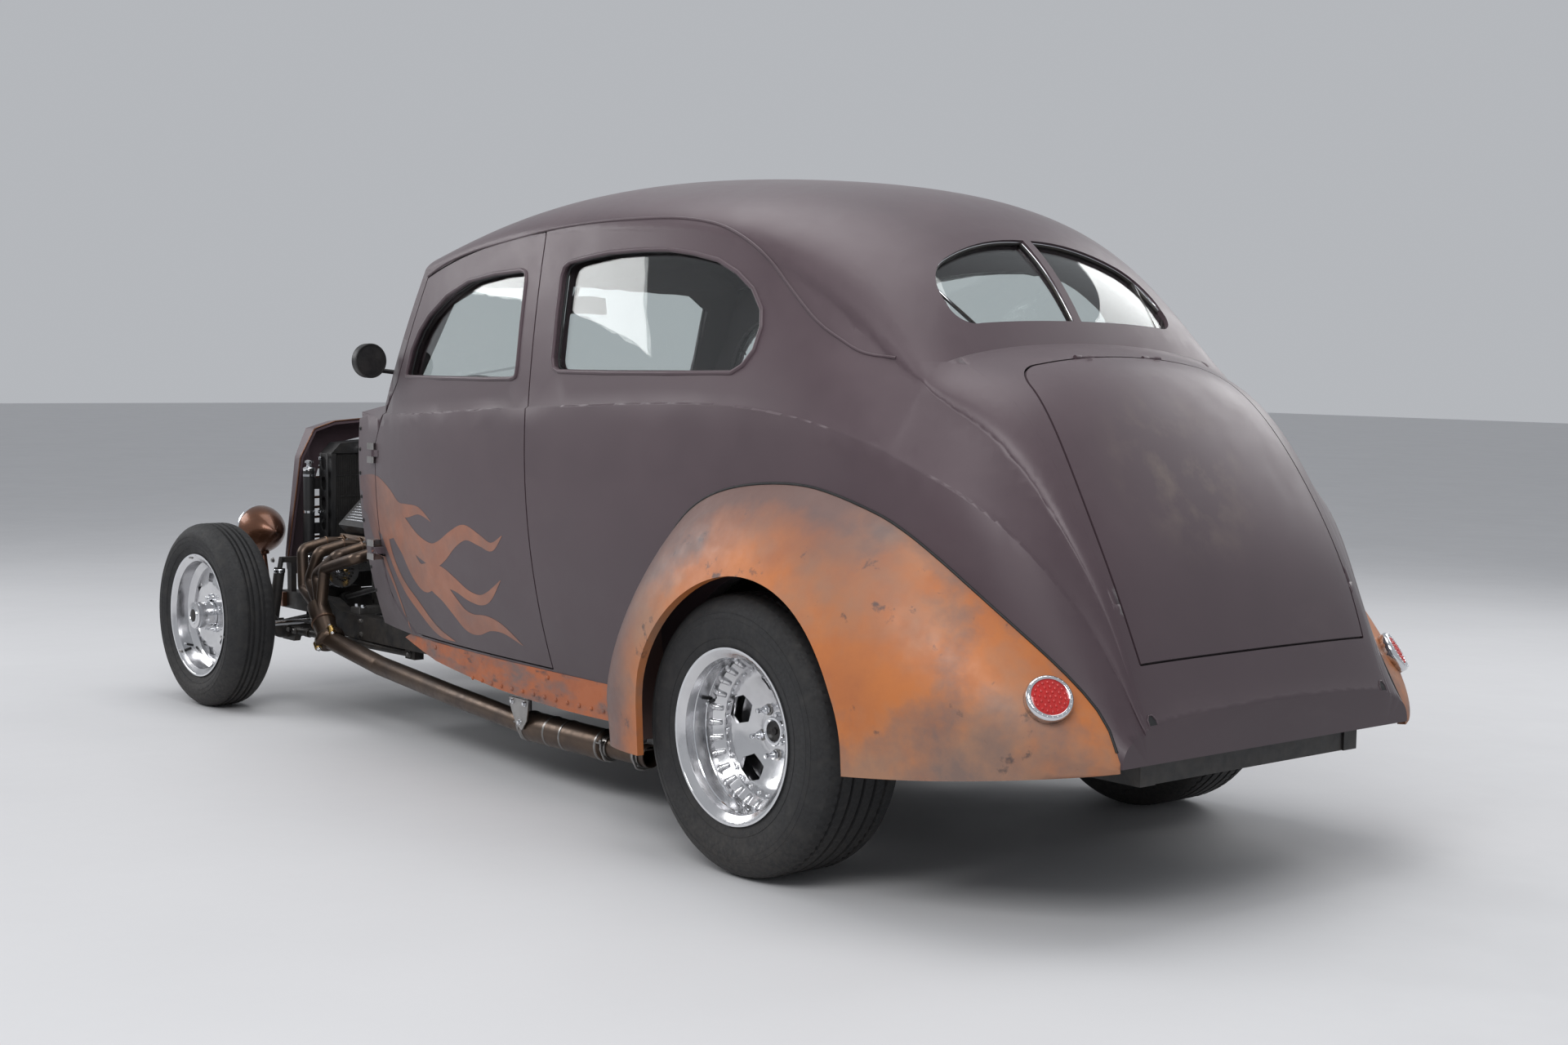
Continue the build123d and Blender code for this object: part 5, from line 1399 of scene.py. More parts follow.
class Wheels:
    """Tyres with tread, and what is fixed on the wheels."""

    FRONT = WheelPlan(
        "front", 2954.0, 311.0,
        [
            (190, 642), (196, 640), (204, 634), (211, 629), (222, 625), (232, 619), (246, 612.5), (262, 610),
            (276, 613), (288, 620), (298, 629), (305, 638), (309.5, 650), (311, 662), (311, 728),
            (309.5, 740), (305, 752), (298, 761), (288, 770), (276, 777), (262, 780), (246, 777.5),
            (232, 771), (222, 765), (211, 761), (204, 756), (196, 750), (190, 748),
        ],
        650, 740, 311, (668, 684, 706, 722), 72,
    )
    REAR = WheelPlan(
        "rear", 0.0, 334.0,
        [(190, 574), (197, 570), (204, 564), (212, 560), (224, 557), (240, 554), (258, 551.5), (276, 550.5),
         (292, 553), (306, 559), (318, 568), (327, 579), (332, 592), (334, 606),
         (334, 760), (332, 774), (327, 787), (318, 798), (306, 807), (292, 813), (276, 815.5), (258, 814.5),
         (240, 812), (224, 809), (212, 806), (204, 802), (197, 796), (190, 792)],
        592, 774, 334, (614, 648, 683, 718, 752), 84,
    )

    def build(self) -> None:
        """Adds the tyres and the fittings of all four wheels."""
        for side in Side:
            for plan in (self.FRONT, self.REAR):
                self._tyre(plan, side)
            self._front_fittings(side)
            self._rear_fittings(side)

    def _tyre(self, plan: WheelPlan, side: Side) -> None:
        """Adds the tread and the ribs of one tyre."""
        shape = Shape(f"{plan.word}_tyre_{side.word}_tread")
        origin = place(plan.s, 0, plan.z) / MM
        steps = plan.blocks * 3
        profile = [(r, y * side.value) for r, y in plan.section()]
        shape.turned(profile, origin, Vector((0, 1, 0)), Surfaces.TYRE, steps, True, Vector((0, 0, 1)))
        middle = (plan.tread_low + plan.tread_high) / 2
        half = (plan.tread_high - plan.tread_low) / 2
        for vert in shape.bm.verts:
            away = vert.co - origin
            radius = math.hypot(away.x, away.z)
            across = (abs(away.y) - middle) / half
            if radius < plan.tread_radius - 16.0 or abs(across) > 1.25:
                continue
            turn = round(math.atan2(away.x, away.z) / math.tau * steps)
            lane = int(abs(away.y) // 17)
            if (turn + lane) % 3 == 0 and radius > plan.tread_radius - 6.5 and abs(across) > 0.55:
                keep = (radius - (4.0 if plan.word == "rear" else 2.2)) / radius
                vert.co.x = origin.x + away.x * keep
                vert.co.z = origin.z + away.z * keep
        for radius, depth in ((232.0, 0.9), (plan.tread_radius - 44.0, 0.9), (plan.tread_radius - 58.0, 0.7)):
            self._ring(shape, plan, side, origin, radius, depth)
        shape.done(f"wheel_{plan.word}_{side.word}", "tyre", 28.0, (f"{plan.word}_tyre_{side.word}",))

    @staticmethod
    def _ring(shape: Shape, plan: WheelPlan, side: Side, origin: Vector, radius: float, depth: float) -> None:
        """Adds a moulded rib on the outer sidewall."""
        walls = plan.tyre[len(plan.tyre) // 2:]
        pairs = [(a, b) for a, b in zip(walls, walls[1:]) if b[0] <= radius <= a[0]]
        if not pairs:
            return
        (r0, y0), (r1, y1) = pairs[0]
        width = y0 + (y1 - y0) * (r0 - radius) / max(r0 - r1, 0.001)
        high = min(width + depth, 815.8 if plan.word == "rear" else 780.8)
        shape.turned(
            [(radius - 1.6, side.value * (width - 1.5)), (radius - 0.8, side.value * high),
             (radius + 0.8, side.value * high), (radius + 1.6, side.value * (width - 1.5))],
            origin, Vector((0, 1, 0)), Surfaces.TYRE, 96, True, Vector((0, 0, 1)),
        )

    @staticmethod
    def _round(
        s: float, z: float, side: Side, count: int, radius: float, y: float, turn: float = 0.0,
    ) -> list[Vector]:
        """Returns places round an axle."""
        return [
            Vector((
                REAR_AXLE_X + s + radius * math.sin(math.tau * (k + turn) / count), side.value * y,
                z + radius * math.cos(math.tau * (k + turn) / count),
            ))
            for k in range(count)
        ]

    def _front_fittings(self, side: Side) -> None:
        """Adds the fittings of a front wheel."""
        plan = self.FRONT
        shape = Shape(f"front_wheel_{side.word}_fittings")
        origin = place(plan.s, 0, plan.z) / MM
        out = Vector((0, side.value, 0))
        across = Vector((0, 1, 0))
        up = Vector((0, 0, 1))
        for foot in self._round(plan.s, plan.z, side, 5, 57.0, 712.0):
            shape.bolt(foot, out, 19.0, Surfaces.CHROME)
            shape.rod(foot + out * 11, foot + out * 20, 6.0, Surfaces.CHROME, 12, 1.0)
            shape.ball(foot + out * 19, 6.2, Surfaces.CHROME, Vector((1, 0.7, 1)))
        for radius, low, high in ((46.5, 713.0, 722.0), (45.6, 741.0, 745.0), (45.6, 764.0, 769.0)):
            shape.turned(
                [
                    (43.0, side.value * low), (radius, side.value * (low + 1)),
                    (radius, side.value * (high - 1)), (43.0, side.value * high),
                ],
                origin, across, Surfaces.CHROME, 48, True, up,
            )
        shape.turned(
            [
                (0.01, side.value * 780.2), (17.0, side.value * 780.6), (21.0, side.value * 779.0),
                (21.0, side.value * 776.0), (0.01, side.value * 776.0),
            ],
            origin, across, Surfaces.DARK, 40, False, up,
        )
        shape.turned(
            [(22.0, side.value * 777.0), (24.0, side.value * 780.4), (28.0, side.value * 780.0),
             (30.0, side.value * 776.5)], origin, across, Surfaces.CHROME, 40, True, up,
        )
        for foot in self._round(plan.s, plan.z, side, 1, 176.0, 722.0, 0.37):
            lean = Vector((origin.x, foot.y, origin.z)) - foot
            shape.rod(foot, foot + out * 26 + lean.normalized() * 10, 4.0, Surfaces.RUBBER, 12)
            shape.rod(
                foot + out * 26 + lean.normalized() * 10, foot + out * 34 + lean.normalized() * 13, 3.2,
                Surfaces.CHROME, 12, 0.6,
            )
        for foot in self._round(plan.s, plan.z, side, 3, 199.0, 763.0, 0.12):
            shape.box(
                foot - Vector((13, 2.0, 4)), foot + Vector((13, 2.0, 4)), Surfaces.BRUSHED, 1.2,
            )
        shape.turned(
            [(196.5, side.value * 758.0), (199.0, side.value * 762.5), (203.0, side.value * 765.6),
             (208.3, side.value * 765.8), (208.9, side.value * 764.0), (205.0, side.value * 759.0)],
            origin, across, Surfaces.CHROME, 96, True, up,
        )
        shape.done(f"wheel_front_{side.word}", "polished", 30.0)

    def _rear_fittings(self, side: Side) -> None:
        """Adds the fittings of a rear wheel."""
        plan = self.REAR
        shape = Shape(f"rear_wheel_{side.word}_fittings")
        origin = place(plan.s, 0, plan.z) / MM
        out = Vector((0, side.value, 0))
        across = Vector((0, 1, 0))
        up = Vector((0, 0, 1))
        for foot in self._round(plan.s, plan.z, side, 30, 153.0, 694.0):
            shape.rod(foot, foot + out * 2.6, 6.6, Surfaces.POLISHED, 14, 0.6)
            shape.ball(foot + out * 2.6, 4.6, Surfaces.CHROME, Vector((1, 0.8, 1)))
        outer = self._round(plan.s, plan.z, side, 30, 182.5, 716.0, 0.5)
        inner = self._round(plan.s, plan.z, side, 30, 165.5, 699.0, 0.5)
        for start, end in zip(outer, inner):
            shape.rod(start, end, 8.6, Surfaces.POLISHED, 16, 2.4, 6.4)
        for start in outer:
            shape.ball(start + out * 1.0, 8.8, Surfaces.POLISHED, Vector((1, 0.9, 1)))
        for foot in self._round(plan.s, plan.z, side, 5, 57.0, 664.5, 0.5):
            shape.rod(foot, foot + out * 3.0, 14.0, Surfaces.BRUSHED, 24, 0.8)
            shape.bolt(foot + out * 2.5, out, 20.0, Surfaces.CHROME, False)
            shape.rod(foot + out * 12, foot + out * 38, 6.2, Surfaces.CHROME, 14, 1.2)
        shape.turned(
            [(25.0, side.value * 671.0), (25.0, side.value * 679.0), (28.0, side.value * 681.0),
             (33.0, side.value * 681.0), (35.0, side.value * 678.0), (35.0, side.value * 665.0)],
            origin, across, Surfaces.CHROME, 48, True, up,
        )
        shape.turned(
            [(0.01, side.value * 672.6), (25.2, side.value * 672.6), (25.2, side.value * 671.5),
             (0.01, side.value * 671.5)], origin, across, Surfaces.BLACK, 32, False, up,
        )
        shape.rod(
            Vector((origin.x, side.value * 672.0, origin.z)),
            Vector((origin.x, side.value * 677.0, origin.z)), 9.0, Surfaces.DARK, 6, 1.0,
        )
        for foot in self._round(plan.s, plan.z, side, 1, 180.0, 722.0, 0.2):
            lean = (Vector((origin.x, foot.y, origin.z)) - foot).normalized()
            shape.rod(foot, foot + out * 24 + lean * 10, 4.2, Surfaces.RUBBER, 12)
            shape.rod(foot + out * 24 + lean * 10, foot + out * 33 + lean * 13, 3.4, Surfaces.CHROME, 12, 0.6)
        shape.turned(
            [(196.5, side.value * 802.0), (199.0, side.value * 806.5), (203.0, side.value * 810.4),
             (208.3, side.value * 810.6), (208.9, side.value * 808.5), (205.0, side.value * 803.0)],
            origin, across, Surfaces.CHROME, 96, True, up,
        )
        for radius, width in ((184.4, 772.0), (184.4, 736.0)):
            shape.turned(
                [(radius, side.value * (width - 2.5)), (radius - 1.6, side.value * width),
                 (radius, side.value * (width + 2.5))], origin, across, Surfaces.CHROME, 96, True, up,
            )
        shape.done(f"wheel_rear_{side.word}", "polished", 30.0)


def spot(s: float, y: float, z: float) -> Vector:
    """Turns a place measured from the rear axle into millimetres of the row frame."""
    return Vector((REAR_AXLE_X + s, y, z))


class Engine:
    """Fittings of the engine, its belts, headers and cooling."""

    CRANK_Z = 393.0
    LEAN = math.sqrt(0.5)
    PORTS = (2425.0, 2550.0, 2680.0, 2800.0)
    PULLEYS = ((0.0, 393.0, 84.0), (0.0, 560.0, 70.0), (300.0, 455.0, 40.0))
    AHEAD = Vector((1, 0, 0))

    def build(self) -> None:
        """Adds every group of fittings."""
        self._covers()
        self._heads()
        self._belts()
        self._alternator()
        self._carburettors()
        self._air_cleaner()
        self._headers()
        self._radiator()
        self._fan()

    def bank(self, side: Side, s: float, along: float, across: float) -> Vector:
        """Finds a place on a cylinder bank.

        Args:
            side: Side of the bank.
            s: Millimetres forward of the rear axle.
            along: Distance from the crank along the cylinders.
            across: Distance from their middle, downward.

        Returns:
            The place in millimetres.
        """
        return spot(s, side.value * self.LEAN * (along + across), self.CRANK_Z + self.LEAN * (along - across))

    def _covers(self) -> None:
        """Adds the valve covers."""
        for side in Side:
            out = self.bank(side, 0, 1, 0) - self.bank(side, 0, 0, 0)
            down = self.bank(side, 0, 0, 1) - self.bank(side, 0, 0, 0)
            shape = Shape(f"valve_cover_fittings_{side.word}")
            for s in (2400, 2500, 2600, 2700, 2800):
                for across in (-64, 68):
                    shape.bolt(self.bank(side, s, 313, across), out, 9.0, Surfaces.CHROME)
            for k in range(7):
                low = self.bank(side, 2410, 372, -36 + 12 * k)
                high = self.bank(side, 2790, 372, -36 + 12 * k)
                shape.rod(low, high, 2.4, Surfaces.CHROME, 10)
            filler = self.bank(side, 2460, 372, 2)
            shape.rod(filler, filler + out * 16, 20, Surfaces.CHROME, 32, 1.5)
            shape.rod(filler + out * 16, filler + out * 24, 26, Surfaces.CHROME, 32, 2.5)
            shape.box(
                self.bank(side, 2440, 315, 61) - Vector((0, 2, 2)),
                self.bank(side, 2480, 315, 61) + Vector((0, 2, 2)), Surfaces.CHROME, 1.0,
            )
            rail_low = self.bank(side, 2386, 314, 63) + down * 4
            rail_high = self.bank(side, 2814, 314, 63) + down * 4
            shape.rod(rail_low, rail_high, 4.0, Surfaces.BLACK, 12)
            shape.done("chassis", "dark_metal")

    def _heads(self) -> None:
        """Adds the bolts and spark plugs of the heads and the core plugs of the block."""
        shape = Shape("head_fittings")
        for side in Side:
            out = self.bank(side, 0, 1, 0) - self.bank(side, 0, 0, 0)
            down = self.bank(side, 0, 0, 1) - self.bank(side, 0, 0, 0)
            for s in (2395, 2480, 2615, 2740, 2815):
                shape.bolt(self.bank(side, s, 262, 92), down, 13.0, Surfaces.DARK)
            for port in self.PORTS:
                plug = self.bank(side, port + 34, 292, 92)
                lean = (down + out * 0.35).normalized()
                shape.rod(plug, plug + lean * 8, 11, Surfaces.BRUSHED, 6, 0.8)
                shape.rod(plug + lean * 8, plug + lean * 26, 6.5, Surfaces.LENS, 16, 0.8)
                shape.rod(plug + lean * 22, plug + lean * 52, 9.5, Surfaces.BLACK, 16, 2.0, 7.5)
            for s in (2376, 2440, 2560, 2680, 2760, 2848):
                shape.bolt(spot(s, side.value * 150, 330), Vector((0, side.value, 0)), 11.0, Surfaces.DARK)
            for s in (2410, 2530, 2650, 2770):
                middle = spot(s, side.value * 150, 382)
                shape.rod(middle, middle + Vector((0, side.value * 5, 0)), 20, Surfaces.GOLD, 28, 1.2)
            for s in (2540, 2580):
                shape.bolt(spot(s, side.value * 360, 352), Vector((0, 0, 1)), 16.0, Surfaces.CHROME)
        shape.done("chassis", "engine_paint")

    def _belt(self, shape: Shape, pulleys: tuple, s_low: float, s_high: float, over: float) -> None:
        """Lays one belt round a set of pulleys."""
        rim: list[tuple[float, float]] = []
        for y, z, radius in pulleys:
            for k in range(96):
                angle = math.tau * k / 96
                rim.append((y + (radius + over) * math.cos(angle), z + (radius + over) * math.sin(angle)))
        rim = hull(rim)
        inner = []
        count = len(rim)
        for k, (y, z) in enumerate(rim):
            before, after = rim[k - 1], rim[(k + 1) % count]
            dy, dz = after[0] - before[0], after[1] - before[1]
            length = math.hypot(dy, dz)
            inner.append((y - dz / length * 8.0, z + dy / length * 8.0))
        rings = []
        for s in (s_low, s_high):
            rings.append([shape.bm.verts.new(spot(s, y, z)) for y, z in rim])
            rings.append([shape.bm.verts.new(spot(s, y, z)) for y, z in inner])
        faces = []
        for k in range(count):
            n = (k + 1) % count
            for a, b in ((0, 2), (2, 3), (3, 1), (1, 0)):
                faces.append(shape.bm.faces.new((rings[a][k], rings[a][n], rings[b][n], rings[b][k])))
        shape.dress(faces, Surfaces.BELT)

    def _belts(self) -> None:
        """Adds the pulleys and the belts."""
        shape = Shape("drive_belts")
        self._belt(shape, self.PULLEYS, 2891.0, 2904.0, 5.0)
        shape.done("chassis", "tyre", 40.0)
        rims = Shape("pulley_rims")
        for y, z, radius in self.PULLEYS:
            for low in (2885.5, 2907.0):
                rims.turned(
                    [
                        (radius - 8, low), (radius + 5.5, low), (radius + 7.5, low + 1.5),
                        (radius + 5.5, low + 3.5), (radius - 8, low + 3.5),
                    ],
                    Vector((REAR_AXLE_X, y, z)), self.AHEAD, Surfaces.CHROME, 64, True,
                )
            rims.turned(
                [
                    (radius * 0.62, 2909.5), (radius * 0.66, 2912.5), (radius * 0.72, 2912.5),
                    (radius * 0.76, 2909.5),
                ],
                Vector((REAR_AXLE_X, y, z)), self.AHEAD, Surfaces.CHROME, 48, True,
            )
            if z != 560.0:
                rims.bolt(spot(2910, y, z), self.AHEAD, 20.0, Surfaces.CHROME)
                for k in range(4):
                    angle = math.tau * k / 4 + 0.4
                    foot = spot(
                        2910, y + radius * 0.42 * math.cos(angle), z + radius * 0.42 * math.sin(angle),
                    )
                    rims.bolt(foot, self.AHEAD, 8.0, Surfaces.DARK)
        rims.done("chassis", "chrome")

    def _alternator(self) -> None:
        """Adds the rings, bars, bolts and brace of the alternator."""
        shape = Shape("alternator_fittings")
        y, z = 300.0, 455.0
        middle = Vector((REAR_AXLE_X, y, z))
        for low in (2790.0, 2804.0, 2850.0, 2866.0):
            shape.turned(
                [(58, low), (62.5, low + 1), (62.5, low + 6), (58, low + 7)], middle, self.AHEAD,
                Surfaces.CHROME, 56, True,
            )
        for k in range(18):
            angle = math.tau * k / 18
            along = Vector((0, math.cos(angle), math.sin(angle)))
            shape.rod(middle + self.AHEAD * 2813 + along * 60, middle + self.AHEAD * 2846 + along * 60, 3.2,
                      Surfaces.POLISHED, 8)
            shape.box(
                middle + self.AHEAD * 2786 + along * 36 - Vector((3.5, 3, 3)),
                middle + self.AHEAD * 2786 + along * 36 + Vector((3.5, 3, 3)), Surfaces.DARK, 0.8,
            )
            shape.rod(
                middle + self.AHEAD * 2880 + along * 22, middle + self.AHEAD * 2882 + along * 52, 3.0,
                Surfaces.BRUSHED, 8,
            )
        shape.turned(
            [(20, 2877), (54, 2878), (54, 2880), (20, 2880)], middle, self.AHEAD, Surfaces.BRUSHED, 48, True,
        )
        shape.rod(middle + self.AHEAD * 2774, middle + self.AHEAD * 2790, 22, Surfaces.CHROME, 32, 2.0)
        shape.rod(middle + self.AHEAD * 2762, middle + self.AHEAD * 2776, 5, Surfaces.GOLD, 12, 0.6)
        for k in range(3):
            angle = math.tau * k / 3 + 0.5
            along = Vector((0, math.cos(angle), math.sin(angle)))
            shape.bolt(middle + self.AHEAD * 2872 + along * 50, self.AHEAD, 9.0, Surfaces.DARK)
        shape.rod(spot(2832, 262, 508), spot(2832, 120, 590), 6.5, Surfaces.CHROME, 14)
        shape.bolt(spot(2838, 262, 508), self.AHEAD, 13.0, Surfaces.CHROME)
        shape.bolt(spot(2838, 120, 590), self.AHEAD, 13.0, Surfaces.CHROME)
        shape.done("chassis", "chrome")

    def _carburettors(self) -> None:
        """Adds the carburettors and their linkage."""
        shape = Shape("carburettor_fittings")
        for k in range(9):
            for side in Side:
                s = 2540 + 24 * k
                shape.box(
                    spot(s, side.value * 114 - 5, 700), spot(s + 8, side.value * 114 + 5, 786),
                    Surfaces.POLISHED, 2.0,
                )
        for side in Side:
            for s in (2600, 2710):
                shape.box(
                    spot(s - 30, side.value * 82 - 16, 812), spot(s + 30, side.value * 82 + 16, 872),
                    Surfaces.GOLD, 5.0,
                )
                for dz in (822, 862):
                    for ds in (-20, 20):
                        shape.bolt(
                            spot(s + ds, side.value * 98, dz), Vector((0, side.value, 0)), 7.0,
                            Surfaces.CHROME,
                        )
                shape.rod(
                    spot(s, side.value * 98, 842), spot(s, side.value * 112, 842), 9, Surfaces.BRUSHED, 6,
                    0.8,
                )
            shape.rod(
                spot(2572, side.value * 108, 842), spot(2740, side.value * 108, 842), 5.0, Surfaces.CHROME,
                12,
            )
            shape.rod(
                spot(2585, side.value * 92, 900), spot(2735, side.value * 92, 900), 3.5, Surfaces.CHROME, 10,
            )
            for s in (2600, 2712):
                shape.box(
                    spot(s - 5, side.value * 92 - 3, 880), spot(s + 5, side.value * 92 + 3, 912),
                    Surfaces.BRUSHED, 1.2,
                )
        shape.box(spot(2562, -84, 788), spot(2768, 84, 798), Surfaces.CAST, 2.0)
        for s in (2574, 2666, 2756):
            for side in Side:
                shape.bolt(spot(s, side.value * 104, 793), Vector((0, 0, 1)), 11.0, Surfaces.CHROME)
        shape.pipe(
            [
                spot(2760, 60, 842), spot(2800, 60, 842), spot(2840, 90, 800), spot(2844, 120, 640),
                spot(2836, 150, 470),
            ],
            4.5, Surfaces.CHROME, 10, 22,
        )
        shape.rod(spot(2800, 0, 566), spot(2846, 0, 640), 34, Surfaces.POLISHED, 32, 4.0)
        shape.rod(spot(2846, 0, 640), spot(2884, 0, 690), 27, Surfaces.CHROME, 32, 2.0)
        shape.rod(spot(2376, 0, 560), spot(2376, 0, 700), 38, Surfaces.BLACK, 32, 4.0)
        for k in range(8):
            angle = math.tau * k / 8
            foot = spot(2376 + 26 * math.cos(angle), 26 * math.sin(angle), 700)
            shape.rod(foot, foot + Vector((0, 0, 20)), 7.5, Surfaces.BLACK, 14, 1.5)
        shape.done("chassis", "polished")

    def _air_cleaner(self) -> None:
        """Adds the pleated element and the lid of the air cleaner."""
        shape = Shape("air_cleaner_fittings")
        middle = spot(2670, 0, 0)
        up = Vector((0, 0, 1))
        shape.turned(
            [(183, 951), (191.6, 954), (191.6, 1008), (183, 1011)], middle, up, Surfaces.DARK, 72, True,
        )
        for k in range(60):
            angle = math.tau * k / 60
            along = Vector((math.cos(angle), math.sin(angle), 0))
            shape.rod(
                middle + along * 191.4 + up * 957, middle + along * 191.4 + up * 1005, 1.8, Surfaces.BRUSHED,
                6,
            )
        for z in (950.0, 1012.0):
            shape.turned(
                [(186, z - 3), (193.5, z - 2), (194.5, z), (193.5, z + 2), (186, z + 3)], middle, up,
                Surfaces.CREAM, 72, True,
            )
        shape.rod(middle + up * 1078, middle + up * 1088, 14, Surfaces.CHROME, 28, 2.0)
        shape.rod(middle + up * 1086, middle + up * 1102, 5, Surfaces.CHROME, 14, 1.0)
        for side in Side:
            tip = middle + up * 1104 + Vector((0, side.value * 20, 0))
            shape.rod(middle + up * 1095, tip, 4.0, Surfaces.CHROME, 10, 1.0, 5.5)
        shape.turned(
            [(60, 1072.5), (62, 1076.5), (66, 1076.5), (68, 1071.8)], middle, up, Surfaces.CREAM, 64, True,
        )
        shape.done("chassis", "dark_metal")

    def _headers(self) -> None:
        """Adds the flanges and bolts of the exhaust headers."""
        for side in Side:
            sign = side.value
            shape = Shape(f"header_fittings_{side.word}")
            for port in self.PORTS:
                middle = spot(port + 2, sign * 292, 549)
                aim = Vector((4, sign * 68, 3)).normalized()
                shape.rod(middle, middle + aim * 9, 27, Surfaces.BRONZE, 28, 1.5)
                for dz in (-28, 28):
                    foot = middle + Vector((dz * 0.9, 0, -dz * 0.35))
                    shape.bolt(foot, aim, 11.0, Surfaces.CHROME)
                bead = spot(port + 6, sign * 360, 552)
                shape.turned(
                    [(19.5, -2.6), (21.4, -1.4), (21.4, 1.4), (19.5, 2.6)], bead, aim, Surfaces.BRONZE, 28,
                    True,
                )
            down = (spot(2574, sign * 463, 241) - spot(2590, sign * 461, 255)).normalized()
            flange = spot(2582, sign * 462, 248)
            across = down.orthogonal().normalized()
            other = down.cross(across)
            for k in range(3):
                angle = math.tau * k / 3 + 0.6
                foot = flange + (across * math.cos(angle) + other * math.sin(angle)) * 47
                shape.rod(foot - down * 13, foot + down * 13, 12, Surfaces.GOLD, 24, 1.5)
                shape.bolt(foot + down * 13, down, 12.0, Surfaces.CHROME)
                shape.bolt(foot - down * 13, -down, 12.0, Surfaces.CHROME)
            shape.turned(
                [(37, -5), (42, -3), (42, 3), (37, 5)], spot(2640, sign * 456, 300), down, Surfaces.BRONZE,
                40, True,
            )
            for s, radius in ((1232.0, 44.5), (868.0, 44.5), (1120.0, 43.8)):
                shape.turned(
                    [(42, s - 5), (radius + 0.6, s - 3), (radius + 0.6, s + 3), (42, s + 5)],
                    Vector((REAR_AXLE_X, sign * 540, 155)), self.AHEAD, Surfaces.STEEL, 48, True,
                )
            for s in (1262.0, 846.0):
                shape.turned(
                    [(30.5, s - 9), (33.5, s - 7), (33.5, s + 7), (30.5, s + 9)],
                    Vector((REAR_AXLE_X, sign * 540, 155)), self.AHEAD, Surfaces.CHROME, 40, True,
                )
                shape.bolt(spot(s, sign * 540, 188), Vector((0, 0, 1)), 10.0, Surfaces.CHROME)
            shape.plate(
                [spot(1280, sign * 590, 240), spot(1180, sign * 590, 240), spot(1190, sign * 590, 180),
                 spot(1215, sign * 590, 150), spot(1245, sign * 590, 165), spot(1270, sign * 590, 205)],
                Vector((0, -sign * 5, 0)), Surfaces.BRUSHED, 0.8,
            )
            for s, z in ((1262, 228), (1200, 228), (1225, 172)):
                shape.bolt(spot(s, sign * 590, z), Vector((0, sign, 0)), 11.0, Surfaces.CHROME)
            shape.done("chassis", "bronze")

    def _radiator(self) -> None:
        """Adds the radiator's core, tanks and hoses."""
        shape = Shape("radiator_core")
        for k in range(84):
            y = -212 + 424 * k / 83
            for low in (3000.6, 3062.4):
                shape.box(spot(low, y - 0.8, 392), spot(low + 3, y + 0.8, 842), Surfaces.CORE, 0.0)
        for k in range(5):
            z = 470 + 75 * k
            for low in (2999.6, 3064.6):
                shape.box(spot(low, -214, z - 1.5), spot(low + 1.4, 214, z + 1.5), Surfaces.BLACK, 0.0)
        shape.done("chassis", "dark_metal")
        frame_piece = Shape("radiator_fittings")
        for side in Side:
            sign = side.value
            frame_piece.box(
                spot(2996, sign * 226 - 10, 368), spot(3070, sign * 226 + 10, 852), Surfaces.BLACK, 2.5,
            )
            bracket = [(2990, 420), (3052, 420), (3052, 850), (2990, 850)]
            self._holed_plate(frame_piece, bracket, sign * 252, sign)
            for z in (440, 640, 830):
                frame_piece.bolt(spot(3040, sign * 256, z), Vector((0, sign, 0)), 11.0, Surfaces.CHROME)
        up = Vector((0, 0, 1))
        neck = spot(3033, 0, 0)
        frame_piece.rod(neck + up * 913, neck + up * 925, 35, Surfaces.CHROME, 36, 2.5)
        frame_piece.rod(neck + up * 925, neck + up * 931, 22, Surfaces.CHROME, 30, 2.0)
        for turn in (0.5, 0.5 + math.pi):
            ear = neck + Vector((math.cos(turn) * 36, math.sin(turn) * 36, 919))
            frame_piece.box(ear - Vector((8, 8, 4)), ear + Vector((8, 8, 4)), Surfaces.CHROME, 2.0)
        tube = Vector((REAR_AXLE_X + 3060, 290, 0))
        frame_piece.turned(
            [
                (20, 786), (21.5, 790), (21.5, 796), (16, 801), (9, 803), (9, 812), (15, 814), (15, 821),
                (10, 825), (0.01, 826),
            ],
            tube, up, Surfaces.CHROME, 36, False,
        )
        for z in (500.0, 640.0, 770.0):
            frame_piece.turned(
                [(19.6, z - 5), (21.4, z - 4), (21.4, z + 4), (19.6, z + 5)], tube, up, Surfaces.CHROME, 36,
                True,
            )
        frame_piece.turned(
            [(20, 484), (21.2, 480), (19, 474), (8, 470), (0.01, 469)], tube, up, Surfaces.CHROME, 36, False,
        )
        frame_piece.rod(spot(2996, 110, 858), spot(2958, 110, 858), 25, Surfaces.POLISHED, 32, 2.0)
        frame_piece.pipe(
            [spot(2972, 110, 858), spot(2920, 110, 858), spot(2888, 60, 800), spot(2880, 0, 690)], 22,
            Surfaces.RUBBER, 20, 40,
        )
        for middle, aim in (
            (spot(2962, 110, 858), Vector((1, 0, 0))), (spot(2881, 8, 704), Vector((0.05, 0.1, 1))),
        ):
            frame_piece.turned(
                [(21.6, -6), (24.2, -5), (24.2, 5), (21.6, 6)], middle, aim, Surfaces.CHROME, 32, True,
            )
            frame_piece.bolt(middle + Vector((0, 25, 0)), Vector((0, 1, 0)), 7.0, Surfaces.CHROME, False)
        frame_piece.done("chassis", "dark_metal")

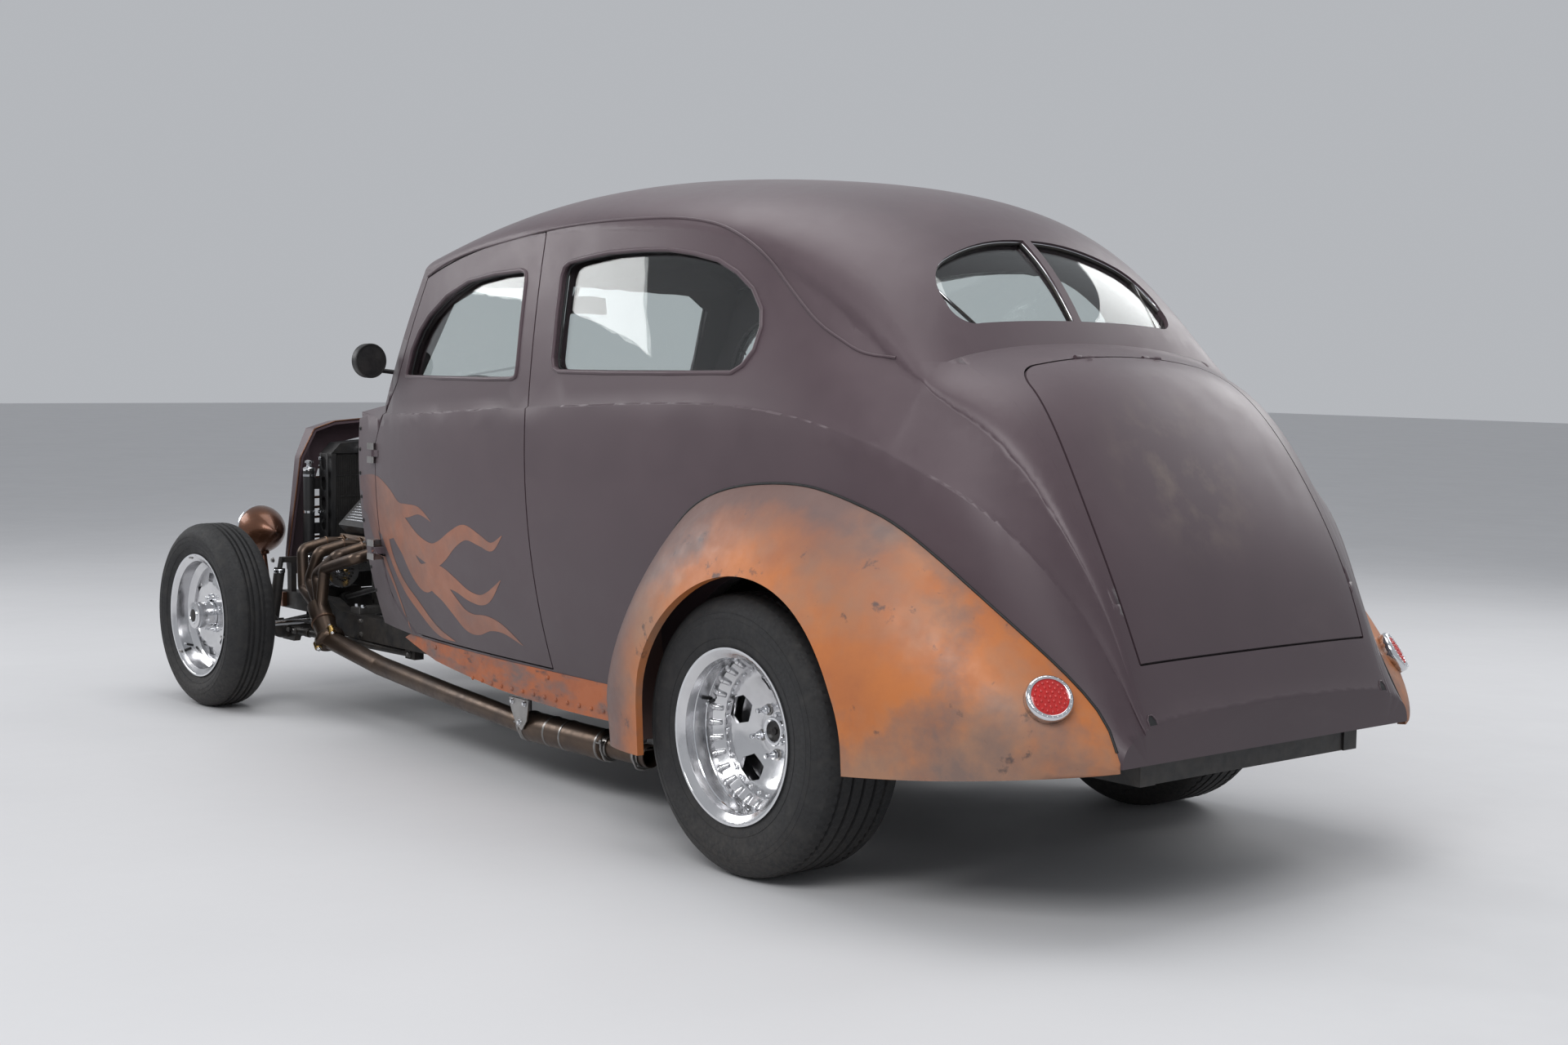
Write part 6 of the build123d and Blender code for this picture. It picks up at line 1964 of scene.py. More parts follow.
    @staticmethod
    def _holed_plate(shape: Shape, corners: list[tuple[float, float]], y: float, sign: int) -> None:
        """Adds a plate on edge with a row of oval holes."""
        (s_low, z_low), (s_high, _), (_, z_high), _ = corners
        shape.box(spot(s_low, y - 2, z_low), spot(s_low + 13, y + 2, z_high), Surfaces.BLACK, 1.2)
        shape.box(spot(s_high - 13, y - 2, z_low), spot(s_high, y + 2, z_high), Surfaces.BLACK, 1.2)
        count = 6
        pitch = (z_high - z_low) / count
        for k in range(count + 1):
            z = z_low + pitch * k
            shape.box(
                spot(s_low + 4, y - 1.6, max(z - 12, z_low)), spot(s_high - 4, y + 1.6, min(z + 12, z_high)),
                Surfaces.BLACK, 1.0,
            )
            for s, turn in ((s_low + 15, 1), (s_high - 15, -1)):
                for dz in (-12, 12):
                    if not z_low < z + dz < z_high:
                        continue
                    shape.plate(
                        [
                            spot(s - 3 * turn, y - 1.4, z), spot(s + 12 * turn, y - 1.4, z + dz * 0.9),
                            spot(s + 3 * turn, y - 1.4, z + dz * 1.35),
                            spot(s - 3 * turn, y - 1.4, z + dz * 2.1),
                        ],
                        Vector((0, 2.8, 0)), Surfaces.BLACK,
                    )
        shape.box(
            spot(s_high - 4, y - 1.8, z_low + 10), spot(s_high + 10, y + 1.8 + 10 * (sign > 0), z_low + 40),
            Surfaces.BLACK, 1.0,
        )

    def _fan(self) -> None:
        """Adds the bolts and the cap of the fan's hub."""
        shape = Shape("fan_fittings")
        for k in range(6):
            angle = math.tau * k / 6
            foot = spot(2945, 44 * math.cos(angle), 560 + 44 * math.sin(angle))
            shape.bolt(foot, self.AHEAD, 9.0, Surfaces.CHROME)
        shape.turned(
            [(0.01, 2954), (26, 2953), (32, 2949), (32, 2944)], Vector((REAR_AXLE_X, 0, 560)), self.AHEAD,
            Surfaces.CHROME, 40, False,
        )
        shape.done("chassis", "chrome")


def hull(points: list[tuple[float, float]]) -> list[tuple[float, float]]:
    """Finds the convex outline of flat points, in turning order.

    Args:
        points: The points.

    Returns:
        The outline.
    """
    ordered = sorted(set(points))
    halves = []
    for run in (ordered, ordered[::-1]):
        chain: list[tuple[float, float]] = []
        for point in run:
            while len(chain) >= 2:
                (ax, ay), (bx, by) = chain[-2], chain[-1]
                if (bx - ax) * (point[1] - ay) - (by - ay) * (point[0] - ax) > 1e-9:
                    break
                chain.pop()
            chain.append(point)
        halves.append(chain[:-1])
    return halves[0] + halves[1]


class Rims:
    """Finds the outlines of glass panes."""

    def __init__(self, skins: Skins) -> None:
        """Keeps the copies of the CAD nodes.

        Args:
            skins: The copies.
        """
        self.skins = skins

    def loops(self, node: str, out: float) -> list[list[Vector]]:
        """Walks round the outer face of each pane.

        Args:
            node: CAD node of the glass.
            out: Distance outside the glass in millimetres.

        Returns:
            Closed chains in millimetres.
        """
        bm = bmesh.new()
        bm.from_mesh(self.skins.meshes[node])
        heart = Vector((-0.2, 0.0, 1.0))
        ways: dict[Vert, list[Vert]] = {}
        push: dict[Vert, Vector] = {}
        for edge in bm.edges:
            if len(edge.link_faces) != 2 or edge.calc_face_angle(0.0) < math.radians(50):
                continue
            outer = [f for f in edge.link_faces if f.normal.dot((f.calc_center_median() - heart).normalized()) > 0.35]
            if len(outer) != 1 or outer[0].calc_area() < 1e-6:
                continue
            for vert in edge.verts:
                ways.setdefault(vert, []).append(edge.other_vert(vert))
                push[vert] = push.get(vert, Vector()) + outer[0].normal
        loops = []
        while ways:
            start = next(iter(ways))
            chain, here = [start], start
            while ways.get(here):
                after = ways[here].pop()
                ways[after].remove(here)
                if not ways[here]:
                    del ways[here]
                here = after
                if here is start:
                    break
                chain.append(here)
            if here in ways and not ways[here]:
                del ways[here]
            if len(chain) > 8:
                loops.append(self._even([v.co / MM + push[v].normalized() * out for v in chain]))
        bm.free()
        return loops

    @staticmethod
    def _even(chain: list[Vector], gap: float = 9.0) -> list[Vector]:
        """Drops places that lie too close together."""
        result = [chain[0]]
        for point in chain[1:]:
            if (point - result[-1]).length > gap:
                result.append(point)
        if (result[-1] - result[0]).length < gap:
            result.pop()
        return result


class Trims:
    """What lies on the body: welts, window frames, lamps and screws."""

    ARCH = (-62.0, 360.0)
    REAR_END = -2096.5

    def __init__(self, body: Body) -> None:
        """Keeps the body and makes search trees.

        Args:
            body: The dressed body.
        """
        self.skins = body.skins
        self.probe = body.probe
        self.fender = SkinProbe(body.skins.tree(("rear_fenders",)))
        self.sill = SkinProbe(body.skins.tree(("sill_panels",)))

    def build(self) -> None:
        """Adds every trim."""
        self._panes()
        for side in Side:
            self._welt(side)
            self._tail_lamp(side)
            self._pan_slot(side)
            self._sill_bolts(side)
            self._cowl_screws(side)
            self._headlamp(side)
            self._mirror(side)
        self._shell_edge()

    def _panes(self) -> None:
        """Adds the seals round the front and rear glass."""
        rims = Rims(self.skins)
        rear = Shape("rear_window_trim")
        for loop in rims.loops("rear_glass", 3.0):
            rear.pipe(loop, 5.5, Surfaces.DARK, 10, 0, True)
        for loop in rims.loops("rear_glass", 6.5):
            rear.pipe(loop, 2.8, Surfaces.CHROME, 10, 0, True)
        rear.done("chassis", "chrome", 60.0)
        front = Shape("windshield_trim")
        for loop in rims.loops("windshield_glass", 2.0):
            front.pipe(loop, 6.0, Surfaces.RUBBER, 10, 0, True)
        front.done("chassis", "dark_metal", 60.0)

    def _welt(self, side: Side) -> None:
        """Adds the welt between a rear fender and the body."""
        line = []
        for degree in range(-6, 180, 3):
            angle = math.radians(degree)
            ahead, up = math.cos(angle), math.sin(angle)
            found = None
            for step in range(64):
                radius = 1010.0 - 10.0 * step
                if self._proud(ahead, up, radius, side):
                    low, high = radius, radius + 10.0
                    for _ in range(7):
                        half = (low + high) / 2
                        if self._proud(ahead, up, half, side):
                            low = half
                        else:
                            high = half
                    found = low
                    break
            if found is None or found > 995.0:
                continue
            s, z = self.ARCH[0] + ahead * found, self.ARCH[1] + up * found
            place_on = self.probe.side(s, z, side, 0.6)
            if place_on is not None and z > 352:
                line.append(place_on)
        if len(line) > 6:
            shape = Shape(f"fender_welt_{side.word}")
            shape.pipe(line, 3.6, Surfaces.RUBBER, 8, 14)
            shape.done("chassis", "dark_metal", 60.0)

    def _proud(self, ahead: float, up: float, radius: float, side: Side) -> bool:
        """Tells whether the fender lies outside the body at a place seen from the side."""
        s, z = self.ARCH[0] + ahead * radius, self.ARCH[1] + up * radius
        on_fender = self.fender.side(s, z, side)
        if on_fender is None:
            return False
        on_body = self.probe.side(s, z, side)
        return on_body is None or abs(on_fender.y) > abs(on_body.y)

    @staticmethod
    def _tail_lamp(side: Side) -> None:
        """Adds the lens, the ring and the points of one tail lamp."""
        sign = side.value
        shape = Shape(f"tail_lamp_{side.word}")
        origin = spot(-810, sign * 614, 510)
        axis = Vector((-0.725, sign * 0.42, 0.546)).normalized()
        first = Vector((0, sign * 0.7926, -0.6097)).normalized()
        other = axis.cross(first).normalized()
        shape.turned(
            [(40.5, 16.0), (41.5, 19.5), (44.0, 20.6), (47.5, 19.8), (50.5, 17.0), (52.6, 12.0), (51.8, 8.0)],
            origin, axis, Surfaces.CHROME, 56, False, first,
        )
        shape.turned(
            [(0.01, 20.2), (14.0, 19.9), (28.0, 18.9), (38.0, 17.4), (41.5, 16.4)], origin, axis,
            Surfaces.RED, 56, False, first,
        )
        for k in range(26):
            angle = math.tau * k / 26
            foot = origin + axis * 20.0 + (first * math.cos(angle) + other * math.sin(angle)) * 46.0
            shape.ball(foot, 1.9, Surfaces.CHROME)
        for count, radius, height in ((1, 0.0, 19.6), (6, 11.5, 19.4), (12, 22.5, 18.7), (18, 33.0, 17.6)):
            for k in range(count):
                angle = math.tau * (k + 0.25) / count
                foot = origin + axis * height + (first * math.cos(angle) + other * math.sin(angle)) * radius
                shape.ball(foot, 3.6, Surfaces.LED)
        shape.done("chassis", "lamp_red", 40.0)

    def _pan_slot(self, side: Side) -> None:
        """Adds one slot of the roll pan, drawn as a black sheet of painted shade on the skin, and its rim."""
        shape = Shape(f"pan_slot_{side.word}")
        rim, rows = [], []
        for k in range(13):
            z = 366.0 + 9.0 * k
            half = 12.0 if z < 462 else 12.0 * math.sqrt(max(1.0 - ((z - 462) / 13.0) ** 2, 0.01))
            row = []
            for part in (-1.0, -0.5, 0.0, 0.5, 1.0):
                row.append(self.probe.along(spot(-1300, side.value * 415 + part * half, z), Vector((1, 0, 0)), 0.7))
            if None not in row:
                rows.append([Vector((max(p.x, self.REAR_END + 0.1), p.y, p.z)) for p in row])
        if len(rows) < 4:
            return
        verts = [[shape.bm.verts.new(point) for point in row] for row in rows]
        faces = [
            shape.bm.faces.new((a[k], a[k + 1], b[k + 1], b[k])) for a, b in zip(verts, verts[1:]) for k in range(4)
        ]
        # painted shade: the black sheet on the skin stands for the shaded inside of the open slot
        shape.dress(faces, Surfaces.RUBBER)
        rim = [row[0] for row in rows] + rows[-1][1:4] + [row[4] for row in rows[::-1]] + rows[0][3:0:-1]
        rim = [Vector((max(p.x, self.REAR_END + 1.9), p.y, p.z)) for p in rim]
        shape.pipe(rim, 1.8, Surfaces.BODY, 8, 0, True)
        shape.done("chassis", "dark_metal", 60.0)

    def _sill_bolts(self, side: Side) -> None:
        """Adds the bolts along one sill."""
        shape = Shape(f"sill_bolts_{side.word}")
        places = [(s, 270.0) for s in range(530, 1960, 58)] + [(1036.0, 326.0), (1700.0, 330.0)]
        for s, z in places:
            foot = self.sill.side(s, z, side)
            if foot is not None:
                shape.rod(foot, foot + Vector((0, side.value * 2.4, 0)), 6.0, Surfaces.SILL, 14, 0.7)
                shape.ball(foot + Vector((0, side.value * 2.2, 0)), 4.6, Surfaces.SILL, Vector((1, 0.6, 1)))
        shape.done("chassis", "fender_paint", 40.0)

    def _cowl_screws(self, side: Side) -> None:
        """Adds the screws down the side of the cowl."""
        shape = Shape(f"cowl_screws_{side.word}")
        for z in (455, 530, 605, 680, 755, 830, 905, 970):
            foot = self.probe.side(2184, z, side)
            if foot is not None:
                shape.rod(foot, foot + Vector((0, side.value * 2.6, 0)), 6.4, Surfaces.BLACK, 14, 1.0)
                shape.rod(
                    foot + Vector((0, side.value * 2.4, 0)), foot + Vector((0, side.value * 4.0, 0)), 3.2,
                    Surfaces.DARK, 6,
                )
        shape.done("chassis", "dark_metal", 40.0)

    @staticmethod
    def _headlamp(side: Side) -> None:
        """Adds the rim and the mount of one headlamp."""
        sign = side.value
        shape = Shape(f"headlamp_trim_{side.word}")
        middle = Vector((REAR_AXLE_X, sign * 409, 572))
        ahead = Vector((1, 0, 0))
        shape.turned(
            [(74, 3214.5), (76, 3219), (81, 3221), (86, 3218), (88.5, 3211), (88.0, 3202), (85.8, 3198)],
            middle, ahead, Surfaces.CHROME, 64, False,
        )
        shape.turned(
            [(70.0, 3216.6), (71.5, 3219.0), (74.5, 3219.0), (75.5, 3215.0)], middle, ahead, Surfaces.BLACK,
            64, False,
        )
        shape.rod(
            middle + Vector((3168, 0, -86)), middle + Vector((3168, 0, -58)), 17, Surfaces.COPPER, 28, 3.0,
        )
        shape.bolt(middle + Vector((3182, 0, -78)), Vector((0, 0, -1)), 22.0, Surfaces.CHROME)
        shape.bolt(middle + Vector((3209, 0, -88)), Vector((0, 0, -1)), 8.0, Surfaces.CHROME, False)
        shape.ball(middle + ahead * 3081, 5.0, Surfaces.COPPER)
        shape.done("chassis", "bronze", 40.0)

    @staticmethod
    def _mirror(side: Side) -> None:
        """Adds the rim and the pivot of one side mirror."""
        shape = Shape(f"side_mirror_trim_{side.word}")
        middle = Vector((REAR_AXLE_X, side.value * 668, 1185))
        shape.turned(
            [(46.5, 1932.6), (47.5, 1929.6), (51.0, 1929.6), (52.6, 1933.0), (52.6, 1940.0), (52.2, 1942.0)],
            middle, Vector((1, 0, 0)), Surfaces.BLACK, 56, False,
        )
        shape.ball(middle + Vector((1960, 0, -14)), 9.5, Surfaces.BLACK)
        shape.done("chassis", "dark_metal", 40.0)

    @staticmethod
    def _shell_edge() -> None:
        """Adds the bead round the grille shell."""
        half = [
            (166, 960), (247, 934), (302, 833), (318, 716), (335, 600), (351, 484), (344, 432), (300, 412),
        ]
        line = [spot(3100, 0, 973)] + [spot(3100, y, z) for y, z in half] + [spot(3100, 0, 405)]
        line += [spot(3100, -y, z) for y, z in half[::-1]]
        shape = Shape("grille_shell_edge")
        shape.pipe(line, 3.2, Surfaces.COPPER, 10, 26, True)
        shape.done("chassis", "bronze", 60.0)


@dataclass(frozen=True)
class Pad:
    """One stuffed part of a seat.

    Attributes:
        name: Name of the piece.
        corners: Side outline as pairs of s and height in millimetres.
        low: Smaller y of the part in millimetres.
        high: Larger y of the part in millimetres.
        cell: Voxel size in millimetres.
        pleats: Places across where the cover is sewn down.
        face: Direction that the sewn face looks in.
    """

    name: str
    corners: tuple[tuple[float, float], ...]
    low: float
    high: float
    cell: float
    pleats: tuple[float, ...]
    face: tuple[float, float, float]


class Seats:
    """Front seats and rear bench with stuffed leather covers."""

    EDGE = 34.0
    SEAM_DEPTH = 4.0
    WELT = 4.0
    CAP = 18.0
    PRESSURE = 4.0
    FRAMES = 20
    CUSHION = ((1186, 500), (1202, 634), (1300, 636), (1592, 640), (1622, 612), (1624, 500))
    BACK = ((1166, 622), (1286, 660), (1172, 1138), (1146, 1164), (1092, 1164), (1078, 1140))
    BENCH = ((346, 512), (444, 664), (742, 674), (770, 636), (766, 514))
    BENCH_BACK = ((338, 520), (430, 668), (308, 1088), (282, 1112), (236, 1112), (227, 1096))

    def build(self) -> None:
        """Adds the stuffed parts and the seat bases."""
        for side in Side:
            low, high = sorted((side.value * 164, side.value * 556))
            pleats = tuple(side.value * y for y in (228, 276, 324, 372, 420, 468))
            self._stuffed(
                Pad(f"front_cushion_{side.word}", self.CUSHION, low, high, 9.0, pleats, (0, 0, 1)), (),
            )
            self._stuffed(Pad(f"front_back_{side.word}", self.BACK, low, high, 9.0, pleats, (1, 0, 0.26)), ())
        bench = tuple(range(-420, 421, 70))
        self._stuffed(Pad("rear_cushion", self.BENCH, -500, 500, 12.0, bench, (0, 0, 1)), ("rear_seat",))
        self._stuffed(Pad("rear_back", self.BENCH_BACK, -500, 500, 12.0, bench, (1, 0, 0.26)), ())
        self._bases()

    def _stuffed(self, pad: Pad, stands_for: tuple[str, ...]) -> None:
        """Builds one stuffed part and its welt."""
        bm = bmesh.new()
        face = bm.faces.new([bm.verts.new(place(s, pad.low, z)) for s, z in pad.corners])
        made = bmesh.ops.extrude_face_region(bm, geom=[face])
        moved = [item for item in made["geom"] if isinstance(item, Vert)]
        bmesh.ops.translate(bm, verts=moved, vec=Vector((0, (pad.high - pad.low) * MM, 0)))
        bmesh.ops.recalc_face_normals(bm, faces=bm.faces[:])
        bmesh.ops.bevel(bm, geom=bm.edges[:], offset=self.EDGE * MM, affect="EDGES", segments=4, profile=0.5)
        mesh = bpy.data.meshes.new(pad.name)
        bm.to_mesh(mesh)
        bm.free()
        piece = bpy.data.objects.new(pad.name, mesh)
        bpy.context.scene.collection.objects.link(piece)
        remesh = piece.modifiers.new("voxels", "REMESH")
        remesh.mode = "VOXEL"
        remesh.voxel_size = pad.cell * MM
        piece.data = self._applied(piece)
        sewn = self._sewn(piece, pad)
        self._fill(piece, sewn)
        self._draw_in(piece, sewn)
        piece.data.materials.append(Paint.of(Surfaces.LEATHER))
        piece.data.shade_smooth()
        smooth = piece.modifiers.new("smooth", "SUBSURF")
        smooth.levels = smooth.render_levels = 1
        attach(piece, "chassis")
        if stands_for:
            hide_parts(*stands_for)
        self._piping(piece, pad)
        log.info("%s: %d faces", pad.name, len(piece.data.polygons))

    @staticmethod
    def _applied(piece: bpy.types.Object) -> bpy.types.Mesh:
        """Gives the mesh that the modifiers make and clears them."""
        graph = bpy.context.evaluated_depsgraph_get()
        mesh = bpy.data.meshes.new_from_object(piece.evaluated_get(graph))
        piece.modifiers.clear()
        return mesh

    def _sewn(self, piece: bpy.types.Object, pad: Pad) -> list[int]:
        """Picks the points along the pleats of the sewn face."""
        out = Vector(pad.face).normalized()
        near = pad.cell * 0.55
        return [
            v.index for v in piece.data.vertices
            if v.normal.dot(out) > 0.8 and any(abs(v.co.y / MM - y) < near for y in pad.pleats)
        ]

    def _fill(self, piece: bpy.types.Object, sewn: list[int]) -> None:
        """Swells the cover under pressure, held along its seams."""
        rest = [v.co.copy() for v in piece.data.vertices]
        held = piece.vertex_groups.new(name="held")
        held.add(sewn, 1.0, "REPLACE")
        cloth = piece.modifiers.new("cover", "CLOTH")
        cloth.settings.use_pressure = True
        cloth.settings.uniform_pressure_force = self.PRESSURE
        cloth.settings.effector_weights.gravity = 0.0
        cloth.settings.vertex_group_mass = "held"
        cloth.point_cache.frame_start = 1
        cloth.point_cache.frame_end = self.FRAMES
        scene = bpy.context.scene
        for frame_number in range(1, self.FRAMES + 1):
            scene.frame_set(frame_number)
        swollen = self._applied(piece)
        for vert, start in zip(piece.data.vertices, rest):
            move = swollen.vertices[vert.index].co - start
            if move.length > self.CAP * MM:
                move *= self.CAP * MM / move.length
            vert.co = start + move
        bpy.data.meshes.remove(swollen)
        piece.vertex_groups.clear()
        scene.frame_set(1)

    def _draw_in(self, piece: bpy.types.Object, sewn: list[int]) -> None:
        """Pulls the seams in a little more than the simulation does."""
        normals = {index: piece.data.vertices[index].normal.copy() for index in sewn}
        for index, normal in normals.items():
            piece.data.vertices[index].co -= normal * self.SEAM_DEPTH * MM

    def _piping(self, piece: bpy.types.Object, pad: Pad) -> None:
        """Lays a welt round both ends of the cover."""
        welt = Shape(f"{pad.name}_welt")
        for y in (pad.low + self.EDGE * 0.5, pad.high - self.EDGE * 0.5):
            bm = bmesh.new()
            bm.from_mesh(piece.data)
            cut = bmesh.ops.bisect_plane(
                bm, geom=bm.verts[:] + bm.edges[:] + bm.faces[:], plane_co=Vector((0, y * MM, 0)),
                plane_no=Vector((0, 1, 0)), dist=1e-6,
            )
            edges = [item for item in cut["geom_cut"] if isinstance(item, bmesh.types.BMEdge)]
            ways: dict[Vert, list[Vert]] = {}
            for edge in edges:
                for vert in edge.verts:
                    ways.setdefault(vert, []).append(edge.other_vert(vert))
            start = next(iter(ways))
            chain, here, last = [start], ways[start][0], start
            while here is not start:
                chain.append(here)
                ahead = [v for v in ways[here] if v is not last]
                if not ahead:
                    break
                here, last = ahead[0], here
            points = [v.co / MM for v in chain[::2]]
            bm.free()
            if len(points) > 10:
                welt.pipe(points, self.WELT, Surfaces.TAN, 6, 0, True)
        welt.done("chassis", "vinyl", 60.0)

    def _bases(self) -> None:
        """Adds the frames and slides under the front seats."""
        base = Shape("front_seat_bases")
        for side in Side:
            y = side.value * 360
            base.box(spot(1200, y - 176, 372), spot(1606, y + 176, 492), Surfaces.DARK, 10.0)
            for across in (-150, 150):
                rail = spot(1186, y + across - 16, 351.5)
                base.box(rail, rail + Vector((444, 32, 12.5)), Surfaces.BRUSHED, 3.0)
                for s in (1230, 1420, 1600):
                    block = spot(s - 14, y + across - 12, 362)
                    base.box(block, block + Vector((28, 24, 12)), Surfaces.DARK, 2.0)
                    base.bolt(spot(s + 22, y + across, 364), Vector((0, 0, 1)), 13.0, Surfaces.BRUSHED)
            base.box(spot(1170, y - 190, 486), spot(1616, y + 190, 504), Surfaces.BLACK, 6.0)
        base.done("chassis", "dark_metal", 40.0, ("front_seats",))


class Interior:
    """Dash, steering wheel, pedals, levers and door trim."""

    DASH_S = 1861.0
    INSIDE_Y = 520.0
    CARD_S = (1066.0, 1954.0)
    CARD_Z = (410.0, 950.0)
    CARD_CELLS = (46, 26)
    CARD_DEPTH = 5.0
    PLEAT = 58.0

    def __init__(self, body: Body) -> None:
        """Makes the search trees of the doors.

        Args:
            body: The dressed body.
        """
        self.doors = {side: body.skins.tree((f"door_{side.word}",)) for side in Side}

    def build(self) -> None:
        """Adds everything inside the cabin."""
        Seats().build()
        self._gauges()
        self._dash_fittings()
        self._wheel()
        self._pedals()
        self._levers()
        for side in Side:
            self._door_card(side)

    def _gauges(self) -> None:
        """Adds the round instruments."""
        shape = Shape("dash_gauges")
        for y, z, radius in ((372, 978, 29), (288, 978, 29), (218, 984, 19), (168, 984, 19), (118, 984, 19)):
            middle = spot(self.DASH_S, y, z)
            shape.turned(
                [(0, 0), (radius, 0), (radius + 4, -2), (radius + 5, -6), (radius + 2, -9), (radius - 1, -6),
                 (radius - 2, -3), (0, -3)],
                middle, Vector((1, 0, 0)), Surfaces.CHROME, 40,
            )
            shape.turned([(0, -3.2), (radius - 2.2, -3.2)], middle, Vector((1, 0, 0)), Surfaces.FACE, 32)
            for tick in range(11):
                angle = math.radians(225 - 27 * tick)
                ray = Vector((0, -math.cos(angle), math.sin(angle)))
                foot = middle + ray * (radius - 7) - Vector((3.6, 0, 0))
                shape.rod(foot, foot + ray * 4.0, 0.7, Surfaces.BLACK, 4)
            needle = Vector((0, -0.55, -0.83))
            foot = middle - Vector((4.6, 0, 0))
            shape.rod(foot - needle * 4, foot + needle * (radius - 8), 0.9, Surfaces.RED, 5)
            shape.ball(foot, 3.0, Surfaces.BLACK)
        shape.done("chassis", "chrome", 40.0)

    def _dash_fittings(self) -> None:
        """Adds the glove box lid, the knobs and the speaker grille."""
        shape = Shape("dash_fittings")
        s = self.DASH_S
        shape.box(spot(s - 3, -430, 946), spot(s + 1, -190, 1008), Surfaces.BODY, 2.0)
        shape.box(spot(s - 5, -424, 951), spot(s - 2.5, -196, 1003), Surfaces.PLUM, 1.5)
        shape.turned([(0, -4), (7, -4), (7, -14), (9, -17), (8, -21), (0, -22)], spot(s, -310, 996),
                     Vector((1, 0, 0)), Surfaces.CHROME, 20)
        for y in (60, 20, -20, -60, -100):
            shape.turned([(0, 0), (6, 0), (5, -6), (8, -12), (8, -17), (0, -19)], spot(s, y, 966),
                         Vector((1, 0, 0)), Surfaces.CHROME, 18)
        shape.box(spot(s - 2, -120, 990), spot(s + 1, 84, 1012), Surfaces.BLACK, 1.0)
        for step in range(9):
            y = -106 + step * 22
            shape.rod(spot(s - 3, y, 993), spot(s - 3, y, 1009), 1.6, Surfaces.CHROME, 6)
        for y in (-500, 500):
            for z in (958, 998):
                shape.bolt(spot(s, y, z), Vector((-1, 0, 0)), 8.0, Surfaces.CHROME, False)
        shape.done("chassis", "chrome", 40.0)

    def _wheel(self) -> None:
        """Adds the hub, spoke rings and wrapped rim of the steering wheel."""
        hub = spot(1750, 330, 985)
        axis = Vector((-0.777, 0, 0.629))
        shape = Shape("steering_wheel_hub")
        shape.turned(
            [(0, 10), (44, 10), (46, 14), (40, 22), (30, 27), (26, 27), (24, 31), (16, 35), (0, 36)],
            hub, axis, Surfaces.POLISHED, 36,
        )
        across = Vector((0, 1, 0))
        upward = axis.cross(across)
        for step in range(9):
            angle = math.radians(40 * step)
            foot = hub + (across * math.cos(angle) + upward * math.sin(angle)) * 34 + axis * 24
            shape.rod(foot, foot + axis * 4.5, 3.0, Surfaces.CHROME, 6, 0.5)
        for step in range(3):
            angle = math.radians(90 + 120 * step)
            ray = upward * math.sin(angle) + across * math.cos(angle)
            for out in (62, 92, 122, 152):
                foot = hub + ray * out + axis * 3.6
                shape.turned([(11, 0), (11, 1.4), (8, 1.8), (7.4, 0)], foot, axis, Surfaces.POLISHED, 20)
        for step in range(48):
            angle = math.radians(7.5 * step)
            ray = across * math.cos(angle) + upward * math.sin(angle)
            middle = hub + ray * 190
            ring = [
                middle + (ray * math.cos(t) + axis * math.sin(t)) * 12.2
                for t in (math.radians(a) for a in range(110, 251, 20))
            ]
            shape.pipe(ring, 1.6, Surfaces.LEATHER, 5)
        shape.done("steering_wheel", "polished", 40.0)

    def _pedals(self) -> None:
        """Adds the three hanging pedals."""
        shape = Shape("pedals")
        for y, size, foot in ((255, (34, 90), 2080), (345, (56, 66), 2052), (440, (56, 66), 2052)):
            wide, tall = size
            top = spot(2158, y, 640)
            pad = spot(foot, y, 455)
            shape.pipe([top, spot(2120, y, 560), pad + Vector((16, 0, 12))], 7.0, Surfaces.DARK, 8, 20.0)
            shape.box(
                spot(foot - 4, y - wide / 2, 455 - tall / 2), spot(foot + 8, y + wide / 2, 455 + tall / 2),
                Surfaces.DARK, 3.0,
            )
            rubber = spot(foot - 11, y - wide / 2 - 3, 452 - tall / 2)
            shape.box(rubber, rubber + Vector((8, wide + 6, tall + 6)), Surfaces.RUBBER, 3.0)
            for rib in range(5):
                z = 455 - tall / 2 + tall * (rib + 0.5) / 5
                shape.rod(
                    spot(foot - 12, y - wide / 2, z), spot(foot - 12, y + wide / 2, z), 2.4, Surfaces.RUBBER,
                    6,
                )
            shape.rod(top + Vector((0, -14, 0)), top + Vector((0, 14, 0)), 9.0, Surfaces.DARK, 12, 1.0)
        shape.done("chassis", "dark_metal", 40.0)

    def _levers(self) -> None:
        """Adds the shift lever and its boot."""
        shape = Shape("shift_lever")
        shape.turned(
            [(0, 0), (62, 0), (64, 4), (54, 10), (42, 26), (44, 32), (30, 44), (32, 50), (16, 66), (9, 72)],
            spot(1650, 0, 352), Vector((0, 0, 1)), Surfaces.RUBBER, 28,
        )
        shape.pipe(
            [spot(1650, 0, 410), spot(1640, 0, 520), spot(1606, 0, 640)], 7.0, Surfaces.CHROME, 12, 60.0,
        )
        shape.ball(spot(1604, 0, 656), 23.0, Surfaces.BLACK)
        shape.turned(
            [(0, -8), (12, -8), (12, 0), (9, 6), (0, 6)], spot(1607, 0, 634), Vector((-0.27, 0, 0.96)),
            Surfaces.CHROME, 20,
        )
        shape.done("chassis", "chrome", 50.0)

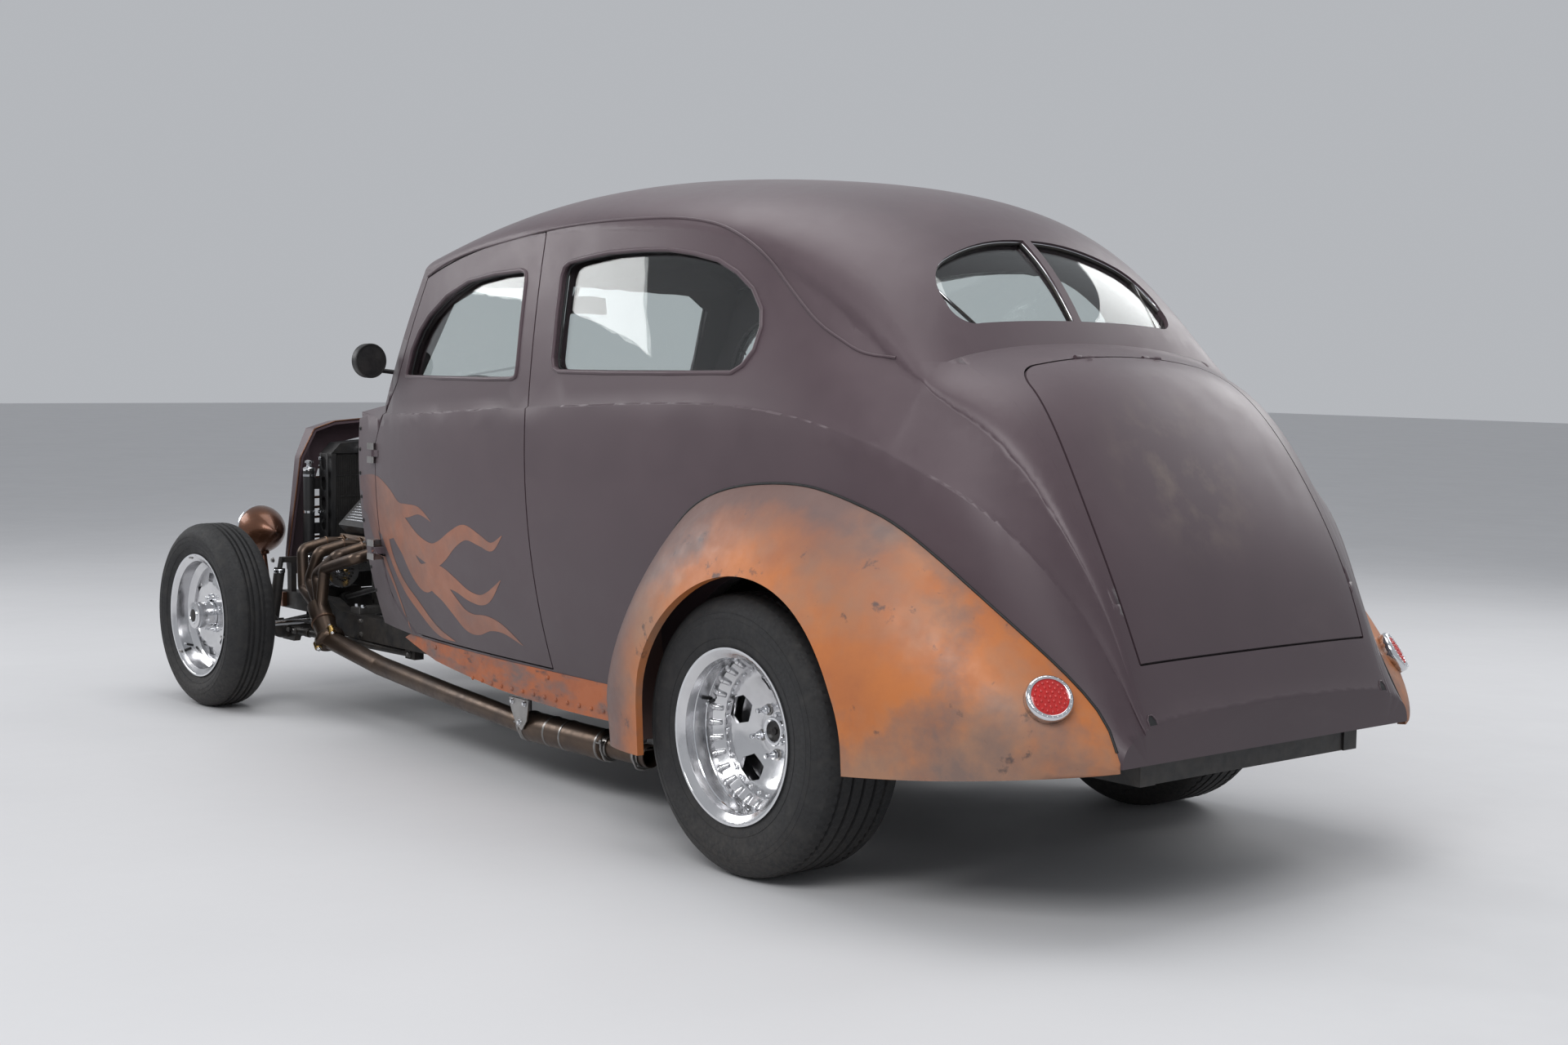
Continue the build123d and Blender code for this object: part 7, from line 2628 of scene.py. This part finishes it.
    def _door_card(self, side: Side) -> None:
        """Adds the pleated trim on the inside of a door."""
        shape = Shape(f"door_card_{side.word}")
        columns, rows = self.CARD_CELLS
        (rear, front), (bottom, top) = self.CARD_S, self.CARD_Z
        grid: list[list[Vert | None]] = []
        for column in range(columns + 1):
            s = rear + (front - rear) * column / columns
            line: list[Vert | None] = []
            for row in range(rows + 1):
                depth = self.CARD_DEPTH
                if 3 <= row <= 14 and 3 <= column <= columns - 3:
                    depth += self.CARD_DEPTH * abs(math.sin(math.pi * (s - rear) / self.PLEAT))
                point = self._inside(side, s, bottom + (top - bottom) * row / rows, depth)
                line.append(None if point is None else shape.bm.verts.new(point))
            grid.append(line)
        faces = []
        for column in range(columns):
            for row in range(rows):
                near, far = grid[column], grid[column + 1]
                corners = [near[row], far[row], far[row + 1], near[row + 1]]
                if None not in corners:
                    faces.append(shape.bm.faces.new(corners))
        bmesh.ops.recalc_face_normals(shape.bm, faces=faces)
        made = bmesh.ops.solidify(shape.bm, geom=faces, thickness=3.0)
        faces += [item for item in made["geom"] if isinstance(item, Face)]
        shape.dress(faces, Surfaces.LEATHER)
        self._handles(shape, side)
        shape.done(f"door_{side.word}", "vinyl", 50.0)

    def _inside(self, side: Side, s: float, z: float, depth: float) -> Vector | None:
        """Finds the inner face of a door.

        Args:
            side: Side of the car.
            s: Millimetres forward of the rear axle.
            z: Height in millimetres.
            depth: Distance inside the face.

        Returns:
            The place in millimetres, or None.
        """
        outward = Vector((0, side.value, 0))
        hit, _, _, _ = self.doors[side].ray_cast(place(s, side.value * self.INSIDE_Y, z), outward, 0.25)
        return None if hit is None else hit / MM - outward * depth

    def _handles(self, shape: Shape, side: Side) -> None:
        """Adds the window crank, the door handle and the screws of the card."""
        inward = Vector((0, -side.value, 0))
        for s, z, arm in ((1800, 800, (-50, 62)), (1640, 860, (-78, 12))):
            foot = self._inside(side, s, z, 8.0)
            if foot is None:
                continue
            shape.turned([(0, 0), (22, 0), (22, 3), (14, 8), (9, 10), (9, 22), (0, 24)], foot, inward,
                         Surfaces.CHROME, 24)
            tip = foot + inward * 22 + Vector((arm[0], 0, -arm[1]))
            shape.pipe(
                [foot + inward * 18, foot + inward * 24 + Vector((arm[0], 0, -arm[1])) * 0.4, tip], 5.0,
                Surfaces.CHROME, 10, 12.0,
            )
            shape.ball(tip + inward * 8, 9.0, Surfaces.BLACK)
        for s in (1140, 1900):
            for z in (440, 680, 920):
                foot = self._inside(side, s, z, 7.0)
                if foot is not None:
                    shape.bolt(foot, inward, 7.0, Surfaces.CHROME)


class Chassis:
    """Bolts, clips, lines and brackets of the running gear."""

    UP = Vector((0, 0, 1))
    ACROSS = Vector((0, 1, 0))
    ALONG = Vector((1, 0, 0))
    HUB_Z = 311.0
    AXLE_Z = 334.0
    PIPE_Y = 540.0
    PIPE_Z = 155.0
    SHAFT = ((1482.0, 391.0), (152.0, 334.0))

    def build(self) -> None:
        """Adds every fitting."""
        front, rear, frame_bits = Shape("front_axle_bolts"), Shape("rear_axle_bolts"), Shape("frame_bolts")
        for side in Side:
            self._front(front, side)
            self._rear(rear, side)
            self._rail(frame_bits, side)
            self._knuckle(side)
        self._driveline(rear)
        front.done("chassis", "dark_metal", 40.0)
        rear.done("chassis", "dark_metal", 40.0)
        frame_bits.done("chassis", "chassis_black", 40.0)
        self._lines()
        self._clamps()
        self._bulkhead()

    def _through(self, shape: Shape, middle: Vector, axis: Vector, half: float, size: float) -> None:
        """Puts a bolt head and a nut at the ends of a pin."""
        shape.bolt(middle + axis * half, axis, size, Surfaces.BRUSHED)
        shape.bolt(middle - axis * half, -axis, size, Surfaces.BRUSHED)

    def _front(self, shape: Shape, side: Side) -> None:
        """Adds the pins, shackles, clips and shock fittings of one front corner."""
        y = side.value
        self._through(shape, spot(2890, y * 420, 240), self.ACROSS, 14.0, 15.0)
        self._through(shape, spot(2216, y * 352, 232), self.ACROSS, 18.0, 15.0)
        shape.turned([(13.2, 0), (16, 2), (16, 26), (13.2, 28)], spot(2840, y * 415, 239.5), -self.ALONG,
                     Surfaces.DARK, 20)
        for s in (2930, 2978):
            shape.box(spot(s - 3, y * 440 - 9, 236), spot(s + 3, y * 440 + 9, 278), Surfaces.DARK, 2.0)
        for z in (242, 268):
            self._through(shape, spot(WHEELBASE, y * 440, z), self.ALONG, 27.0, 12.0)
        for across in (60, 330):
            for lead in (2923, 2985):
                low = spot(lead - 2, y * across - 10, 262)
                shape.box(low, low + Vector((4, 20, 38)), Surfaces.DARK, 1.0)
            shape.box(spot(2923, y * across - 10, 259), spot(2985, y * across + 10, 263), Surfaces.DARK, 1.0)
            self._through(shape, spot(WHEELBASE, y * across, 301), self.ALONG, 33.0, 9.0)
        self._through(shape, spot(3015, y * 420, 478), self.ACROSS, 31.0, 13.0)
        shape.bolt(spot(3005, y * 473, 236), self.ACROSS * y, 14.0, Surfaces.BRUSHED)
        shape.turned([(19.2, 0), (21, 2), (21, 12), (19.2, 14)], spot(3012, y * 431, 432), Vector((0, 0, 1)),
                     Surfaces.CHROME, 28)
        shape.bolt(spot(2935, y * 572, 312), -self.ALONG, 11.0, Surfaces.BRUSHED)

    def _rear(self, shape: Shape, side: Side) -> None:
        """Adds the U-bolts, shackle bolts and axle fittings of one rear corner."""
        y = side.value
        for across in (409, 473):
            shape.pipe(
                [spot(46, y * across, 262), spot(46, y * across, 340), spot(30, y * across, 374),
                 spot(-30, y * across, 374), spot(-46, y * across, 340), spot(-46, y * across, 262)],
                5.5, Surfaces.BRUSHED, 8, 16.0,
            )
            for s in (-46, 46):
                shape.bolt(spot(s, y * across, 268), -self.UP, 14.0, Surfaces.BRUSHED)
        shape.box(spot(-64, y * 441 - 42, 268), spot(64, y * 441 + 42, 277), Surfaces.DARK, 4.0)
        for s, z in ((560, 300), (560, 270), (-540, 330), (-540, 346)):
            self._through(shape, spot(s, y * 441, z), self.ACROSS, 30.0, 14.0)
        for s in (330, 190, -190, -330):
            z = 297.0 - 0.00002 * s * s if s > 0 else 297.0 + 0.00010 * s * s
            self._through(shape, spot(s, y * 441, z), self.ACROSS, 27.0, 9.0)
        for step in range(12):
            angle = math.radians(30 * step + 15)
            foot = spot(108 * math.cos(angle), y * 90, self.AXLE_Z + 108 * math.sin(angle))
            shape.bolt(foot, self.ACROSS * y, 13.0, Surfaces.BRUSHED)
        shape.turned([(38.2, 0), (46, 0), (50, 6), (50, 18), (38.2, 22)], spot(0, y * 92, self.AXLE_Z),
                     self.ACROSS * y, Surfaces.BLACK, 36)
        shape.turned([(38.2, 0), (54, 2), (56, 6), (56, 12), (38.2, 14)], spot(0, y * 538, self.AXLE_Z),
                     self.ACROSS * y, Surfaces.DARK, 36)

    def _knuckle(self, side: Side) -> None:
        """Adds the caps and plate bolts of one knuckle."""
        y = side.value
        shape = Shape(f"knuckle_fittings_{side.word}")
        shape.turned(
            [(0, 6), (12, 6), (16, 4), (18, 0), (0, 0)], spot(WHEELBASE, y * 572, 368), self.UP,
            Surfaces.DARK, 24,
        )
        shape.turned([(0, 0), (18, 0), (16, -4), (12, -6), (0, -6)], spot(WHEELBASE, y * 572, 256), self.UP,
                     Surfaces.DARK, 24)
        shape.rod(spot(WHEELBASE, y * 572, 374), spot(WHEELBASE, y * 572, 384), 3.2, Surfaces.CHROME, 8, 1.0)
        for step in range(8):
            angle = math.radians(45 * step + 22)
            foot = spot(WHEELBASE + 112 * math.cos(angle), y * 614, self.HUB_Z + 112 * math.sin(angle))
            shape.bolt(foot, -self.ACROSS * y, 10.0, Surfaces.BRUSHED)
        shape.turned([(128, 0), (133, -3), (138, -4), (138, 0)], spot(WHEELBASE, y * 614, self.HUB_Z),
                     self.ACROSS * y, Surfaces.BLACK, 64)
        shape.done(f"knuckle_{side.word}", "dark_metal", 40.0)

    def _driveline(self, shape: Shape) -> None:
        """Adds the universal joints, weights and bolt rings."""
        (front_s, front_z), (rear_s, rear_z) = self.SHAFT
        start, end = spot(front_s, 0, front_z), spot(rear_s, 0, rear_z)
        along = (end - start).normalized()
        for place_on, way in ((start, along), (end, -along)):
            for step, radius in ((8, 43), (58, 40)):
                foot = place_on + way * step
                shape.turned(
                    [(35, 0), (radius, 1), (radius + 1, 4), (radius + 1, 14), (radius, 17), (35, 18)], foot,
                    way, Surfaces.DARK, 32,
                )
            for turn in range(4):
                ray = self.ACROSS if turn % 2 else along.cross(self.ACROSS)
                ray = ray * (1 if turn < 2 else -1)
                foot = place_on + way * 36 + ray * 35
                shape.rod(foot, foot + ray * 11, 12.0, Surfaces.BRUSHED, 16, 1.5)
        for s in (470, 1180):
            lift = rear_z + (front_z - rear_z) * (s - rear_s) / (front_s - rear_s)
            shape.box(spot(s - 18, -13, lift + 34), spot(s + 18, 13, lift + 39), Surfaces.BRUSHED, 1.5)
        for step in range(10):
            angle = math.radians(36 * step)
            foot = spot(2344, 170 * math.cos(angle), 391 + 170 * math.sin(angle))
            shape.bolt(foot, -self.ALONG, 14.0, Surfaces.BRUSHED)
        for step in range(8):
            angle = math.radians(45 * step + 22)
            foot = spot(1760, 96 * math.cos(angle), 391 + 96 * math.sin(angle))
            shape.bolt(foot, -self.ALONG, 12.0, Surfaces.BRUSHED)
        for s in (1840, 1930, 2020, 2110):
            shape.turned(
                [(119, 0), (124, 2), (124, 10), (119, 12)], spot(s, 0, 391), self.ALONG, Surfaces.CAST, 48,
            )

    def _rail(self, shape: Shape, side: Side) -> None:
        """Adds the bolts of one frame rail."""
        y = side.value
        for s in (2700, 2500, 2060, 1700, 1300, 900):
            for z in (268, 312):
                shape.bolt(spot(s, y * 390, z), self.ACROSS * y, 13.0, Surfaces.BRUSHED)
        for s in (1880, 1010, 630):
            for lead in (-18, 18):
                shape.bolt(spot(s + lead, y * 365, 250), -self.UP, 14.0, Surfaces.BRUSHED)
        shape.box(spot(2990, y * 392 - 2, 256), spot(3084, y * 392 + 2, 262), Surfaces.STEEL, 1.0)

    def _lines(self) -> None:
        """Adds the rigid brake and fuel lines with their clips."""
        shape = Shape("brake_and_fuel_lines")
        for y, z, radius in ((337.0, 300.0, 3.0), (336.0, 286.0, 4.2)):
            line = [spot(2790, y, z + 4), spot(2600, y - 1, z), spot(2180, y, z), spot(1780, y, z + 2),
                    spot(1400, y, z), spot(1080, y, z)]
            shape.pipe(line, radius, Surfaces.BRUSHED, 8, 30.0)
        for s in range(1120, 2760, 205):
            shape.box(spot(s - 7, 331, 279), spot(s + 7, 341, 306), Surfaces.BLACK, 1.5)
        shape.done("chassis", "dark_metal", 40.0)

    def _clamps(self) -> None:
        """Adds the exhaust clamps, seams and hangers."""
        shape = Shape("exhaust_clamps")
        for side in Side:
            y = side.value * self.PIPE_Y
            for s, radius in ((846, 32), (1252, 32), (700, 31.5)):
                shape.turned(
                    [(radius - 0.6, -14), (radius + 3, -14), (radius + 3, 14), (radius - 0.6, 14)],
                    spot(s, y, self.PIPE_Z), self.ALONG, Surfaces.STEEL, 36,
                )
                shape.pipe(
                    [spot(s, y - 37, 176), spot(s, y - 37, 150), spot(s, y - 24, 121), spot(s, y, 114),
                     spot(s, y + 24, 121), spot(s, y + 37, 150), spot(s, y + 37, 176)],
                    3.6, Surfaces.BRUSHED, 8, 10.0,
                )
                shape.box(spot(s - 12, y - 46, 166), spot(s + 12, y + 46, 171), Surfaces.STEEL, 1.5)
                for across in (-37, 37):
                    shape.bolt(spot(s, y + across, 171), self.UP, 10.0, Surfaces.BRUSHED)
            for s in (868, 1040, 1232):
                shape.turned(
                    [(42.6, -4), (44.4, -3), (44.4, 3), (42.6, 4)], spot(s, y, self.PIPE_Z), self.ALONG,
                    Surfaces.STEEL, 44,
                )
            for s, roof in ((1252, 350), (700, 493)):
                shape.box(spot(s - 9, y - 4, 171), spot(s + 9, y, roof), Surfaces.DARK, 1.5)
            for step in range(3):
                angle = math.radians(90 + 120 * step)
                way = Vector((0.62, -0.06 * side.value, 0.78)).normalized()
                over = way.cross(self.ACROSS).normalized()
                ray = self.ACROSS * math.cos(angle) + over * math.sin(angle)
                foot = spot(2584, side.value * 462, 250) + ray * 43 + way * 9
                shape.bolt(foot, way, 11.0, Surfaces.BRUSHED)
        shape.done("chassis", "dark_metal", 40.0)

    def _bulkhead(self) -> None:
        """Adds the fittings on the firewall."""
        shape = Shape("firewall_fittings")
        s = 2176.5
        for y in range(-400, 401, 80):
            shape.bolt(spot(s, y, 960), self.ALONG, 10.0, Surfaces.BRUSHED)
        for z in (520, 640, 760, 880):
            for y in (-420, 420):
                shape.bolt(spot(s, y, z), self.ALONG, 10.0, Surfaces.BRUSHED)
        shape.box(spot(s - 0.5, -330, 800), spot(s + 12, -190, 880), Surfaces.CAST, 3.0)
        for y in (-310, -280, -240, -210):
            shape.rod(spot(s + 12, y, 840), spot(s + 20, y, 840), 5.0, Surfaces.CHROME, 12, 1.0)
        shape.rod(spot(s + 24, 180, 760), spot(s + 24, 180, 884), 23.0, Surfaces.CHROME, 28, 2.0)
        shape.box(spot(s - 0.5, 160, 790), spot(s + 24, 200, 830), Surfaces.DARK, 2.0)
        shape.turned(
            [(0, 0), (34, 0), (34, 6), (28, 12), (24, 12), (22, 6), (0, 6)], spot(s, 330, 700), self.ALONG,
            Surfaces.RUBBER, 32,
        )
        shape.done("chassis", "dark_metal", 40.0)


class Studio:
    """Floor, light and camera."""

    CAMERA = Vector((-4942.3, 3843.0, 1213.3))
    RIGHT = Vector((-0.64419175, -0.76472317, 0.0146786))
    UP = Vector((0.069022, -0.0390089, 0.99685218))
    AHEAD = Vector((0.76174336, -0.6431771, -0.07791193))
    LENS = 48.495
    SENSOR = 36.0

    def build(self) -> None:
        """Adds the floor, the lamps, the world and the camera."""
        self._floor()
        self._lamps()
        self._world()
        self._camera()
        bpy.context.scene.view_settings.view_transform = "Standard"

    def _floor(self) -> None:
        """Adds the floor and the backdrop."""
        mesh = bpy.data.meshes.new("floor")
        bm = bmesh.new()
        bmesh.ops.create_grid(bm, x_segments=1, y_segments=1, size=40.0)
        bm.to_mesh(mesh)
        bm.free()
        mesh.materials.append(Paint.of(Surfaces.FLOOR))
        floor = bpy.data.objects.new("floor_sheet", mesh)
        bpy.context.scene.collection.objects.link(floor)

    def _lamps(self) -> None:
        """Adds the lamps."""
        for name, point, aim, size, power in (
            ("key", (-3.5, 4.5, 4.6), (0.0, 0.0, 0.7), 4.0, 190.0),
            ("front", (5.5, 3.5, 3.4), (0.8, 0.0, 0.6), 3.5, 110.0),
            ("far", (-1.0, -5.5, 3.8), (0.0, 0.0, 0.8), 4.0, 100.0),
            ("top", (0.0, 0.0, 5.2), (0.0, 0.0, 0.0), 5.0, 110.0),
        ):
            data = bpy.data.lights.new(name, "AREA")
            data.shape = "RECTANGLE"
            data.size = size
            data.size_y = size * 0.6
            data.energy = power
            lamp = bpy.data.objects.new(name, data)
            lamp.location = point
            lamp.rotation_euler = (Vector(aim) - Vector(point)).to_track_quat("-Z", "Y").to_euler()
            bpy.context.scene.collection.objects.link(lamp)

    def _world(self) -> None:
        """Sets the light of the surroundings."""
        world = bpy.data.worlds.new("studio")
        world.use_nodes = True
        world.node_tree.nodes["Background"].inputs[0].default_value = (0.92, 0.95, 1.0, 1.0)
        world.node_tree.nodes["Background"].inputs[1].default_value = 0.5
        bpy.context.scene.world = world

    def _camera(self) -> None:
        """Places the camera."""
        data = bpy.data.cameras.new("photo")
        data.lens = self.LENS
        data.sensor_width = self.SENSOR
        data.clip_end = 200.0
        camera = bpy.data.objects.new("photo", data)
        turn = Matrix((self.RIGHT, self.UP, -self.AHEAD)).transposed()
        camera.matrix_world = Matrix.Translation(self.CAMERA * MM) @ turn.to_4x4()
        bpy.context.scene.collection.objects.link(camera)
        bpy.context.scene.camera = camera


def main() -> None:
    """Builds the whole scene."""
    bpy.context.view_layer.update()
    body = Body()
    body.build()
    Parts(body.skins).build()
    Trims(body).build()
    Wheels().build()
    Engine().build()
    Chassis().build()
    Interior(body).build()
    Studio().build()


if __name__ == "__main__":
    main()
